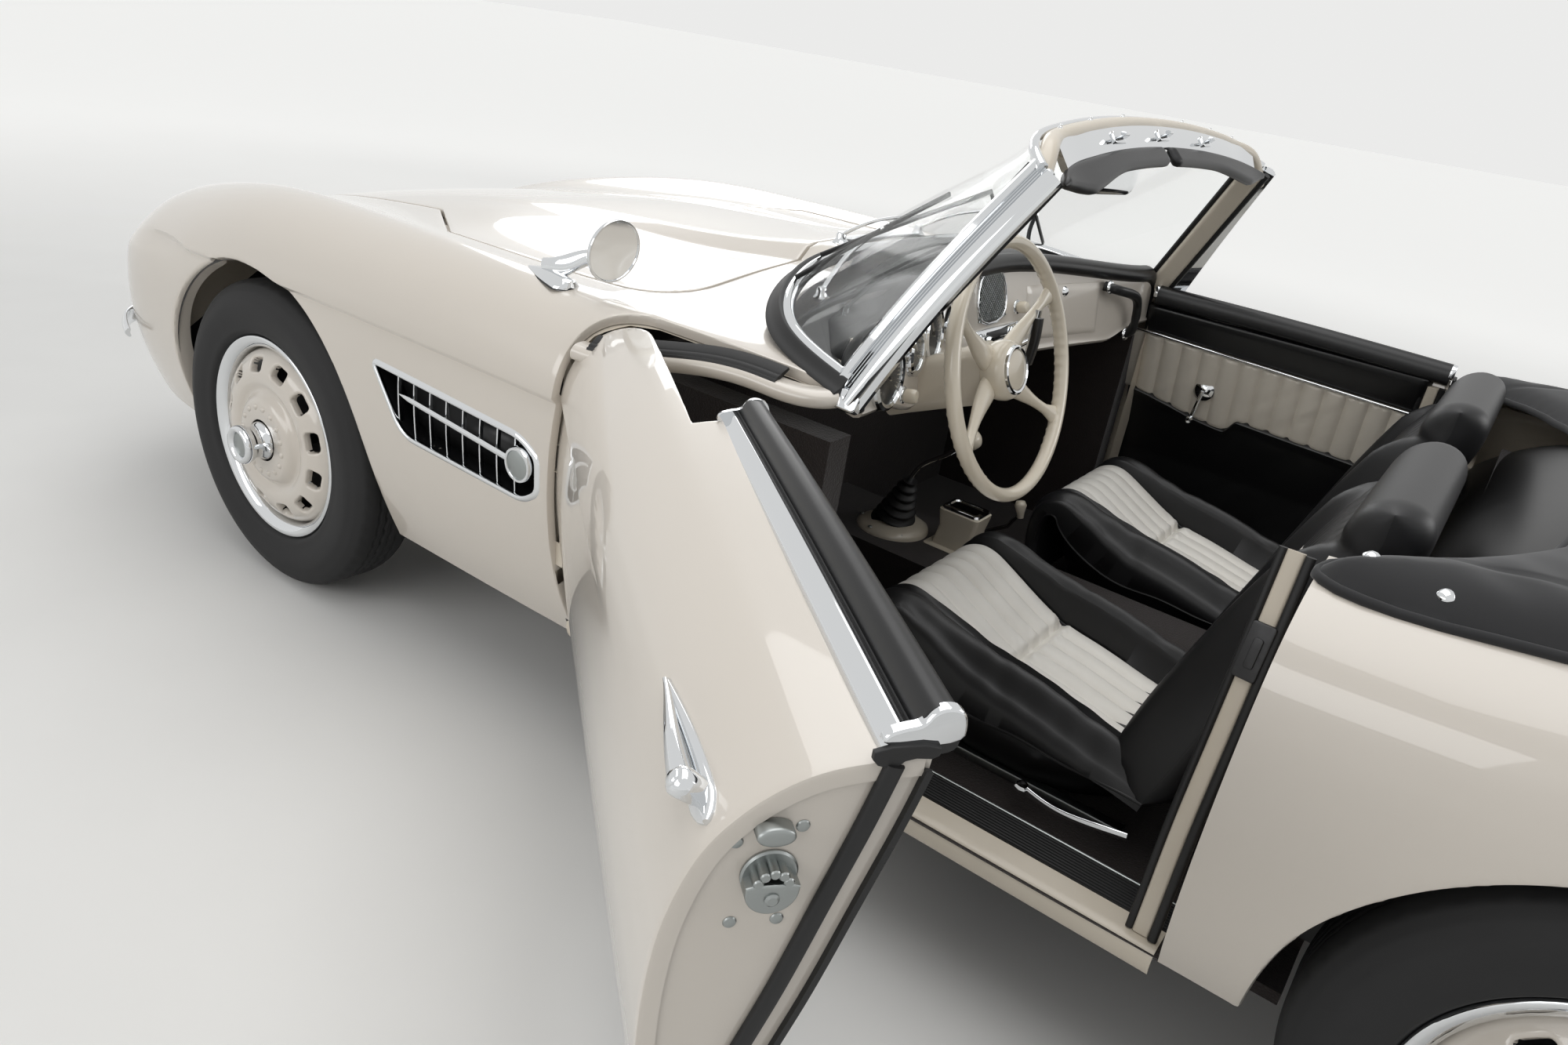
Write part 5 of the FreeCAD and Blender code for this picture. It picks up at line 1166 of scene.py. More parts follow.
def cushion_parts(centre_y, seed):
    """The padded top of one cushion. Returns points, faces and whether each face is on the insert."""
    line = curve(CUSHION_LINE, 150)
    spine, normal = wave_frame(line)
    bolster, deep = line[:, 2:3], line[:, 3:4]
    across = np.linspace(-INSERT, INSERT, CHANNELS * 12 + 1)[None, :]
    x = spine[:, :1]
    seam = np.exp(-((x - SEAT_SEAM_X) / 7.0) ** 2)
    puff = channel_rise(across, INSERT - 2, CHANNELS, 11.0) * (1 - 0.8 * seam) - 9 * seam
    pucker = 1.8 * smooth_noise(x * 9, across * 9, seed) * np.exp(-((x - SEAT_SEAM_X) / 30.0) ** 2)
    insert = np.stack([np.broadcast_to(across, puff.shape), puff + pucker], -1)
    steps = curve([(0, -2), (5, 0.45), (14, 0.85), (32, 1.04), (52, 0.9), (68, 0.4), (76, -0.35), (74, -1)],
                  22)
    side_out = INSERT + 1.5 + np.clip(steps[:, 0], 0, 76)
    share = steps[None, :, 1]
    rise = np.where(share > 0, share * (bolster + 10), -np.minimum(share, 0) * -(deep + 6))
    rise = np.where(steps[None, :, 0] < 1, -5.0, rise) + 1.6 * smooth_noise(x * 3, side_out[None, :] * 4,
                                                                            seed + 2)
    right = np.stack([np.broadcast_to(side_out, rise.shape), rise], -1)
    left = (right * np.array([-1, 1]))[:, ::-1]
    under = np.stack([np.broadcast_to(np.array([SEAT_HALF - 12, 90, -90, 12 - SEAT_HALF]), (len(line), 4)),
                      np.broadcast_to(-deep - 12, (len(line), 4))], -1)
    profile = np.concatenate([left, insert, right, under], 1)
    points = np.stack([spine[:, :1] + normal[:, :1] * profile[..., 1], centre_y + profile[..., 0],
                       spine[:, 1:] + normal[:, 1:] * profile[..., 1]], -1)
    count = profile.shape[1]
    faces = tube_faces(len(line), count)
    column = np.arange(len(faces) - 2) % count
    on_insert = (column >= left.shape[1]) & (column < left.shape[1] + insert.shape[1] - 1)
    return points.reshape(-1, 3), faces, np.append(on_insert, [False, False])


def two_tone(name, points, faces, on_insert, body="root"):
    """A padded piece in black leather with its insert in cream."""
    piece = place(name, points * MM, faces, black_leather, body, sharp=60.0)
    piece.data.materials.append(white_leather)
    piece.data.polygons.foreach_set("material_index", np.asarray(on_insert, int))
    mesh = bmesh.new()
    mesh.from_mesh(piece.data)
    bmesh.ops.recalc_face_normals(mesh, faces=mesh.faces)
    mesh.to_mesh(piece.data)
    mesh.free()
    return piece


def piping(points, radius=2.6):
    """A thin welt along a line."""
    return swept(points, ring(radius, 8), (0, 1, 0))


def seat_base(centre_y):
    """The black frame under a cushion: a skirt that narrows to the runners."""
    rings = []
    for z, half_y, x_front, x_rear in ((262, 150, -205, -600), (300, 182, -180, -622), (352, 204, -160, -640),
                                       (372, 204, -166, -640)):
        outline = rounded([(x_front, half_y), (x_rear, half_y), (x_rear, -half_y), (x_front, -half_y)], 2)
        drop = np.where(outline[:, 0] > -350, 0, -8) * (z > 340)
        rings.append(np.stack([outline[:, 0], centre_y + outline[:, 1], z + drop], -1))
    return np.concatenate(rings), tube_faces(len(rings), len(rings[0]))


def runner(centre_y, y):
    """A seat rail on two feet."""
    return swept([(-180, centre_y + y, 252), (-620, centre_y + y, 252)], slot(22, 16, 3))


# %% Seat backs
# The back's outline from the side: front face from its foot up, over the roll and down the rear: x, z
BACK_LOOP = np.array([
    (-590, 372), (-598, 420), (-618, 500), (-648, 590), (-684, 690), (-722, 778), (-748, 822), (-752, 852),
    (-768, 884), (-800, 900), (-836, 893), (-852, 862), (-846, 815), (-824, 740), (-790, 640), (-752, 540),
    (-716, 450), (-690, 372), (-650, 352), (-610, 356)], float)


def back_parts(centre_y):
    """A seat back: its side outline carried across, closing on its middle line at each side like a pillow."""
    loop = rounded(BACK_LOOP, 2)
    way = unit(np.roll(loop, -1, 0) - np.roll(loop, 1, 0))
    normal = np.stack([-way[:, 1], way[:, 0]], -1)
    middle_x = np.interp(loop[:, 1], [352, 540, 740, 852, 900], [-640, -692, -768, -800, -800])
    across = np.concatenate([-SEAT_HALF + 42 * (1 - np.cos(np.linspace(0, math.pi / 2, 12)))[:-1],
                             np.linspace(-170, 170, CHANNELS * 10 + 1),
                             SEAT_HALF - 42 * (1 - np.cos(np.linspace(math.pi / 2, 0, 12)))[1:]])
    edge = np.clip((abs(across) - 170) / 42, 0, 1)
    pull = np.sqrt(1 - edge ** 2)
    x = middle_x[:, None] + (loop[:, :1] - middle_x[:, None]) * pull[None, :]
    z = loop[:, 1:] * np.ones_like(pull)[None, :] - 10 * edge[None, :] ** 2 * eased(loop[:, 1:], 700, 900)
    front = ((normal[:, :1] * np.sign(normal[np.argmax(loop[:, 0]), 0]) > 0.3) & (loop[:, 1:] < 812)
             & (loop[:, 1:] > 380))
    pleats = channel_rise(np.clip(across, -INSERT, INSERT), INSERT - 2, CHANNELS,
                          8.0) * (abs(across) < INSERT) - 6
    wing = 30 * np.exp(-((abs(across) - 172) / 26) ** 2)
    seam = -5 * np.exp(-((loop[:, 1:] - 826) / 7) ** 2) * (loop[:, :1] > -800)
    lift = np.where(front, pleats[None, :] + wing[None, :] * (1 - eased(loop[:, 1:], 760, 850)), 0) + seam
    x, z = x + abs(normal[:, :1]) * lift, z + 0.3 * lift
    points = np.stack([x, np.broadcast_to(centre_y + across[None, :], x.shape), z], -1)
    faces = grid_faces(*x.shape, True, False)
    column, row = np.arange(len(faces)) % (x.shape[1] - 1), np.arange(len(faces)) // (x.shape[1] - 1)
    low_enough = loop[row, 1] < 700
    on_insert = front[row, 0] & low_enough & (abs(across[column] + 1) < INSERT - 0.5)
    return points.reshape(-1, 3), faces.tolist(), on_insert


cushions, backs = [], []
for side_name, side, _ in SIDES:
    centre_y = side * SEAT_Y
    cushions.append(two_tone("seat_cushion_" + side_name, *cushion_parts(centre_y, 1.0 + side)))
    backs.append(two_tone("seat_back_" + side_name, *back_parts(centre_y)))
    line = curve(CUSHION_LINE, 150)
    spine, normal = wave_frame(line)
    welts = []
    for y in (-1, 1):
        low = spine + normal * (-(line[:, 3:4] + 6))
        welts.append(piping(np.stack([low[:, 0], np.full(150, centre_y + y * (SEAT_HALF - 1)), low[:, 1]],
                                     -1)[18:]))
    solid("seat_piping_" + side_name, welts, black_vinyl)
    seams = []
    for y in (-1, 1):
        low = spine + normal * -2.5
        seams.append(piping(np.stack([low[:, 0], np.full(150, centre_y + y * (INSERT + 1)), low[:, 1]], -1),
                            2.2))
    solid("seat_seam_piping_" + side_name, seams, black_leather)
    solid("seat_base_" + side_name, [seat_base(centre_y)], black_vinyl)
    solid("seat_runners_" + side_name, [runner(centre_y, -150), runner(centre_y, 150)], steel)
    lever = curve([(-470, side * 566, 292), (-520, side * 572, 286), (-600, side * 572, 296),
                   (-640, side * 566, 300)], 24)
    knob = turned([(0, 11), (9, 9), (11, 2), (9, -6), (0, -8)], (-470, side * 566, 292), (0, side, 0), 20)
    solid("seat_lever_" + side_name, [swept(lever, slot(4, 14, 1.8)), knob], chrome)
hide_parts("seat_cushions")
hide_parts("seat_backs")
print("seat triangles", sum(len(o.data.polygons) for o in cushions + backs) * 2)

# %% [markdown]
# The doors' inner trim: a panel of cream leather sewn in upright pleats, over a black lower part with a waved
# edge, under a padded black shoulder. The whole panel lies on the door's inner face, which leans out at its
# foot, so every piece here is a height field over that face: a function of x along the door and z up it.

# %% Door inner trim
TRIM_FRONT, TRIM_REAR, PLEATS = -62.0, -712.0, 14


def door_face(z):
    """The y of the door's inner face at height z."""
    return np.interp(z, DOOR_INSIDE[:, 1], DOOR_INSIDE[:, 0])


def trim_top(x):
    """The upper edge of the pleats."""
    return 776 - 22 * (TRIM_FRONT - x) / (TRIM_FRONT - TRIM_REAR)


def trim_foot(x):
    """The waved lower edge of the pleats, with a step in the middle."""
    fall = 628 - 34 * (TRIM_FRONT - x) / (TRIM_FRONT - TRIM_REAR)
    return fall - 30 * eased(-x, 80, 330) + 34 * eased(-x, 338, 366)


def face_panel(x_span, low, high, lift, columns, rows, thick=5.0):
    """A closed panel on the door's inner face. lift is its height over the face, from x and z."""
    x = np.linspace(x_span[0], x_span[1], columns)[None, :]
    share = np.linspace(0, 1, rows)[:, None]
    z = low(x) * (1 - share) + high(x) * share
    x = np.broadcast_to(x, z.shape)
    edge = np.minimum(np.minimum(share, 1 - share) * (high(x) - low(x)),
                      np.minimum(abs(x - x_span[0]), abs(x - x_span[1])))
    round_off = np.sqrt(np.clip(1 - (1 - np.clip(edge / 5.0, 0, 1)) ** 2, 0, 1))
    front = np.stack([x, door_face(z) - thick - (lift(x, z) - 3) * round_off, z], -1)
    back = np.stack([x, door_face(z) + 1.0, z], -1)
    return slab(front, back)


def pleat_lift(x, z):
    """Pleats: a row of soft humps along x, pinched where they are sewn."""
    share = (TRIM_FRONT - x) / (TRIM_FRONT - TRIM_REAR) * PLEATS
    middle = abs(2 * (share - np.floor(share)) - 1)
    return 3 + 8 * (1 - middle ** 2.6) + 0.6 * smooth_noise(x * 3, z * 4, 5.0)


def lever_at(side, x, z, length, down, handle_y):
    """A round escutcheon with an arm and a knob."""
    y = door_face(z) - 12
    plate = turned([(0, 9), (9, 8), (22, 2), (24, 0), (24, -3)], (x, side * y, z), (0, -side, 0), 36)
    far = (x + length[0], side * (y - handle_y), z + length[1])
    between = ((x + far[0]) / 2, side * (y - handle_y * 0.8), (z + far[2]) / 2)
    arm = swept(curve([(x, side * (y - 10), z), between, far], 12),
                slot(9, 5, 2.2), (0, side, 0))
    knob = turned([(0, 16), (6, 15), (9, 8), (6, 1), (5, -2), (0, -2)], far, (0, -side, 0),
                  24) if down else None
    return [plate, arm] + ([knob] if knob else [])


for side_name, side, opened in SIDES:
    body_name = "door_" + side_name
    pleats = face_panel((TRIM_FRONT, TRIM_REAR), trim_foot, trim_top, pleat_lift, PLEATS * 14 + 1, 26)
    panel_piece = on_side("door_pleats", side_name, [pleats], cream_leather, body_name, 60, opened)
    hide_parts("door_trim_" + side_name)
    lower = face_panel((PILLAR + 12, TRIM_REAR - 6), lambda x: 300 + 0 * x, lambda x: trim_foot(x) + 9,
                       lambda x, z: 7 + 5 * np.exp(-((z - trim_foot(x)) / 9) ** 2)
                       + 0.8 * smooth_noise(x * 2, z * 2, 8.0), 120, 40, 7.0)
    on_side("door_lower_panel", side_name, [lower], black_vinyl, body_name, 60, opened)
    shoulder = face_panel((PILLAR + 2, TRIM_REAR - 6), lambda x: trim_top(x) + 5, lambda x: 842 + 0 * x,
                          lambda x, z: 4 + 14 * np.sin(np.clip((z - trim_top(x)) / 75, 0, 1) * math.pi / 2),
                          60, 24, 5.0)
    shoulder_piece = on_side("door_shoulder", side_name, [shoulder], black_vinyl, body_name, 60, opened)
    x = np.linspace(TRIM_FRONT + 20, TRIM_REAR - 4, 30)
    strip = np.stack([x, door_face(trim_top(x)) - 12, trim_top(x) + 2], -1)
    on_side("door_trim_strip", side_name, [swept(strip, slot(5, 6, 2))], chrome, body_name, 40, opened)
    crank = lever_at(side, -274, 672, (6, -70), True, 20)
    release = lever_at(side, -40 if side < 0 else -150, 652 if side < 0 else 700, (62, 12), False, 10)
    solid("door_levers_" + side_name, crank + (release if side < 0 else []), chrome, body_name, 40, opened)

# %% [markdown]
# The gear lever stands in a round domed flange on the tunnel. Its rubber boot is a concertina: a turned
# profile that zigzags as it narrows, carried along a slanted line. Beside it sits a cream ashtray with a
# chrome lid.

# %% Gear lever, ashtray and small controls
def leaning(profile, foot, head, count=40):
    """A turned profile whose axis runs from foot to head. Profile heights are shares of that distance."""
    foot, head = np.asarray(foot, float), np.asarray(head, float)
    length = np.linalg.norm(head - foot)
    shape = np.asarray(profile, float) * np.array([1, length])
    return turned(shape, foot, (head - foot) / length, count)


BOOT_FOOT, BOOT_HEAD, KNOB_AT = (126, 4, 358), (98, 20, 471), (-30, 50, 612)
flange = turned([(0, 18), (46, 16), (66, 11), (78, 4), (81, -2), (81, -16), (0, -16)], (128, 2, 348),
                (0.08, 0, 1), 64)
bolts = [screw((128 + 71 * math.cos(a), 2 + 71 * math.sin(a), 357), (0, 0, 1), 5)
         for a in np.linspace(0.3, 0.3 + 2 * math.pi, 7)[:-1]]
gear_flange = solid("gear_flange", [flange], cream_plastic, sharp=45)
solid("gear_flange_screws", bolts, steel)
folds = 6
share = np.linspace(0, 1, folds * 8 + 1)
radius = 44 - 30 * share + (6.5 - 3.5 * share) * np.cos(share * folds * 2 * math.pi)
boot = leaning(np.stack([np.append(radius, 0), np.append(share, 1.0)], -1), BOOT_FOOT, BOOT_HEAD, 48)
solid("gear_boot", [boot], black_rubber, sharp=70)
lever_line = curve([BOOT_FOOT, BOOT_HEAD, (82, 26, 505), (20, 40, 560), KNOB_AT], 40)
solid("gear_rod", [swept(lever_line, ring(5.0, 14))], chrome)
knob_shape = [(0, -0.6), (9, -0.55), (15, -0.25), (20, 0.25), (21.5, 0.6), (19, 0.95), (11, 1.16), (0, 1.22)]
knob = leaning(knob_shape, (-18, 47, 603), (-42, 53, 621), 40)
solid("gear_knob", [knob], cream_plastic, sharp=60)
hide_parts("gear_lever")


def flared_box(centre, sizes, heights, turn=0.0):
    """A box whose rounded rectangular section changes with height."""
    c, s = math.cos(turn), math.sin(turn)
    rings = []
    for (length, width), z in zip(sizes, heights):
        outline = slot(length, width, 9, 6) @ np.array([[c, s], [-s, c]])
        rings.append(np.concatenate([outline + centre, np.full((len(outline), 1), z)], 1))
    return np.concatenate(rings), tube_faces(len(rings), len(rings[0]))


ash_box = flared_box((-22, -30), ((128, 96), (126, 94), (96, 74), (82, 66), (94, 72), (94, 72)),
                     (338, 346, 350, 392, 424, 430))
solid("ashtray_box", [ash_box, turned([(0, 14), (9, 12), (12, 4), (7, -6), (0, -8)], (-72, 14, 352),
                                      (-1, 0, 0.3), 24)], cream_plastic, sharp=40)
ash_lid = flared_box((-22, -30), ((86, 64), (88, 66), (84, 62), (70, 48), (66, 44)),
                     (429, 434, 438, 439, 436))
solid("ashtray_lid", [ash_lid], chrome, sharp=40)
pull = turned([(0, 20), (10, 18), (14, 8), (9, -10), (7, -22), (0, -22)], (-60, -245, 392), (0.25, 0, 1), 28)
solid("brake_knob", [pull], cream_plastic, sharp=60)
solid("brake_rod", [swept([(-56, -245, 372), (-40, -244, 340), (20, -240, 300)], ring(5, 12), (0, 1, 0))],
      chrome)
slide = [swept([(-150, y, 318), (-330, y, 300)], slot(14, 5, 2)) for y in (118, -118)]
solid("seat_release_rods", slide, chrome)

# %% [markdown]
# The dash is one pressing that bows forward in the middle. Its face is a grid over y and z, with a rolled
# lower edge and a black padded roll along the top that turns down at both ends. Dials, a speaker grille, a
# radio and a glovebox lid sit on it. Each finds its place on the face through one function, so that it lies
# flush.

# %% Dash
DASH_HALF, DASH_FOOT = 634.0, 772.0


def dash_middle(y):
    """1 in the middle of the dash and 0 at its ends, as a smooth hump."""
    return np.clip(1 - (np.asarray(y, float) / 640) ** 2, 0, 1) ** 2


def dash_top(y):
    """Height of the face's upper edge."""
    return 903 + 38 * dash_middle(y)


def dash_face(y, z):
    """A point on the dash's face."""
    y, z = np.broadcast_arrays(np.asarray(y, float), np.asarray(z, float))
    middle = dash_middle(y)
    return np.stack([-98 + 98 * middle + (0.1 + 0.14 * middle) * (z - 850), y, z], -1)


def dash_normal(y, z):
    """The face's normal, towards the seats."""
    across = dash_face(y + 4, z) - dash_face(y - 4, z)
    lift = dash_face(y, z + 4) - dash_face(y, z - 4)
    return unit(np.cross(across, lift)) * -1


y = np.linspace(-DASH_HALF, DASH_HALF, 90)
rise = np.linspace(0, 1, 20)
low = DASH_FOOT + 30 * eased(abs(y), 430, 560)
rows = [dash_face(y, low - 4) + np.array([46, 0, 2]), dash_face(y, low - 5) + np.array([12, 0, -4]),
        dash_face(y, low - 4) + np.array([2, 0, -2]), dash_face(y, low) + np.array([-3, 0, 1])]
rows += [dash_face(y, low + 6 + (dash_top(y) - low - 6) * k) for k in rise]
rows += [rows[-1] + np.array([30, 0, 4]), rows[0] + np.array([0, 0, 20])]
dash_grid = np.array(rows)
faces = grid_faces(len(rows), len(y), True, False).tolist()
faces += [[k * len(y) for k in range(len(rows))], [k * len(y) + len(y) - 1 for k in range(len(rows))]]
dash_piece = solid("dash_face", [(dash_grid.reshape(-1, 3), faces)], enamel, sharp=50)
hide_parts("dashboard")

line_y = np.linspace(-DASH_HALF + 6, DASH_HALF - 6, 70)
roll_line = dash_face(line_y, dash_top(line_y) + 6) + np.array([8, 0, 0])
ends = [np.array([(-86, s * 636, 806), (-84, s * 640, 845), (-80, s * 636, 882)]) for s in (-1, 1)]
roll_line = curve(np.concatenate([ends[0], roll_line[2:-2], ends[1][::-1]]), 150)
roll = solid("dash_roll", [swept(roll_line, ring(19, 20, 21), (1, 0, 0.2))], black_vinyl, sharp=70)
well = np.array([(150, 0), (150, 60), (128, 280), (60, 500), (-30, 612), (-98, 628)], float)
rim_y = np.linspace(-626, 626, 81)
rim_x = np.interp(abs(rim_y), well[:, 1], well[:, 0])
rim = np.array([on_skin(max(x, -95.0), y=abs(v))[0] for x, v in zip(rim_x, rim_y)])
rim = np.stack([rim_x + 14, rim_y, rim[:, 2] - 2], -1)
near = dash_face(rim_y, dash_top(rim_y)) + np.array([6, 0, 10])
share = np.linspace(0, 1, 12)[:, None, None]
pad = near[None] * (1 - share) + rim[None] * share
pad[..., 2] += 10 * np.sin(share[..., 0] * math.pi)
dash_pad = solid("dash_top_pad", [slab(pad, pad - np.array([0, 0, 14]))], black_vinyl, sharp=60)


def on_dash(outline, y, z, thickness, edge=1.5, lift=0.0, dome=0.0):
    """A plate pressed onto the dash's face."""
    at, normal = dash_face(y, z), dash_normal(y, z)
    return pressed(outline, thickness, at + normal * lift, normal, edge=edge, dome=dome)


def dial(y, z, radius):
    """A round instrument: its chrome bezel, black face, strokes and needle, and its glass."""
    at, normal = dash_face(y, z), dash_normal(y, z)
    bezel = turned([(radius - 7, 3), (radius - 5, 9), (radius, 11), (radius + 5, 8), (radius + 7, 0),
                    (radius + 7, -4)], at, normal, 56)
    face = turned([(0, 4), (radius - 4, 4), (radius - 4, 0)], at, normal, 48)
    across, up, normal = axes_of(normal)
    marks = []
    for k in range(25):
        angle = math.radians(-35 + 250 * k / 24)
        spoke = across * math.cos(angle) + up * math.sin(angle)
        size = (1.6, 8.0) if k % 3 == 0 else (1.0, 5.0)
        marks.append(pressed(slot(size[0], size[1], 0.4, 2), 0.6, at + spoke * (radius - 12) + normal * 4,
                             normal, spoke, 0.2))
    pointer = np.array([(-1.6, -8), (1.6, -8), (0.6, radius - 16), (-0.6, radius - 16)])
    aim = across * math.cos(2.2) + up * math.sin(2.2)
    marks.append(pressed(pointer, 0.7, at + normal * 5.6, normal, aim, 0.2))
    cap = turned([(0, 9), (3, 9), (4, 7.5), (4, 4)], at, normal, 20)
    glass = turned([(0, 9.6), (radius * 0.5, 9.2), (radius - 5, 8), (radius - 5, 7.6), (0, 9.0)], at, normal,
                   40)
    return bezel, face, marks, cap, glass


bezels, dial_faces, dial_marks, dial_glasses = [], [], [], []
for y_at, z_at, radius in ((560, 846, 47), (444, 862, 34), (352, 876, 47), (236, 868, 30)):
    bezel, face, marks, cap, glass = dial(y_at, z_at, radius)
    bezels.append(bezel)
    dial_faces += [face, cap]
    dial_marks += marks
    dial_glasses.append(glass)
solid("dial_bezels", bezels, chrome, sharp=30)
solid("dial_faces", dial_faces, black_enamel)
solid("dial_marks", dial_marks, cream_plastic)
solid("dial_glass", dial_glasses, lens_glass)

# Speaker: a chrome frame, narrower at its top, round a woven dark grille of slanted bars in two layers
frame_in = rounded([(-64, -46), (64, -46), (48, 47), (-48, 47)], 2)
frame_out = frame_in * 1.12
at, normal = dash_face(22.0, 893.0), dash_normal(22.0, 893.0)
across, up, normal = axes_of(normal)
loop = at + frame_out[:, :1] * across + frame_out[:, 1:] * up + normal * 3
solid("speaker_frame", [swept(loop, ring(3.2, 10), normal, True)], chrome, sharp=60)
solid("speaker_back", [pressed(frame_in * 1.04, 2.0, at, normal, up, 0.5)], black_enamel)
bars = []
for layer, slope in ((0, 1), (1.2, -1)):
    for k in np.arange(-150, 151, 8.0):
        start, end = np.array([k - slope * 50, -50.0]), np.array([k + slope * 50, 50.0])
        line = start + (end - start) * np.linspace(0, 1, 60)[:, None]
        half = 62 - 16 * (line[:, 1] + 46) / 93
        inside = (abs(line[:, 0]) < half) & (abs(line[:, 1]) < 46)
        line = line[inside]
        if len(line) > 3:
            line = line[[0, -1]]
            bars.append(swept(at + line[:, :1] * across + line[:, 1:] * up + normal * (3.0 + layer),
                              ring(1.5, 6), normal))
solid("speaker_weave", bars, steel, sharp=60)

# Radio under it, with two knobs, a dial glass and push buttons, all bare
radio_normal = dash_normal(10.0, 815.0)
radio = [on_dash(slot(178, 40, 6), 10, 815, 9, 2.5)]
radio += [turned([(0, 22), (9, 22), (11, 19), (12, 4), (15, 2), (15, 0)],
                 dash_face(10 + s * 70, 815) + radio_normal * 8, radio_normal, 32) for s in (-1, 1)]
radio += [on_dash(slot(15, 9, 1.5), 10 + k * 18, 803, 6, 1.5, 9) for k in range(-2, 3)]
solid("radio", radio, chrome)
solid("radio_scale", [on_dash(slot(92, 13, 2), 10, 822, 1.4, 0.5, 9)], black_enamel)
KNOBS = ((150.0, 800.0), (196.0, 806.0), (-92.0, 862.0), (-92.0, 820.0), (480.0, 800.0), (270.0, 812.0))
for label, profile, material in (
        ("dash_knobs", [(0, 24), (10, 23), (12, 18), (12, 6), (9, 3), (6, 0)], cream_plastic),
        ("dash_knob_rings", [(7, 3), (13, 2.5), (15, 0), (15, -2)], chrome)):
    knobs = [turned(profile, dash_face(y, z), dash_normal(y, z), 28) for y, z in KNOBS]
    solid(label, knobs, material, sharp=50)

# Glovebox lid: a plate that follows the dash's bow, with a chrome lock
lid_y, lid_z = np.meshgrid(np.linspace(-392, -128, 34), np.linspace(792, 900, 14))
lid = dash_face(lid_y, lid_z)
edge = np.minimum(np.minimum(lid_y + 392, -128 - lid_y), np.minimum(lid_z - 792, 900 - lid_z))
lid[..., 0] -= 0.5 + 4.5 * np.sqrt(np.clip(1 - (1 - np.clip(edge / 8, 0, 1)) ** 2, 0, 1))
lid_back = dash_face(lid_y, lid_z) + np.array([2, 0, 0])
solid("glovebox_lid", [slab(lid, lid_back)], enamel, sharp=50)
solid("glovebox_lock", [turned([(0, 9), (8, 8), (11, 4), (11, 0)], dash_face(-262, 884),
                               dash_normal(-262.0, 884.0), 28)], chrome)
grab = curve([(-60, -404, 892), (-86, -408, 890), (-104, -440, 884), (-112, -488, 866), (-112, -510, 838),
              (-112, -516, 806), (-106, -518, 786), (-84, -518, 780)], 60)
solid("grab_handle", [swept(grab, slot(17, 21, 7))], black_vinyl, sharp=60)
feet = [turned([(0, 3), (13, 3), (15, 0), (15, -3)], (-74, -404, 892), (-1, 0, 0.2), 28),
        turned([(0, 3), (13, 3), (15, 0), (15, -3)], (-98, -518, 780), (-1, 0, 0.2), 28)]
solid("grab_handle_feet", feet, chrome)

# %% [markdown]
# The steering wheel turns about the column's axis, which the frame gives. Its rim is a torus with shallow
# finger ridges on the rear, which is one more term in the radius. Four moulded spokes widen towards the hub,
# and the pad has a chrome ring and a bare face.

# %% Steering wheel and column
WHEEL_AT, RIM = JOINT_AT["steering_column_turn"] / MM, 204.0
LEAN = math.radians(17.3)
TOWARDS = np.array([-math.cos(LEAN), 0, math.sin(LEAN)])
SPOKE_ANGLES = [math.radians(a) for a in (33, 147, 212, 328)]
side_way, up_way, _ = axes_of(TOWARDS)


def wheel_point(radius, angle, height):
    """A point on the wheel by radius, angle and height over its plane."""
    radius, angle, height = (np.asarray(v, float)[..., None] for v in (radius, angle, height))
    return WHEEL_AT + radius * (np.cos(angle) * side_way + np.sin(angle) * up_way) + height * TOWARDS


RIM_STEPS, TUBE_STEPS = 288, 20
round_rim = np.linspace(0, 2 * math.pi, RIM_STEPS, endpoint=False)[:, None]
round_tube = np.linspace(0, 2 * math.pi, TUBE_STEPS, endpoint=False)[None, :]
grip = 1.1 * np.clip(np.cos(round_rim * 72), 0, 1) * (np.cos(round_tube - math.pi * 1.25) > 0.1)
grip_zone = np.minimum.reduce([abs(np.angle(np.exp(1j * (round_rim - a)))) for a in (0, math.pi)])
tube = 12.5 + grip * (grip_zone < 0.95) - 0.8 * (1 + np.cos(round_tube * 2)) / 2
rim = wheel_point(RIM + tube * np.cos(round_tube), np.broadcast_to(round_rim, tube.shape),
                  tube * np.sin(round_tube))
spokes = []
for angle in SPOKE_ANGLES:
    reach = np.linspace(40, RIM - 4, 16)
    path = wheel_point(reach, np.full(16, angle), -26 + 24 * ((reach - 40) / (RIM - 44)) ** 1.6)
    half = 22 - 13 * eased(reach, 40, 150) + 9 * eased(reach, 165, RIM - 4)
    deep = 13 - 5.5 * eased(reach, 40, 160)
    profile = np.stack([ring(1, 18) * np.array([h, d]) for h, d in zip(half, deep)])
    spokes.append(swept(path, profile, TOWARDS))
hub = turned([(0, -44), (40, -44), (46, -34), (50, -20), (50, -8), (46, 2), (41, 6), (0, 6)], WHEEL_AT,
             TOWARDS, 56)
wheel_piece = solid("steering_wheel_rim", [(rim.reshape(-1, 3),
                                            grid_faces(RIM_STEPS, TUBE_STEPS, True, True).tolist())] + spokes
                    + [hub], cream_plastic, "steering_wheel", sharp=60)
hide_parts("steering_wheel")
solid("steering_wheel_ring", [turned([(33, 5), (34, 10), (37, 11.5), (40, 10), (41, 5)], WHEEL_AT, TOWARDS,
                                     56)], chrome, "steering_wheel")
solid("steering_wheel_pad", [turned([(0, 12), (20, 11.4), (32, 9), (33, 5), (0, 5)], WHEEL_AT, TOWARDS, 56)],
      cream_plastic, "steering_wheel", sharp=60)
shroud = []
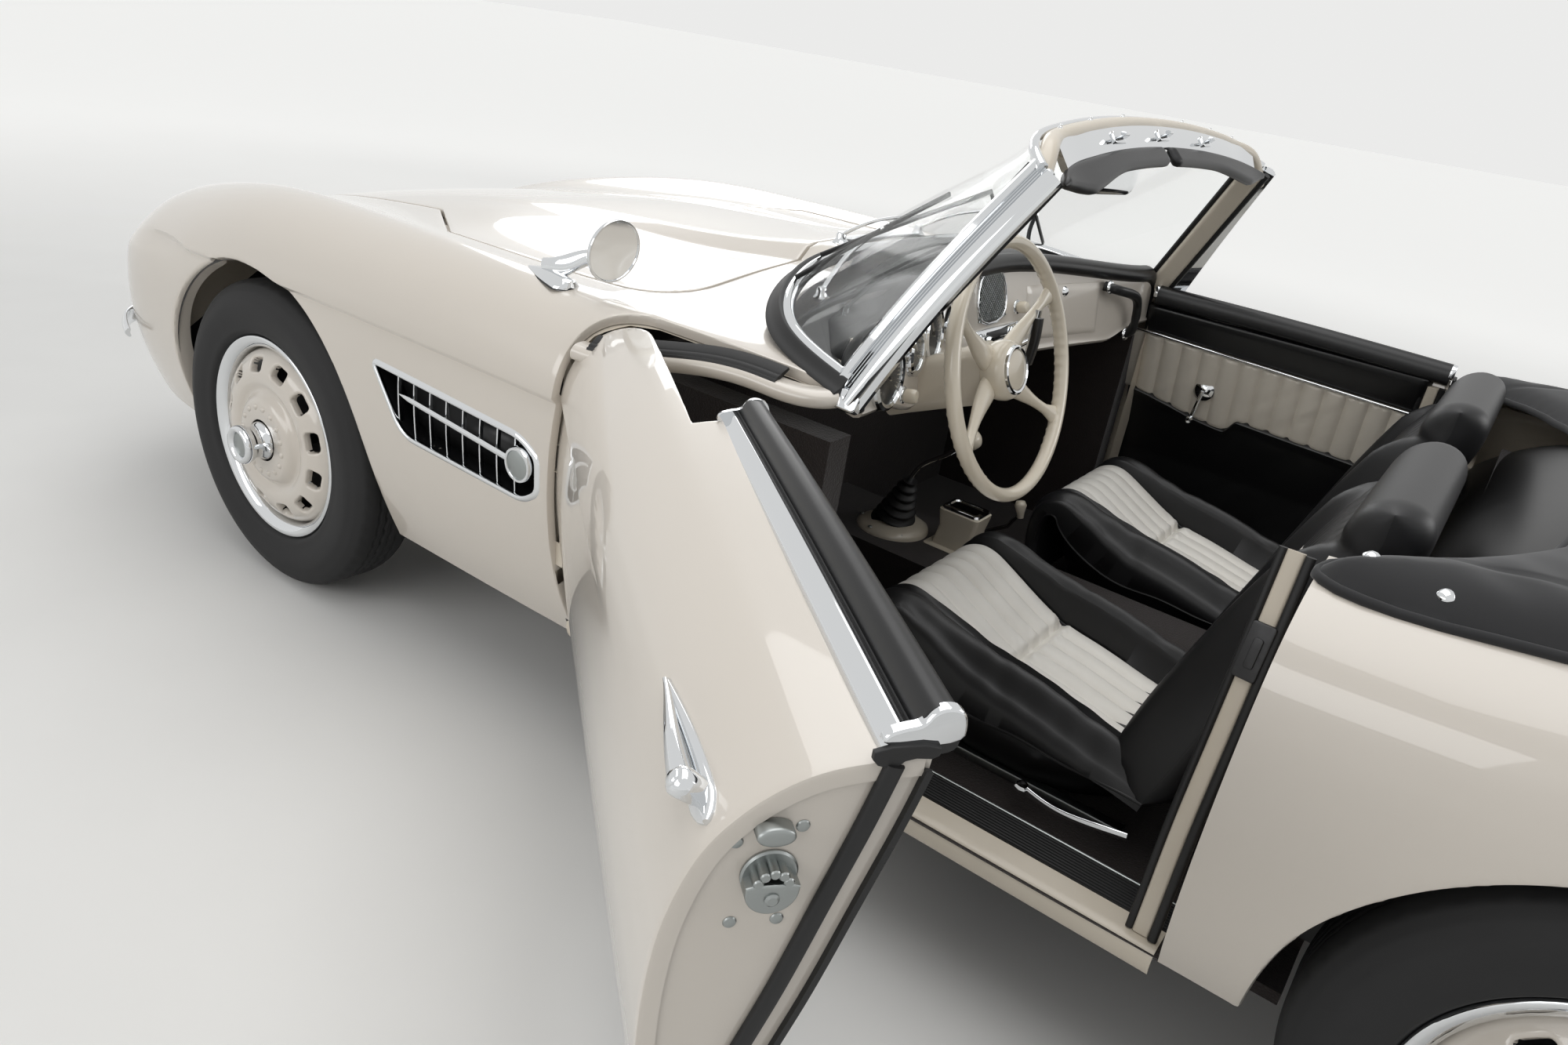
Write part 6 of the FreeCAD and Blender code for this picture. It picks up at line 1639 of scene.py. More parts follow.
for along, half_y, half_z, drop in ((-8, 46, 44, -4), (10, 52, 50, -4), (60, 62, 46, -12), (120, 74, 44, -20),
                                    (150, 78, 44, -24)):
    outline = slot(2 * half_y, 2 * half_z, 22, 6)
    middle = WHEEL_AT - TOWARDS * (42 + along) + np.array([0, 0, drop])
    shroud.append(middle + outline[:, :1] * side_way + outline[:, 1:] * up_way)
shroud_part = (np.concatenate(shroud), tube_faces(len(shroud), len(shroud[0])))
shroud_piece = solid("column_shroud", [shroud_part], enamel_in, sharp=50)
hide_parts("steering_column")
screws = [screw(WHEEL_AT - TOWARDS * (42 + a) + np.array([0, 0, -16]) + side_way * (64 + 0.09 * a), side_way,
                4.0) for a in (70, 96)]
solid("column_screws", screws, steel)
stalk = [WHEEL_AT - TOWARDS * 70 + np.array([0, -60, 0]), WHEEL_AT - TOWARDS * 62 + np.array([0, -118, 20]),
         WHEEL_AT - TOWARDS * 30 + np.array([0, -128, 36])]
blade_line = curve([stalk[2] + np.array([0, 4, 52]), stalk[2] + np.array([0, 6, -58])], 2)
solid("signal_lever", [swept(curve(stalk, 20), ring(4.5, 12), (1, 0, 0.3)),
                       swept(blade_line, slot(14, 10, 4), TOWARDS)], chrome)
grip_line = curve([stalk[2] + np.array([-3, 4, 38]), stalk[2] + np.array([-6, 5, 0]),
                   stalk[2] + np.array([-3, 6, -42])], 16)
solid("signal_lever_grip", [swept(grip_line, slot(18, 15, 5), TOWARDS)], black_vinyl, sharp=60)

# %% [markdown]
# The windscreen is a curved pane between two lines: its foot on the scuttle and its head under the header.
# Each is a spline through a few measured points, and everything round the pane is a profile carried along
# those lines or along the pillars between them: base rubber, chrome frame with ribbed pillars, and a cream
# header inside.

# %% Windscreen
SCREEN_FOOT = [(232, 0, 934), (168, 470, 916), (62, 620, 880), (-105, 688, 850)]
SCREEN_HEAD = [(-186, 0, 1240), (-205, 400, 1222), (-228, 510, 1204), (-268, 560, 1184)]


def across_car(half, count):
    """A line from the right end over the middle to the left end, from its left half."""
    half = np.array(half, float)
    return curve(np.concatenate([half[:0:-1] * np.array([1, -1, 1]), half]), count)


PANE_COLUMNS = 121
foot, head = across_car(SCREEN_FOOT, PANE_COLUMNS), across_car(SCREEN_HEAD, PANE_COLUMNS)
way_up = unit(head - foot)
outward = unit(np.cross(np.gradient(foot, axis=0), way_up))
outward *= np.sign(outward[PANE_COLUMNS // 2, 0])


def pane(k, share, lift=0.0):
    """A point on the pane at column k and a share of the way from foot to head."""
    bulge = 9.0 * math.sin(share * math.pi)
    return foot[k] * (1 - share) + head[k] * share + outward[k] * (bulge + lift)


shares = np.linspace(0.0, 1.0, 13)
pane_out = np.array([[pane(k, s, 5.0) for k in range(PANE_COLUMNS)] for s in shares])
pane_in = np.array([[pane(k, s) for k in range(PANE_COLUMNS)] for s in shares])
glass_piece = solid("screen_glass_pane", [slab(pane_out, pane_in)], screen_glass, sharp=60)
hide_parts("windscreen_glass")
base_profile = rounded([(-21, -9), (-21, 2), (-6, 10), (3, 15), (7, 13), (12, 2), (24, -6), (24, -10)], 2)
solid("screen_base_rubber", [swept(foot + np.array([0, 0, 3.0]), base_profile)], black_rubber, sharp=60)
edge_profile = rounded([(-7, 0), (-7, 22), (-3, 24), (6, 24), (9, 21), (9, 0)], 1)
frame_parts = [swept(foot + outward * 2, edge_profile, way_up)]
PILLAR_RIBS = [(-31, -9), (-31, 3), (-27, 10), (-20, 13), (-13, 10), (-11, 5), (-9.5, 9.5), (-8, 10),
               (-6.5, 5), (-5, 9.5), (-3.5, 10), (-2, 5), (-0.5, 9.5), (1, 10), (2.5, 5), (5, 11), (12, 14),
               (20, 13), (27, 8), (31, 0), (29, -8)]
pillar_foot, pillar_head = np.array([-105.0, 690, 838]), np.array([-272.0, 562, 1182])
share = np.linspace(0, 1, 30)[:, None]
pillar_line = pillar_foot * (1 - share) + pillar_head * share + np.array([6, 12, 0]) * np.sin(share * math.pi)
taper = (1.12 - 0.2 * share)[..., None]
ribbed = np.array(PILLAR_RIBS)[None] * taper
PILLAR_UP = (0.25, 0.93, 0.3)
pillar_part = swept(pillar_line, ribbed, PILLAR_UP)
bracket = pressed(slot(52, 30, 8), 14, (-112, 693, 836), (0.1, 0.9, 0.4), (0, 0, 1), 2.5)
frame_parts += both_sides(pillar_part, bracket)
header_edge = rounded([(-6, -8), (-6, 5), (-2, 8), (4, 8), (8, 4), (8, -6), (4, -9)], 1)
frame_parts.append(swept(head + outward * 8 + np.array([0, 0, -2]), header_edge, (0, 0, 1)))
frame_piece = solid("screen_frame_chrome", frame_parts, chrome, sharp=38)
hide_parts("windscreen_frame")
header_line = curve(np.concatenate([[(-268, -572, 1146)], (head + np.array([-16, 0, 2]))[6:-6:6],
                                    [(-268, 572, 1146)]]), 140)
solid("screen_header", [swept(header_line, slot(26, 24, 11.8, 7), (0, 0, 1))], enamel_in, sharp=60)
inside_line = curve((head + np.array([-34, 0, -14]))[8:-8:6], 100)
solid("screen_header_inside", [swept(inside_line, slot(10, 44, 4, 4), (0.55, 0, 0.83))], chrome, sharp=50)
inner_foot, inner_head = np.array([-92.0, 648, 862]), np.array([-262.0, 540, 1176])
inner_line = inner_foot * (1 - share) + inner_head * share
solid("screen_pillars_inside", both_sides(swept(inner_line, slot(44, 20, 9), PILLAR_UP)), enamel_in, sharp=60)
strip_line = inner_line + np.array([-24, 8, -6])
strips = both_sides(swept(strip_line, ring(7, 12), PILLAR_UP),
                    swept(inner_line + np.array([26, -4, 8]), ring(6, 12), PILLAR_UP))
solid("screen_pillar_seals", strips, black_rubber, sharp=60)

# %% Header catches, visors and mirrors
catches = []
for y in (-232, 0, 232):
    k = int(round(60 + y / 9.6))
    at = head[k] + np.array([-38, 0, -12])
    catches.append(pressed(slot(46, 20, 4), 5, at, (-0.83, 0, 0.55), (0, 0, 1), 1.5))
    hook = curve(at + np.array([(-5, -14, 3), (-14, 0, 8), (-16, 22, 9)]), 12)
    catches.append(swept(hook, slot(9, 6, 2.5)))
for y in (-420, -300, -150, 150, 300, 420):
    k = int(round(60 + y / 9.4))
    catches.append(turned([(0, 6), (2.2, 5.6), (2.6, 4), (2, 3), (3.6, 1), (4, -6)],
                          head[k] + np.array([-14, 0, 13]), (0, 0, 1), 16))
for s in (1, -1):
    catches.append(turned([(0, 20), (5, 18), (7, 8), (5, 2), (9, 0), (9, -5)], (-276, s * 566, 1176),
                          (-0.7, s * 0.5, -0.4), 20))
solid("header_catches", catches, chrome, sharp=45)


def visor_part(side):
    """A padded visor: rows from the header down to its curved leading edge, rounded at its rim."""
    y = np.linspace(22, 524, 60)
    share = (y - 22) / 502
    long = 36 + 16 * eased(share, 0.42, 0.82) - 8 * eased(share, 0.86, 1.0)
    long *= np.sqrt(np.clip(np.minimum(share * 26 + 0.5, (1 - share) * 5), 0.02, 1))
    top_x, top_z = np.interp(y, head[60:, 1], head[60:, 0]), np.interp(y, head[60:, 1], head[60:, 2])
    down = np.linspace(0, 1, 16)[:, None]
    middle = np.stack([top_x - 46 - 0.72 * down * long, np.broadcast_to(y, (16, 60)),
                       top_z - 30 - 0.69 * down * long], -1)
    rim = np.minimum(np.minimum(down, 1 - down) * long, np.minimum(y - 22, 524 - y)[None])
    half = 8.5 * np.sqrt(np.clip(1 - (1 - np.clip(rim / 9, 0, 1)) ** 2, 0, 1)) + 0.5
    normal = np.array([-0.69, 0, 0.72])
    front, back = middle + normal * half[..., None], middle - normal * half[..., None]
    return mirror_of(slab(front, back), side)


for side_name, side, _ in SIDES:
    visor = solid("sun_visor_" + side_name, [visor_part(side)], black_leather, sharp=60)
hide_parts("sun_visors")
mirror_back = [pressed(slot(138, 66, 20, 8), 20, (-150, 0, 1152), (-0.96, 0.2, -0.12), (0, 0, 1), 7.0, 1.0),
               swept(curve([(-150, 0, 1168), (-158, 0, 1198), (-184, 0, 1222)], 16), ring(6, 12), (0, 1, 0)),
               turned([(0, 6), (15, 5), (18, 0), (18, -3)], (-190, 0, 1214), (-0.5, 0, -0.86), 24)]
glass_at, glass_way = np.array([-150.0, 0, 1152]) + np.array([-0.96, 0.2, -0.12]) * 20.5, (-0.96, 0.2, -0.12)
solid("cabin_mirror", mirror_back, chrome, sharp=45)
solid("cabin_mirror_glass", [pressed(slot(122, 50, 14, 8), 1.6, glass_at, glass_way, (0, 0, 1), 0.5, 0.5)],
      mirror_glass, sharp=60)
MIRROR_AT, MIRROR_WAY = np.array([404.0, 656, 928]), unit(np.array([-0.985, 0.10, -0.10]))
dish = turned([(0, -20), (26, -18), (44, -10), (52, -2), (54, 3), (53, 6), (50, 6), (49, 3)], MIRROR_AT,
              MIRROR_WAY, 56)
fin_line = np.array([on_skin(x, y=y)[0] for x, y in zip(np.linspace(582, 446, 20),
                                                        np.linspace(676, 704, 20))])
fin_share = np.linspace(0, 1, 20)
fin_half = 1.5 + 25 * np.sin(fin_share * math.pi / 2) ** 0.9 * np.sqrt(np.clip((1 - fin_share) * 12, 0.05, 1))
fin_rise = 3 + 13 * np.sin(np.clip(fin_share * 1.5, 0, 1) * math.pi / 2)
FIN_WIDE = (-1, -0.97, -0.6, 0, 0.6, 0.97, 1)
fin_shape = np.array([list(zip(np.multiply(FIN_WIDE, h), (-3, 1, 0.75 * r, r, 0.75 * r, 1, -3)))
                      for h, r in zip(fin_half, fin_rise)])
arm_line = curve([fin_line[7] + np.array([0, -4, 6]), fin_line[12] + np.array([0, -12, 22]), (462, 666, 902),
                  MIRROR_AT - MIRROR_WAY * 12 + np.array([0, 2, -14])], 24)
arm_shape = np.stack([ring(1, 16) * np.array([w, d])
                      for w, d in zip(np.linspace(22, 10, 24), np.linspace(9, 7, 24))])
wing_mirror = solid("wing_mirror", [dish, swept(fin_line, fin_shape), swept(arm_line, arm_shape, (0, 1, 0))],
                    chrome, sharp=50)
solid("wing_mirror_glass", [turned([(0, 4), (49, 4), (50, 2), (50, 0)], MIRROR_AT, MIRROR_WAY, 56)],
      mirror_glass, sharp=50)
solid("wing_mirror_gasket", [swept(fin_line - np.array([0, 0, 1.5]), fin_shape * np.array([1.1, 0.3]))],
      black_rubber, sharp=60)
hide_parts("mirrors")

# %% Wipers, washer jets and the vent ahead of the screen
wiper_arms, wiper_blades = [], []
for (x, y), near, far in (((288, 150), 86, 60), ((138, 418), 96, 74)):
    spot, normal = on_skin(x, y=y)
    start, end = pane(near, 0.05, 10), pane(far, 0.42, 10)
    hold = start * 0.45 + end * 0.55
    middle = (spot + np.array([0, 0, 16]) + hold) / 2 + np.array([10, 0, 8])
    arm = [turned([(0, 22), (7, 21), (10, 16), (10, 8), (15, 3), (17, 0), (17, -4)], spot, normal, 28),
           swept(curve([spot + np.array([0, 0, 15]), middle, hold + np.array([2, 0, 4])], 20),
                 slot(10, 6, 2.4))]
    blade = swept(curve([start, (start + end) / 2 + np.array([2, 0, 1]), end], 20), slot(5, 9, 2))
    wiper_arms += both_sides(*arm)
    wiper_blades += both_sides(blade)
spot, normal = on_skin(262, y=298)
jet = turned([(0, 15), (4, 14), (6, 11), (4, 7), (8, 3), (11, 2), (11, -3)], spot, normal, 24)
wiper_arms += both_sides(jet)
solid("wiper_arms", wiper_arms, chrome, sharp=45)
solid("wiper_blades", wiper_blades, black_rubber, sharp=50)


def top_point(x, y):
    """A point on top of the skin, on either side of the middle."""
    return on_skin(x, y=abs(y))[0] * np.array([1, np.sign(y) or 1, 1])


slats = []
for y in np.arange(-112, 113, 8.0):
    spots = np.array([top_point(x, y) for x in np.linspace(262, 300, 6)])
    slats.append(swept(spots + np.array([0, 0, 2.5]), slot(4, 6, 1.2)))
solid("scuttle_vent_slats", slats, chrome, sharp=50)
# Painted shade: a black bed under the slats stands for the shade in the vent's openings, which the skin doesn't
# have.
shade_bed = np.array([[top_point(x, y) for y in np.linspace(-122, 122, 31)] for x in (256, 270, 290, 306)])
solid("scuttle_vent_shade_bed", [slab(shade_bed + np.array([0, 0, 1.2]), shade_bed - np.array([0, 0, 4]))], black_enamel,
      sharp=50)
tongue = curve([(330, 806, 812), (290, 800, 812), (243, 788, 821), (187, 768, 830), (108, 750, 842),
                (26, 742, 846), (-57, 736, 846), (-92, 712, 850), (-100, 690, 853)], 60)
strip_shape = [(-25, -4), (-25, 1), (-8, 3), (-5, 1.6), (-2, 3.4), (2, 3.4), (5, 1.6), (8, 3), (11, 1),
               (11, -4)]
strip = swept(tongue[3:46] + np.array([0, -13, 1]), strip_shape, (0, 0.5, 0.87))
solid("cowl_rubbers", both_sides(strip), black_rubber, sharp=40)
lip_shape = rounded([(-26, -8), (-26, 1), (-10, 2), (4, 1), (13, -5), (15, -15), (9, -24), (0, -26),
                     (-4, -18), (-4, -9)], 2)
solid("cowl_lips", both_sides(swept(tongue + np.array([0, -10, -3]), lip_shape)), enamel, sharp=60)
pad_rows = []
for share in np.linspace(0, 1, 9):
    row = []
    for k in range(3, 118):
        y = foot[k, 1]
        x_well = np.interp(abs(y), (0, 500, 612, 660), (150, 60, -30, -90)) - 14
        x_foot = foot[k, 0] - 14
        x = x_foot + (min(x_well, x_foot - 20) - x_foot) * share
        spot, _ = on_skin(x, y=abs(y))
        row.append((x, y, spot[2] + 3.5 - 10 * eased(share, 0.8, 1.0)))
    pad_rows.append(row)
pad_top = np.array(pad_rows)
solid("scuttle_pad", [slab(pad_top, pad_top - np.array([0, 0, 3.0]))], black_vinyl, sharp=60)

# %% [markdown]
# The folded hood lies under a black cloth cover, buttoned down all round. The cloth is one height field over
# the cover's plan: it rises from the body with a rolled edge to a low dome and lies over the folded bows in soft
# cross ridges. It is thin.

# %% Hood cover
COVER_OUTER = [(-756, 655), (-756, 712), (-900, 716), (-1150, 700), (-1400, 610), (-1480, 420)]
COVER_INNER = [(-1000, 330), (-930, 470), (-860, 570)]
cover_loop = rounded(whole_plan(COVER_OUTER) + [(x, -y) for x, y in COVER_INNER[::-1]] + COVER_INNER, 2)
cover_inside = polygon_field(cover_loop)
COVER_RISE, COVER_STEP = 38.0, 7.6
cover_x, cover_y = np.arange(-1500, -750, COVER_STEP), np.arange(-722, 723, COVER_STEP)
grid_x, grid_y = np.meshgrid(cover_x, cover_y, indexing="ij")
deck = np.array([np.interp(abs(cover_y), section_at(x)[:EDGE_COLUMN + 28, 0],
                           section_at(x)[:EDGE_COLUMN + 28, 1]) for x in cover_x])
grid = np.stack([grid_x, grid_y, deck], -1)
away = cover_inside(grid.reshape(-1, 3)).reshape(grid_x.shape)
dome = COVER_RISE * (1 - np.exp(-np.clip(away, 0, None) / 26.0))
folds = 4.0 * np.sin((grid_x + 0.10 * abs(grid_y)) / 31.0) * eased(away, 20, 90) * eased(-grid_x, 900, 1010)
creases = 2.2 * smooth_noise(grid_x * 2.2, grid_y * 1.4, 4.0) * eased(away, 10, 70)
seam_line = -4.0 * np.exp(-((abs(grid_y) - 610 + (grid_x + 860) * 0.08) / 5.0) ** 2) * eased(away, 10, 40)
grid[..., 2] += 1.5 + dome + folds * 0.5 + creases + seam_line
top_points, top_tris = keep(as_cloth(grid), cover_inside)
under = top_points.copy()
under[:, :3] -= under[:, 3:] * 2.5
rim = loose_edges(top_tris)
start = len(top_points)
one, two = rim.T
walls = np.concatenate([np.stack([two, one, one + start], 1), np.stack([two, one + start, two + start], 1)])
cover = place("hood_cover", np.concatenate([top_points, under])[:, :3] * MM,
              np.concatenate([top_tris, top_tris[:, ::-1] + start, walls]), hood_cloth, sharp=70.0)
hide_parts("soft_top_cover")


def on_cover(x, y):
    """Height of the cloth at a place."""
    i, j = int(round((x + 1500) / COVER_STEP)), int(round((y + 722) / COVER_STEP))
    return grid[min(max(i, 0), grid.shape[0] - 1), min(max(j, 0), grid.shape[1] - 1), 2]


hem = np.array([(x, y, on_cover(x, y)) for x, y in cover_loop])
hem[:, 2] = (np.roll(hem[:, 2], 1) + hem[:, 2] + np.roll(hem[:, 2], -1)) / 3
solid("hood_cover_hem", [swept(hem, ring(6.5, 12), (0, 0, 1), True)], hood_cloth, sharp=70)
studs = []
for x, y in ((-800, 660), (-880, 690), (-1020, 694), (-1160, 676), (-1300, 632), (-1420, 540), (-1462, 380),
             (-1468, 190), (-1468, 0)):
    for s in (1, -1) if y else (1,):
        studs.append(turned([(0, 7), (4, 6.4), (7, 4), (10.5, 1.5), (11, 0), (11, -3)],
                            (x, s * y, on_cover(x, s * y)), (0, s * 0.25, 1), 24))
solid("hood_cover_studs", studs, chrome, sharp=40)

# %% [markdown]
# A wheel is a steel disc in a chrome rim. The disc is one polar grid with a spline for its section. Its
# twelve slots are cut with the same trimming tool as the body's panels, so they get rolled-in edges too. All
# four wheels are made once about their own centre and then placed, the right ones mirrored.

# %% Wheels
WHEELS = []
for end, axle, track in (("front", FRONT, 1445.0), ("rear", REAR, 1425.0)):
    for side_name, side, _ in SIDES:
        WHEELS.append((end + "_" + side_name, axle, side, track / 2))


def hoop(profile, at=0.0, count=96):
    """A closed profile of (radius, distance out) points turned about the wheel's axle."""
    points = np.concatenate([profile, profile[:1]]) + np.array([0.0, at])
    return turned(points, (0, 0, 0), (0, 1, 0), count)


def on_wheel(part, axle, side, start):
    """A part built about the axle, moved to its wheel: start is the distance of its zero from the middle."""
    points = np.asarray(part[0], float).reshape(-1, 3) + np.array([axle, start, HUB_Z])
    return points * np.array([1, side, 1]), part[1]


RIM_SECTION = np.array([(216, 1), (222, 2), (223, 5), (220, 7), (210, 8), (205, 12), (203.5, 18),
                        (203.5, 120), (205, 126), (210, 130), (220, 131), (223, 133), (222.5, 137),
                        (219, 138.5), (214, 137.5), (207, 133.5), (200, 129), (196.5, 122), (195.5, 110),
                        (195.5, 28), (197, 17), (202, 9), (210, 4)], float)
DISC_RADII = [52, 60, 80, 90, 97, 103, 108, 114, 121, 131, 142, 152, 164, 176, 186, 192, 195.4]
DISC_OUT = [158, 158.5, 157, 153, 146, 139, 136.5, 139, 143, 145.5, 145.5, 143.5, 139, 132, 122, 112, 100]
radii = np.concatenate([np.arange(46, 132, 4.3), np.arange(132, 195.3, 2.7), [195.3]])
angles = np.linspace(0, 2 * math.pi, 193)
out = spline(np.array([40] + DISC_RADII, float), np.array([[h] for h in [157.0] + DISC_OUT]), radii)[:, 0]
disc_grid = np.stack([radii[:, None] * np.cos(angles), np.broadcast_to(out[:, None], (len(radii), 193)),
                      radii[:, None] * np.sin(angles)], -1)


def slots_field(points):
    """Distance outside the twelve rounded slots, counted in the wheel's own plane."""
    angle = np.arctan2(points[:, 2], points[:, 0])
    sector = angle % (math.pi / 6) - math.pi / 12
    radius = np.hypot(points[:, 0], points[:, 2])
    across, along = abs(radius * np.sin(sector)) - 12.0, abs(radius * np.cos(sector) - 162.0) - 5.5
    outer = (np.hypot(np.clip(across, 0, None), np.clip(along, 0, None))
             + np.minimum(np.maximum(across, along), 0))
    return outer - 10.0


disc_points, disc_tris = trim(as_cloth(disc_grid), slots_field, 4.5, 9.0)
back = disc_points[:, :3] - np.array([0, 3.0, 0])
disc_part = (disc_points[:, :3], disc_tris.tolist())
disc_back = (back, disc_tris[:, ::-1].tolist())
bumps = []
for k in range(16):
    angle = math.radians(22.5 * k + 8)
    bumps.append(turned([(0, 4.6), (3.2, 4.1), (5.4, 2.6), (7.0, 0.4), (8.0, -1.0)],
                        (73 * math.cos(angle), 157.4, 73 * math.sin(angle)), (0, 1, 0), 18))
NUT_AT = 156.0
cap = [(0, 49.5), (25.5, 49.5), (26.5, 51), (29, 56), (34, 58), (38.5, 56.5), (41.5, 51), (42, 44), (40, 37),
       (36, 31), (34, 25), (34, 18), (36, 12), (40, 7), (42, 2), (42, -6), (38, -8)]
ears = []
for way in (1, -1):
    line = np.array([(x * way, NUT_AT + y, 0) for x, y in ((24, 14), (36, 15), (48, 16), (57, 16.5),
                                                           (62, 16.5))], float)
    sizes = np.stack([np.interp(np.linspace(0, 4, 14), range(5), row)
                      for row in ((11, 11, 11.5, 11, 6), (8, 7, 6, 5.2, 3.2))], -1)
    ears.append(swept(curve(line, 14), np.array([slot(1.5 * w, 2 * h, 0.9 * h, 4) for w, h in sizes]),
                      (0, 1, 0)))

TYRE_SECTION = np.array([(203, 31), (207, 26), (222, 22), (227, 14), (233, 8), (240, 6.5), (244, 6), (263, 2),
                         (275, 0.6), (287, 0.2), (300, 3), (312, 8), (322, 14), (331, 22), (336, 33),
                         (338, 48)], float)


def tyre_part():
    """The tyre: its section is a spline, and a field of place and angle sinks the tread's grooves into it."""
    first = curve(TYRE_SECTION, 32)
    flat = np.stack([np.full(27, 338.0), np.linspace(50.5, 114.5, 27)], -1)
    last = first[::-1] * np.array([1, -1]) + np.array([0, 165.0])
    section = np.concatenate([first, flat, last, [(200, 128), (198.5, 82.5), (200, 37)]])
    turns = np.linspace(0, 2 * math.pi, 240, endpoint=False)
    radius = np.repeat(section[:, :1], 240, axis=1)
    across = np.repeat(section[:, 1:], 240, axis=1)
    middle = across - 82.5
    pitch = turns * 60
    zigzag = 2.6 * np.abs((pitch / math.pi) % 2 - 1) - 1.3
    depth = np.zeros_like(radius)
    for line in (-27.0, -9.0, 9.0, 27.0):
        depth = np.maximum(depth, 4.5 * (1 - eased(abs(middle - line - zigzag * 1.8), 0.9, 2.3)))
    sipe = abs(((pitch + abs(middle) * 0.22) / (2 * math.pi)) % 1 - 0.5) * 35.4
    depth = np.maximum(depth, 3.0 * (1 - eased(sipe, 0.6, 2.4)) * eased(abs(middle), 33,
        38) * (1 - eased(abs(middle), 62, 66)))
    for ring_at in (303.0, 309.0, 315.0, 321.0):
        depth = np.maximum(depth, 1.6 * (1 - eased(abs(radius - ring_at), 0.8, 2.4)) * (radius < 330))
    inner = radius[:, :1] > 230
    radius = radius - depth * inner
    points = np.stack([radius * np.cos(turns), across, radius * np.sin(turns)], -1)
    return points.reshape(-1, 3), grid_faces(len(section), 240, True, True).tolist()


tyre = tyre_part()
nut_part = turned(cap, (0, NUT_AT, 0), (0, 1, 0), 64)
nut_disc = turned([(0, 51.2), (24, 51.0), (25.2, 50.4), (25.4, 49.6), (20, 49.6)], (0, NUT_AT, 0), (0, 1, 0),
                  48)
for name, axle, side, half in WHEELS:
    body_name = "wheel_" + name
    start = half - 69.0
    discs, rims, nuts, nut_discs = (
        [on_wheel(part, axle, side, start) for part in parts]
        for parts in ([disc_part, disc_back] + bumps, [hoop(RIM_SECTION)], [nut_part] + ears, [nut_disc]))
    solid("wheel_disc_" + name, discs, enamel, body_name, 50)
    rim_piece = solid("wheel_rim_" + name, rims, chrome, body_name, 60)
    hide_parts("wheel_" + name)
    nut = solid("wheel_nut_" + name, nuts, chrome, body_name, 50)
    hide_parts("hub_nut_" + name)
    solid("wheel_nut_disc_" + name, nut_discs, steel, body_name, 50)
    rubber = solid("tyre_body_" + name, [on_wheel(tyre, axle, side, half - 82.5)], tyre_rubber, body_name, 50)
    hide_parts("tyre_" + name)
print("wheel pieces", len(WHEELS) * 5, "tyre faces", len(tyre[1]))

# %% [markdown]
# The vents behind the front wheels, lamps, grilles and bumpers are bright trim on the same skin. Their
# outlines are laid on it point by point, so each frame follows the wing's curve.

# %% Side vents
VENT_LINE = []
for k, (x, z) in enumerate(VENT):
    before, after = np.array(VENT[k - 1], float), np.array(VENT[(k + 1) % 6], float)
    here = np.array([x, z], float)
    cut = (16.0, 34.0, 22.0, 16.0, 16.0, 24.0)[k]
    for a in np.linspace(0, 1, 7):
        start_way, end_way = unit(before - here) * cut, unit(after - here) * cut
        VENT_LINE.append(tuple(here + start_way * (1 - a) ** 2 + end_way * a ** 2))
spots = [on_skin(x, z=z) for x, z in VENT_LINE]
vent_path = np.array([s[0] for s in spots])
vent_way = np.array([s[1] for s in spots])
rim_shape = rounded([(-5, -6), (-5, 2), (-3, 4), (2, 4), (10, -3), (19, -20), (16, -22), (5, -8)], 1)
centre = vent_path.mean(0)


def vent_side(x):
    """The lowest and highest z of the opening at x."""
    cuts = []
    for (x0, z0), (x1, z1) in zip(VENT, VENT[1:] + VENT[:1]):
        if (x0 - x) * (x1 - x) < 0:
            cuts.append(z0 + (z1 - z0) * (x - x0) / (x1 - x0))
    return min(cuts), max(cuts)


def vent_point(x, z, lift):
    """A point off the wing's skin at x and z."""
    spot, normal = on_skin(x, z=z)
    return spot + normal * lift


for side_name, side, _ in SIDES:
    frame_part = swept(vent_path, rim_shape, vent_way, True)
    bars = []
    for x in (440, 486, 532, 578, 624, 670, 716, 762):
        low, high = vent_side(x)
        line = np.array([vent_point(x, z, -9) for z in np.linspace(low - 3, high + 3, 10)])
        bars.append(swept(line, slot(3.2, 9, 1.4, 3), (0, 1, 0)))
    spear_line = np.array([vent_point(x, np.interp(x, (419, 748), (578, 599)), 2.0)
                           for x in np.linspace(748, 425, 22)])
    spear_tall = np.interp(np.linspace(0, 1, 22), (0, 0.08, 1), (1.0, 5.5, 6.5))
    spear = swept(spear_line, np.array([ring(t * 0.62, 14, t) for t in spear_tall])[:, :, ::-1],
                  np.array([0, 1.0, 0]))
    spot, normal = on_skin(419, z=578)
    boss = turned([(0, 6), (25, 6), (26, 8), (30, 8), (32, 5), (32, -9), (28, -12)], spot, normal, 48)
    bars_piece = on_side("vent_trim", side_name, [frame_part, spear, boss] + bars, chrome, sharp=45)
    if side > 0:
        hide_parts("side_vents")
    disc = turned([(0, 8), (23, 7.6), (24.6, 6.6), (24.6, 5)], spot, normal, 48)
    on_side("vent_disc", side_name, [disc], steel, sharp=50)
    # Painted shade: a black pocket closes each vent behind its bars and stands for the shade inside the opening.
    wall = np.array([[p - w * d for p, w in zip(vent_path, vent_way)] for d in (4.0, 42.0)])
    shade_box_points = np.concatenate([(centre + (wall[0] - centre) * 0.995), wall[1], wall[1] - vent_way * 2,
                             (centre + (wall[0] - centre) * 1.02)])
    n = len(vent_path)
    faces = grid_faces(4, n, False, True).tolist() + [list(range(n, 2 * n)), list(range(2 * n, 3 * n))]
    on_side("vent_shade_box", side_name, [(shade_box_points, faces)], black_enamel, sharp=50)

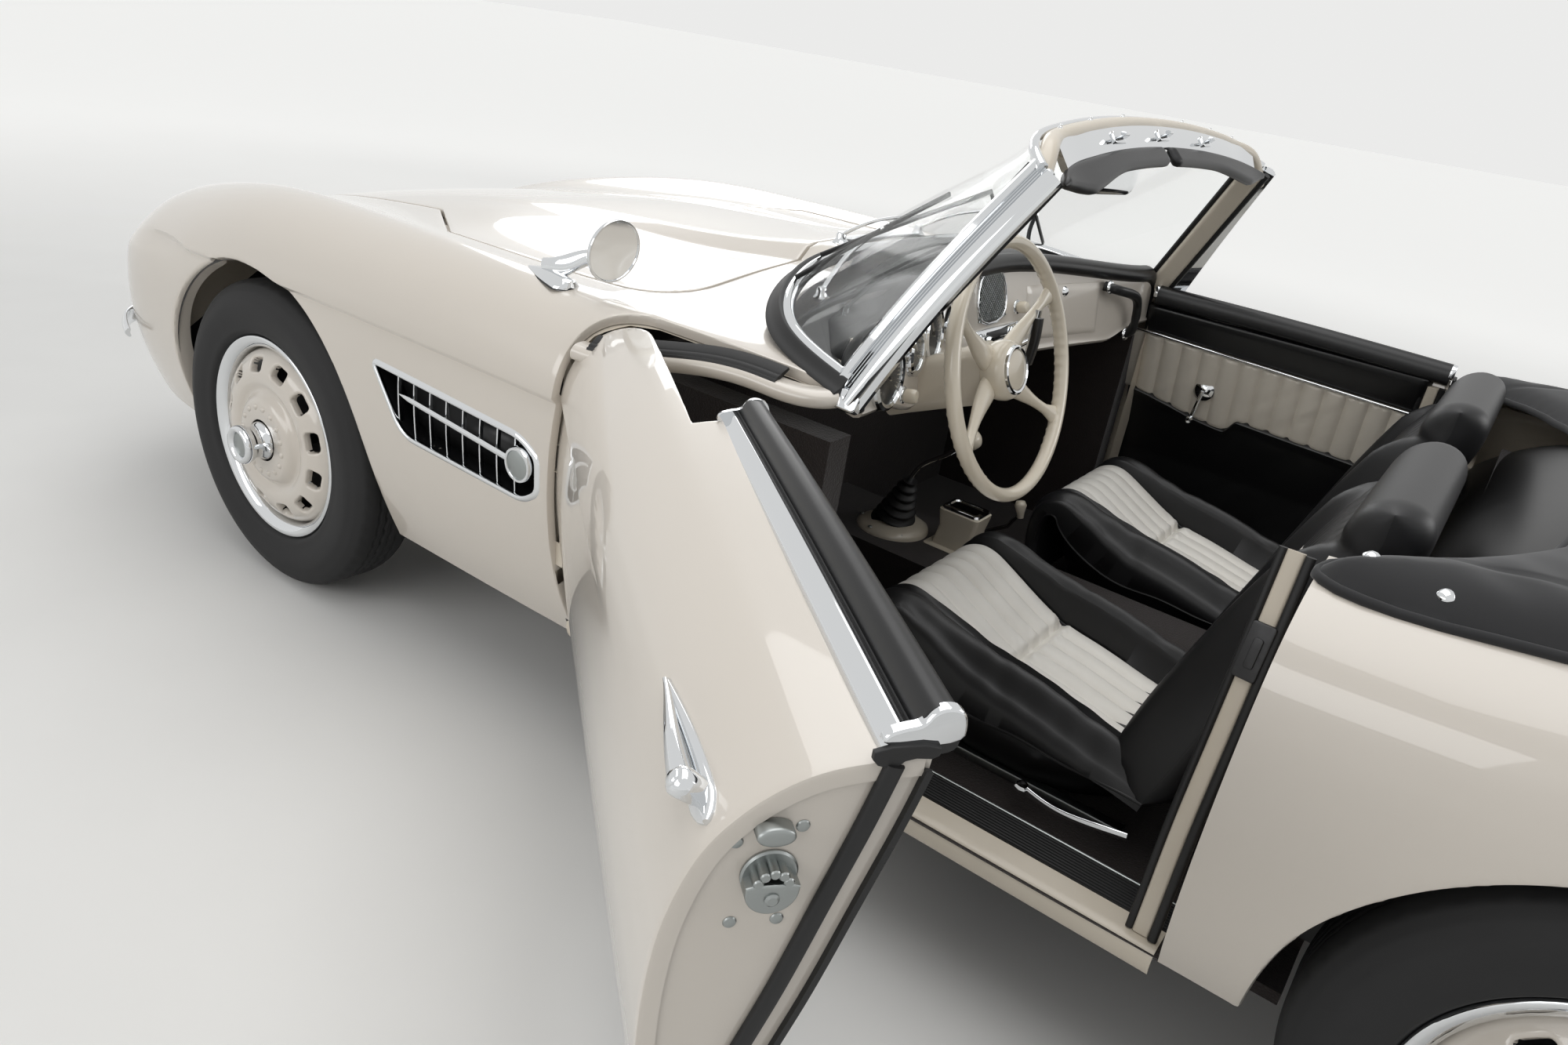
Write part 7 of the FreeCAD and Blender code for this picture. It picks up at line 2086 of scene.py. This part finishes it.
# %% Lamps, grilles and bumpers
rings, bowls, lenses, bulbs = [], [], [], []
for s in (1, -1):
    at = (1900.0, s * LAMP_Y, LAMP_Z)
    rings.append(turned([(73, 22), (76, 29), (80, 31), (85, 28), (88, 20), (89, 8), (87, -6), (78, -12),
                         (72, 8)], at, (1, 0, 0), 72))
    bowls.append(turned([(0, -62), (20, -60), (46, -44), (64, -18), (74, 14), (76, 12), (66, -22), (48, -48),
                         (20, -65), (0, -67)], at, (1, 0, 0), 60))
    lens = [(0, 50.5), (20, 49.5), (40, 45), (58, 37), (70, 28), (74, 23), (73, 20), (56, 33), (38, 41),
            (18, 45.5), (0, 46.5)]
    lenses.append(turned(lens, at, (1, 0, 0), 64))
    for k in range(-5, 6):
        half = math.sqrt(max(66 ** 2 - (k * 11.5) ** 2, 30))
        z = np.linspace(-half, half, 14)
        reach = 42.5 - 18.5 * (z ** 2 + (k * 11.5) ** 2) / 66 ** 2
        path = np.stack([at[0] + reach, np.full(14, at[1] + k * 11.5), at[2] + z], -1)
        lenses.append(swept(path, ring(1.6, 8), (0, 1, 0)))
    bulbs.append(turned([(0, 12), (7, 8), (9, 0), (8, -10), (6, -22), (6, -52), (0, -54)], at, (1, 0, 0), 24))
lamp_rings = solid("headlamp_rings", rings, chrome, sharp=40)
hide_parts("headlamps")
solid("headlamp_bowls", bowls, mirror_glass, sharp=60)
solid("headlamp_lenses", lenses, lens_glass, sharp=60)
solid("headlamp_bulbs", bulbs, lens_glass, sharp=60)
bases, reds = [], []
for s in (1, -1):
    at, way = (-2247.0, s * TAIL_LAMP_Y, TAIL_LAMP_Z), (-1, s * 0.1, 0.1)
    bases.append(turned([(29, 62), (33, 60), (35, 52), (36, 30), (38, 18), (38, 4), (34, 0), (28, 8)], at,
                        way, 48))
    reds.append(turned([(0, 71), (10, 70), (20, 67), (27, 61), (30, 52), (29, 40), (0, 36)], at, way, 48))
lamp_bases = solid("tail_lamp_bases", bases, chrome, sharp=40)
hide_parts("tail_lamps")
solid("tail_lamp_lenses", reds, red_lens, sharp=60)
surrounds, slats, backs = [], [], []
for s in (1, -1):
    middle = np.array([1990.0, s * 205.0, 531.0])
    outline = slot(366, 78, 38, 10)
    path = np.stack([np.full(len(outline), 1990.0), middle[1] + outline[:, 0], 531 + outline[:, 1]], -1)
    surrounds.append(swept(path, rounded([(-4, -9), (-4, 5), (0, 10), (4, 5), (4, -9)], 1), (1, 0, 0), True))
    for k in range(-12, 13):
        tall = 37 if abs(k) < 11 else 37 - 12 * (abs(k) - 10)
        y = middle[1] + k * 14.4
        slats.append(pressed(slot(4.5, 2 * tall, 1.6, 3), 12, (1982.0, y, 531), (1, 0, 0), (0, 0, 1), 1.2))
    for z in (-19, 0, 19):
        wire = np.array([(1986.0, y, 531 + z) for y in np.linspace(middle[1] - 176, middle[1] + 176, 12)])
        slats.append(swept(wire, ring(1.6, 10)))
    # Painted shade: a black plate behind each grille stands for the shade in the grille's mouth, which the skin
    # doesn't open.
    backs.append(pressed(slot(372, 84, 40, 8), 2, (1979.0, middle[1], 531), (1, 0, 0), (0, 0, 1), 0.5))
grille = solid("grille_surrounds", surrounds + slats, chrome, sharp=45)
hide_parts("front_grilles")
solid("grille_shade_plates", backs, black_enamel, sharp=50)
BLADE = rounded([(-13.5, -17), (-9, -22.5), (-4.5, -17), (0, -5), (0, 5), (-4.5, 17), (-9, 22.5), (-13.5, 17),
                 (-10, 0)], 2)
blades = []
for tip, way, z, plan in ((2021.0, 1, 423.0, [(0, 0), (4, 250), (12, 450), (25, 640), (81, 752), (221, 822)]),
                          (-2370.0, -1, 453.0, [(0, 0), (3, 260), (12, 520), (64, 690), (230, 802)])):
    line = np.array([(tip - way * x, y * way, z) for x, y in plan], float)
    half_line = curve(line, 40)
    whole = np.concatenate([half_line[:0:-1] * np.array([1, -1, 1]), half_line])
    shape = np.repeat(BLADE[None], len(whole), 0)
    ends = np.clip(np.minimum(np.arange(len(whole)), len(whole) - 1 - np.arange(len(whole))) / 5.0, 0.25,
                   1) ** 0.5
    blades.append(swept(whole, shape * np.stack([np.ones_like(ends), ends], -1)[:, None]))
    for s in (1, -1):
        k = int(np.argmin(abs(whole[:, 1] - s * 330)))
        spot = whole[k] - np.array([way * 13.0, 0, 0])
        blades.append(pressed(slot(30, 30, 4, 3), 58, spot, (-way, 0, 0), (0, 0, 1), 1.0))
bumper = solid("bumper_blades", blades, chrome, sharp=45)
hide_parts("bumpers")
bolts = [turned([(0, 4), (3.5, 3.4), (5, 1.5), (5.2, 0), (5.2, -2)], (-2324.0, s * 150.0, 515.0),
                (-1, 0, 0.1), 20) for s in (1, -1)]
solid("plate_bolts", bolts, chrome, sharp=45)
print("lamps, grilles and bumpers done")

# %% [markdown]
# Under the doors a painted sill carries a ribbed rubber tread beside a bright strip, and the jamb behind
# the door has a painted post between two seals with a dark striker block. Behind the seats the hood well is
# lined in black.

# %% Sills, jambs and the well's lining
sill_x = np.linspace(DOOR_REAR + 1, DOOR_FRONT + 2, 40)
SILL_COVER = [(6, -40), (-1, -30), (-5, -16), (-4.4, -6), (0, 1), (6, 3.4), (14, 4.4), (60, 4.6), (92, 4.6),
              (92, 0.6), (12, 0.6), (4, -4), (2, -16), (10, -40)]
TREAD_RIB = ((2.0, 5.0), (5.4, 5.0), (6.0, 3.4), (7.6, 3.4))
SILL_TREAD = [(0, 0)] + [(-a - k * 6.2, b) for k in range(9) for a, b in TREAD_RIB] + [(-58, 5), (-60, 0)]
for side_name, side, _ in SIDES:
    edge = []
    for x in sill_x:
        section = section_at(x)
        low = section[EDGE_COLUMN:]
        k = int(np.argmin(abs(low[:, 1] - 281)))
        edge.append((x, low[k, 0]))
    edge = np.array(edge)
    path = np.stack([edge[:, 0], edge[:, 1], np.full(len(edge), 286.4)], -1)
    on_side("sill_cover", side_name, [swept(path, SILL_COVER, (0, 0, 1))], enamel_in, sharp=50)
    line = np.stack([edge[:, 0], np.full(len(edge), 645.0), np.full(len(edge), 288.4)], -1)
    on_side("sill_tread", side_name, [swept(line, SILL_TREAD, (0, 0, 1))], black_rubber, sharp=30)
    strip = np.stack([edge[:, 0], np.full(len(edge), 641.0), np.full(len(edge), 289.5)], -1)
    on_side("sill_strips", side_name, [swept(strip, slot(5, 8, 1.6, 3))], steel, sharp=50)
    post_z = np.array([292, 360, 470, 545, 600, 700, 780, 826], float)
    post_y = np.interp(post_z, DOOR_INSIDE[:, 1], DOOR_INSIDE[:, 0]) - 9
    for key, material, x, wide, thick, lift in (
            ("seal", black_rubber, -739.0, 12, 14, 3), ("post", enamel_in, -722.0, 22, 12, 0),
            ("edge", black_rubber, -706.0, 10, 14, -1)):
        upright = curve(np.stack([np.full(8, x), post_y + lift, post_z], -1), 40)
        on_side("jamb_" + key, side_name, [swept(upright, slot(wide, thick, 4.0, 4), (0, 1, 0))], material,
                sharp=60)
    y = float(np.interp(700, DOOR_INSIDE[:, 1], DOOR_INSIDE[:, 0]))
    striker = [pressed(slot(30, 74, 4, 4), 9, (-722, y - 6, 700), (0.1, 1, 0.25), (0, 0, 1), 1.5)]
    striker += [pressed(slot(12, 40, 3, 3), 5, (-722, y + 1, 700), (0.1, 1, 0.25), (0, 0, 1), 1.0)]
    on_side("jamb_striker", side_name, striker, bare_iron, sharp=45)
well_line = curve([(-800, 0, 300), (-822, 0, 480), (-846, 0, 640), (-880, 0, 760), (-960, 0, 842),
                   (-1050, 0, 872)], 40)
WELL_HALF = 634
well_y = np.linspace(-WELL_HALF, WELL_HALF, 41)
out = abs(well_y / WELL_HALF)
lining = np.array([np.stack([x + 54 * out ** 3, well_y, z - 0.16 * WELL_HALF * out ** 3 * (z > 700)], -1)
                   for x, _, z in well_line])
solid("hood_well_lining", [slab(lining, lining - np.array([4.0, 0, 4.0]))], black_vinyl, sharp=60)

# %% Finishes for the plain CAD nodes
PLAIN = {"floor_pan": brown_carpet, "chassis_rails": black_enamel, "cross_members": black_enamel,
         "engine": bare_iron, "radiator": black_enamel, "exhaust": pipe_steel, "front_suspension": bare_iron,
         "rear_axle": bare_iron, "knuckle_left": bare_iron, "knuckle_right": bare_iron}
for node, material in PLAIN.items():
    thing = frame["nodes"][node]
    for place_of in thing.material_slots:
        place_of.link = "OBJECT"
        place_of.material = material
print("plain nodes", len(PLAIN))
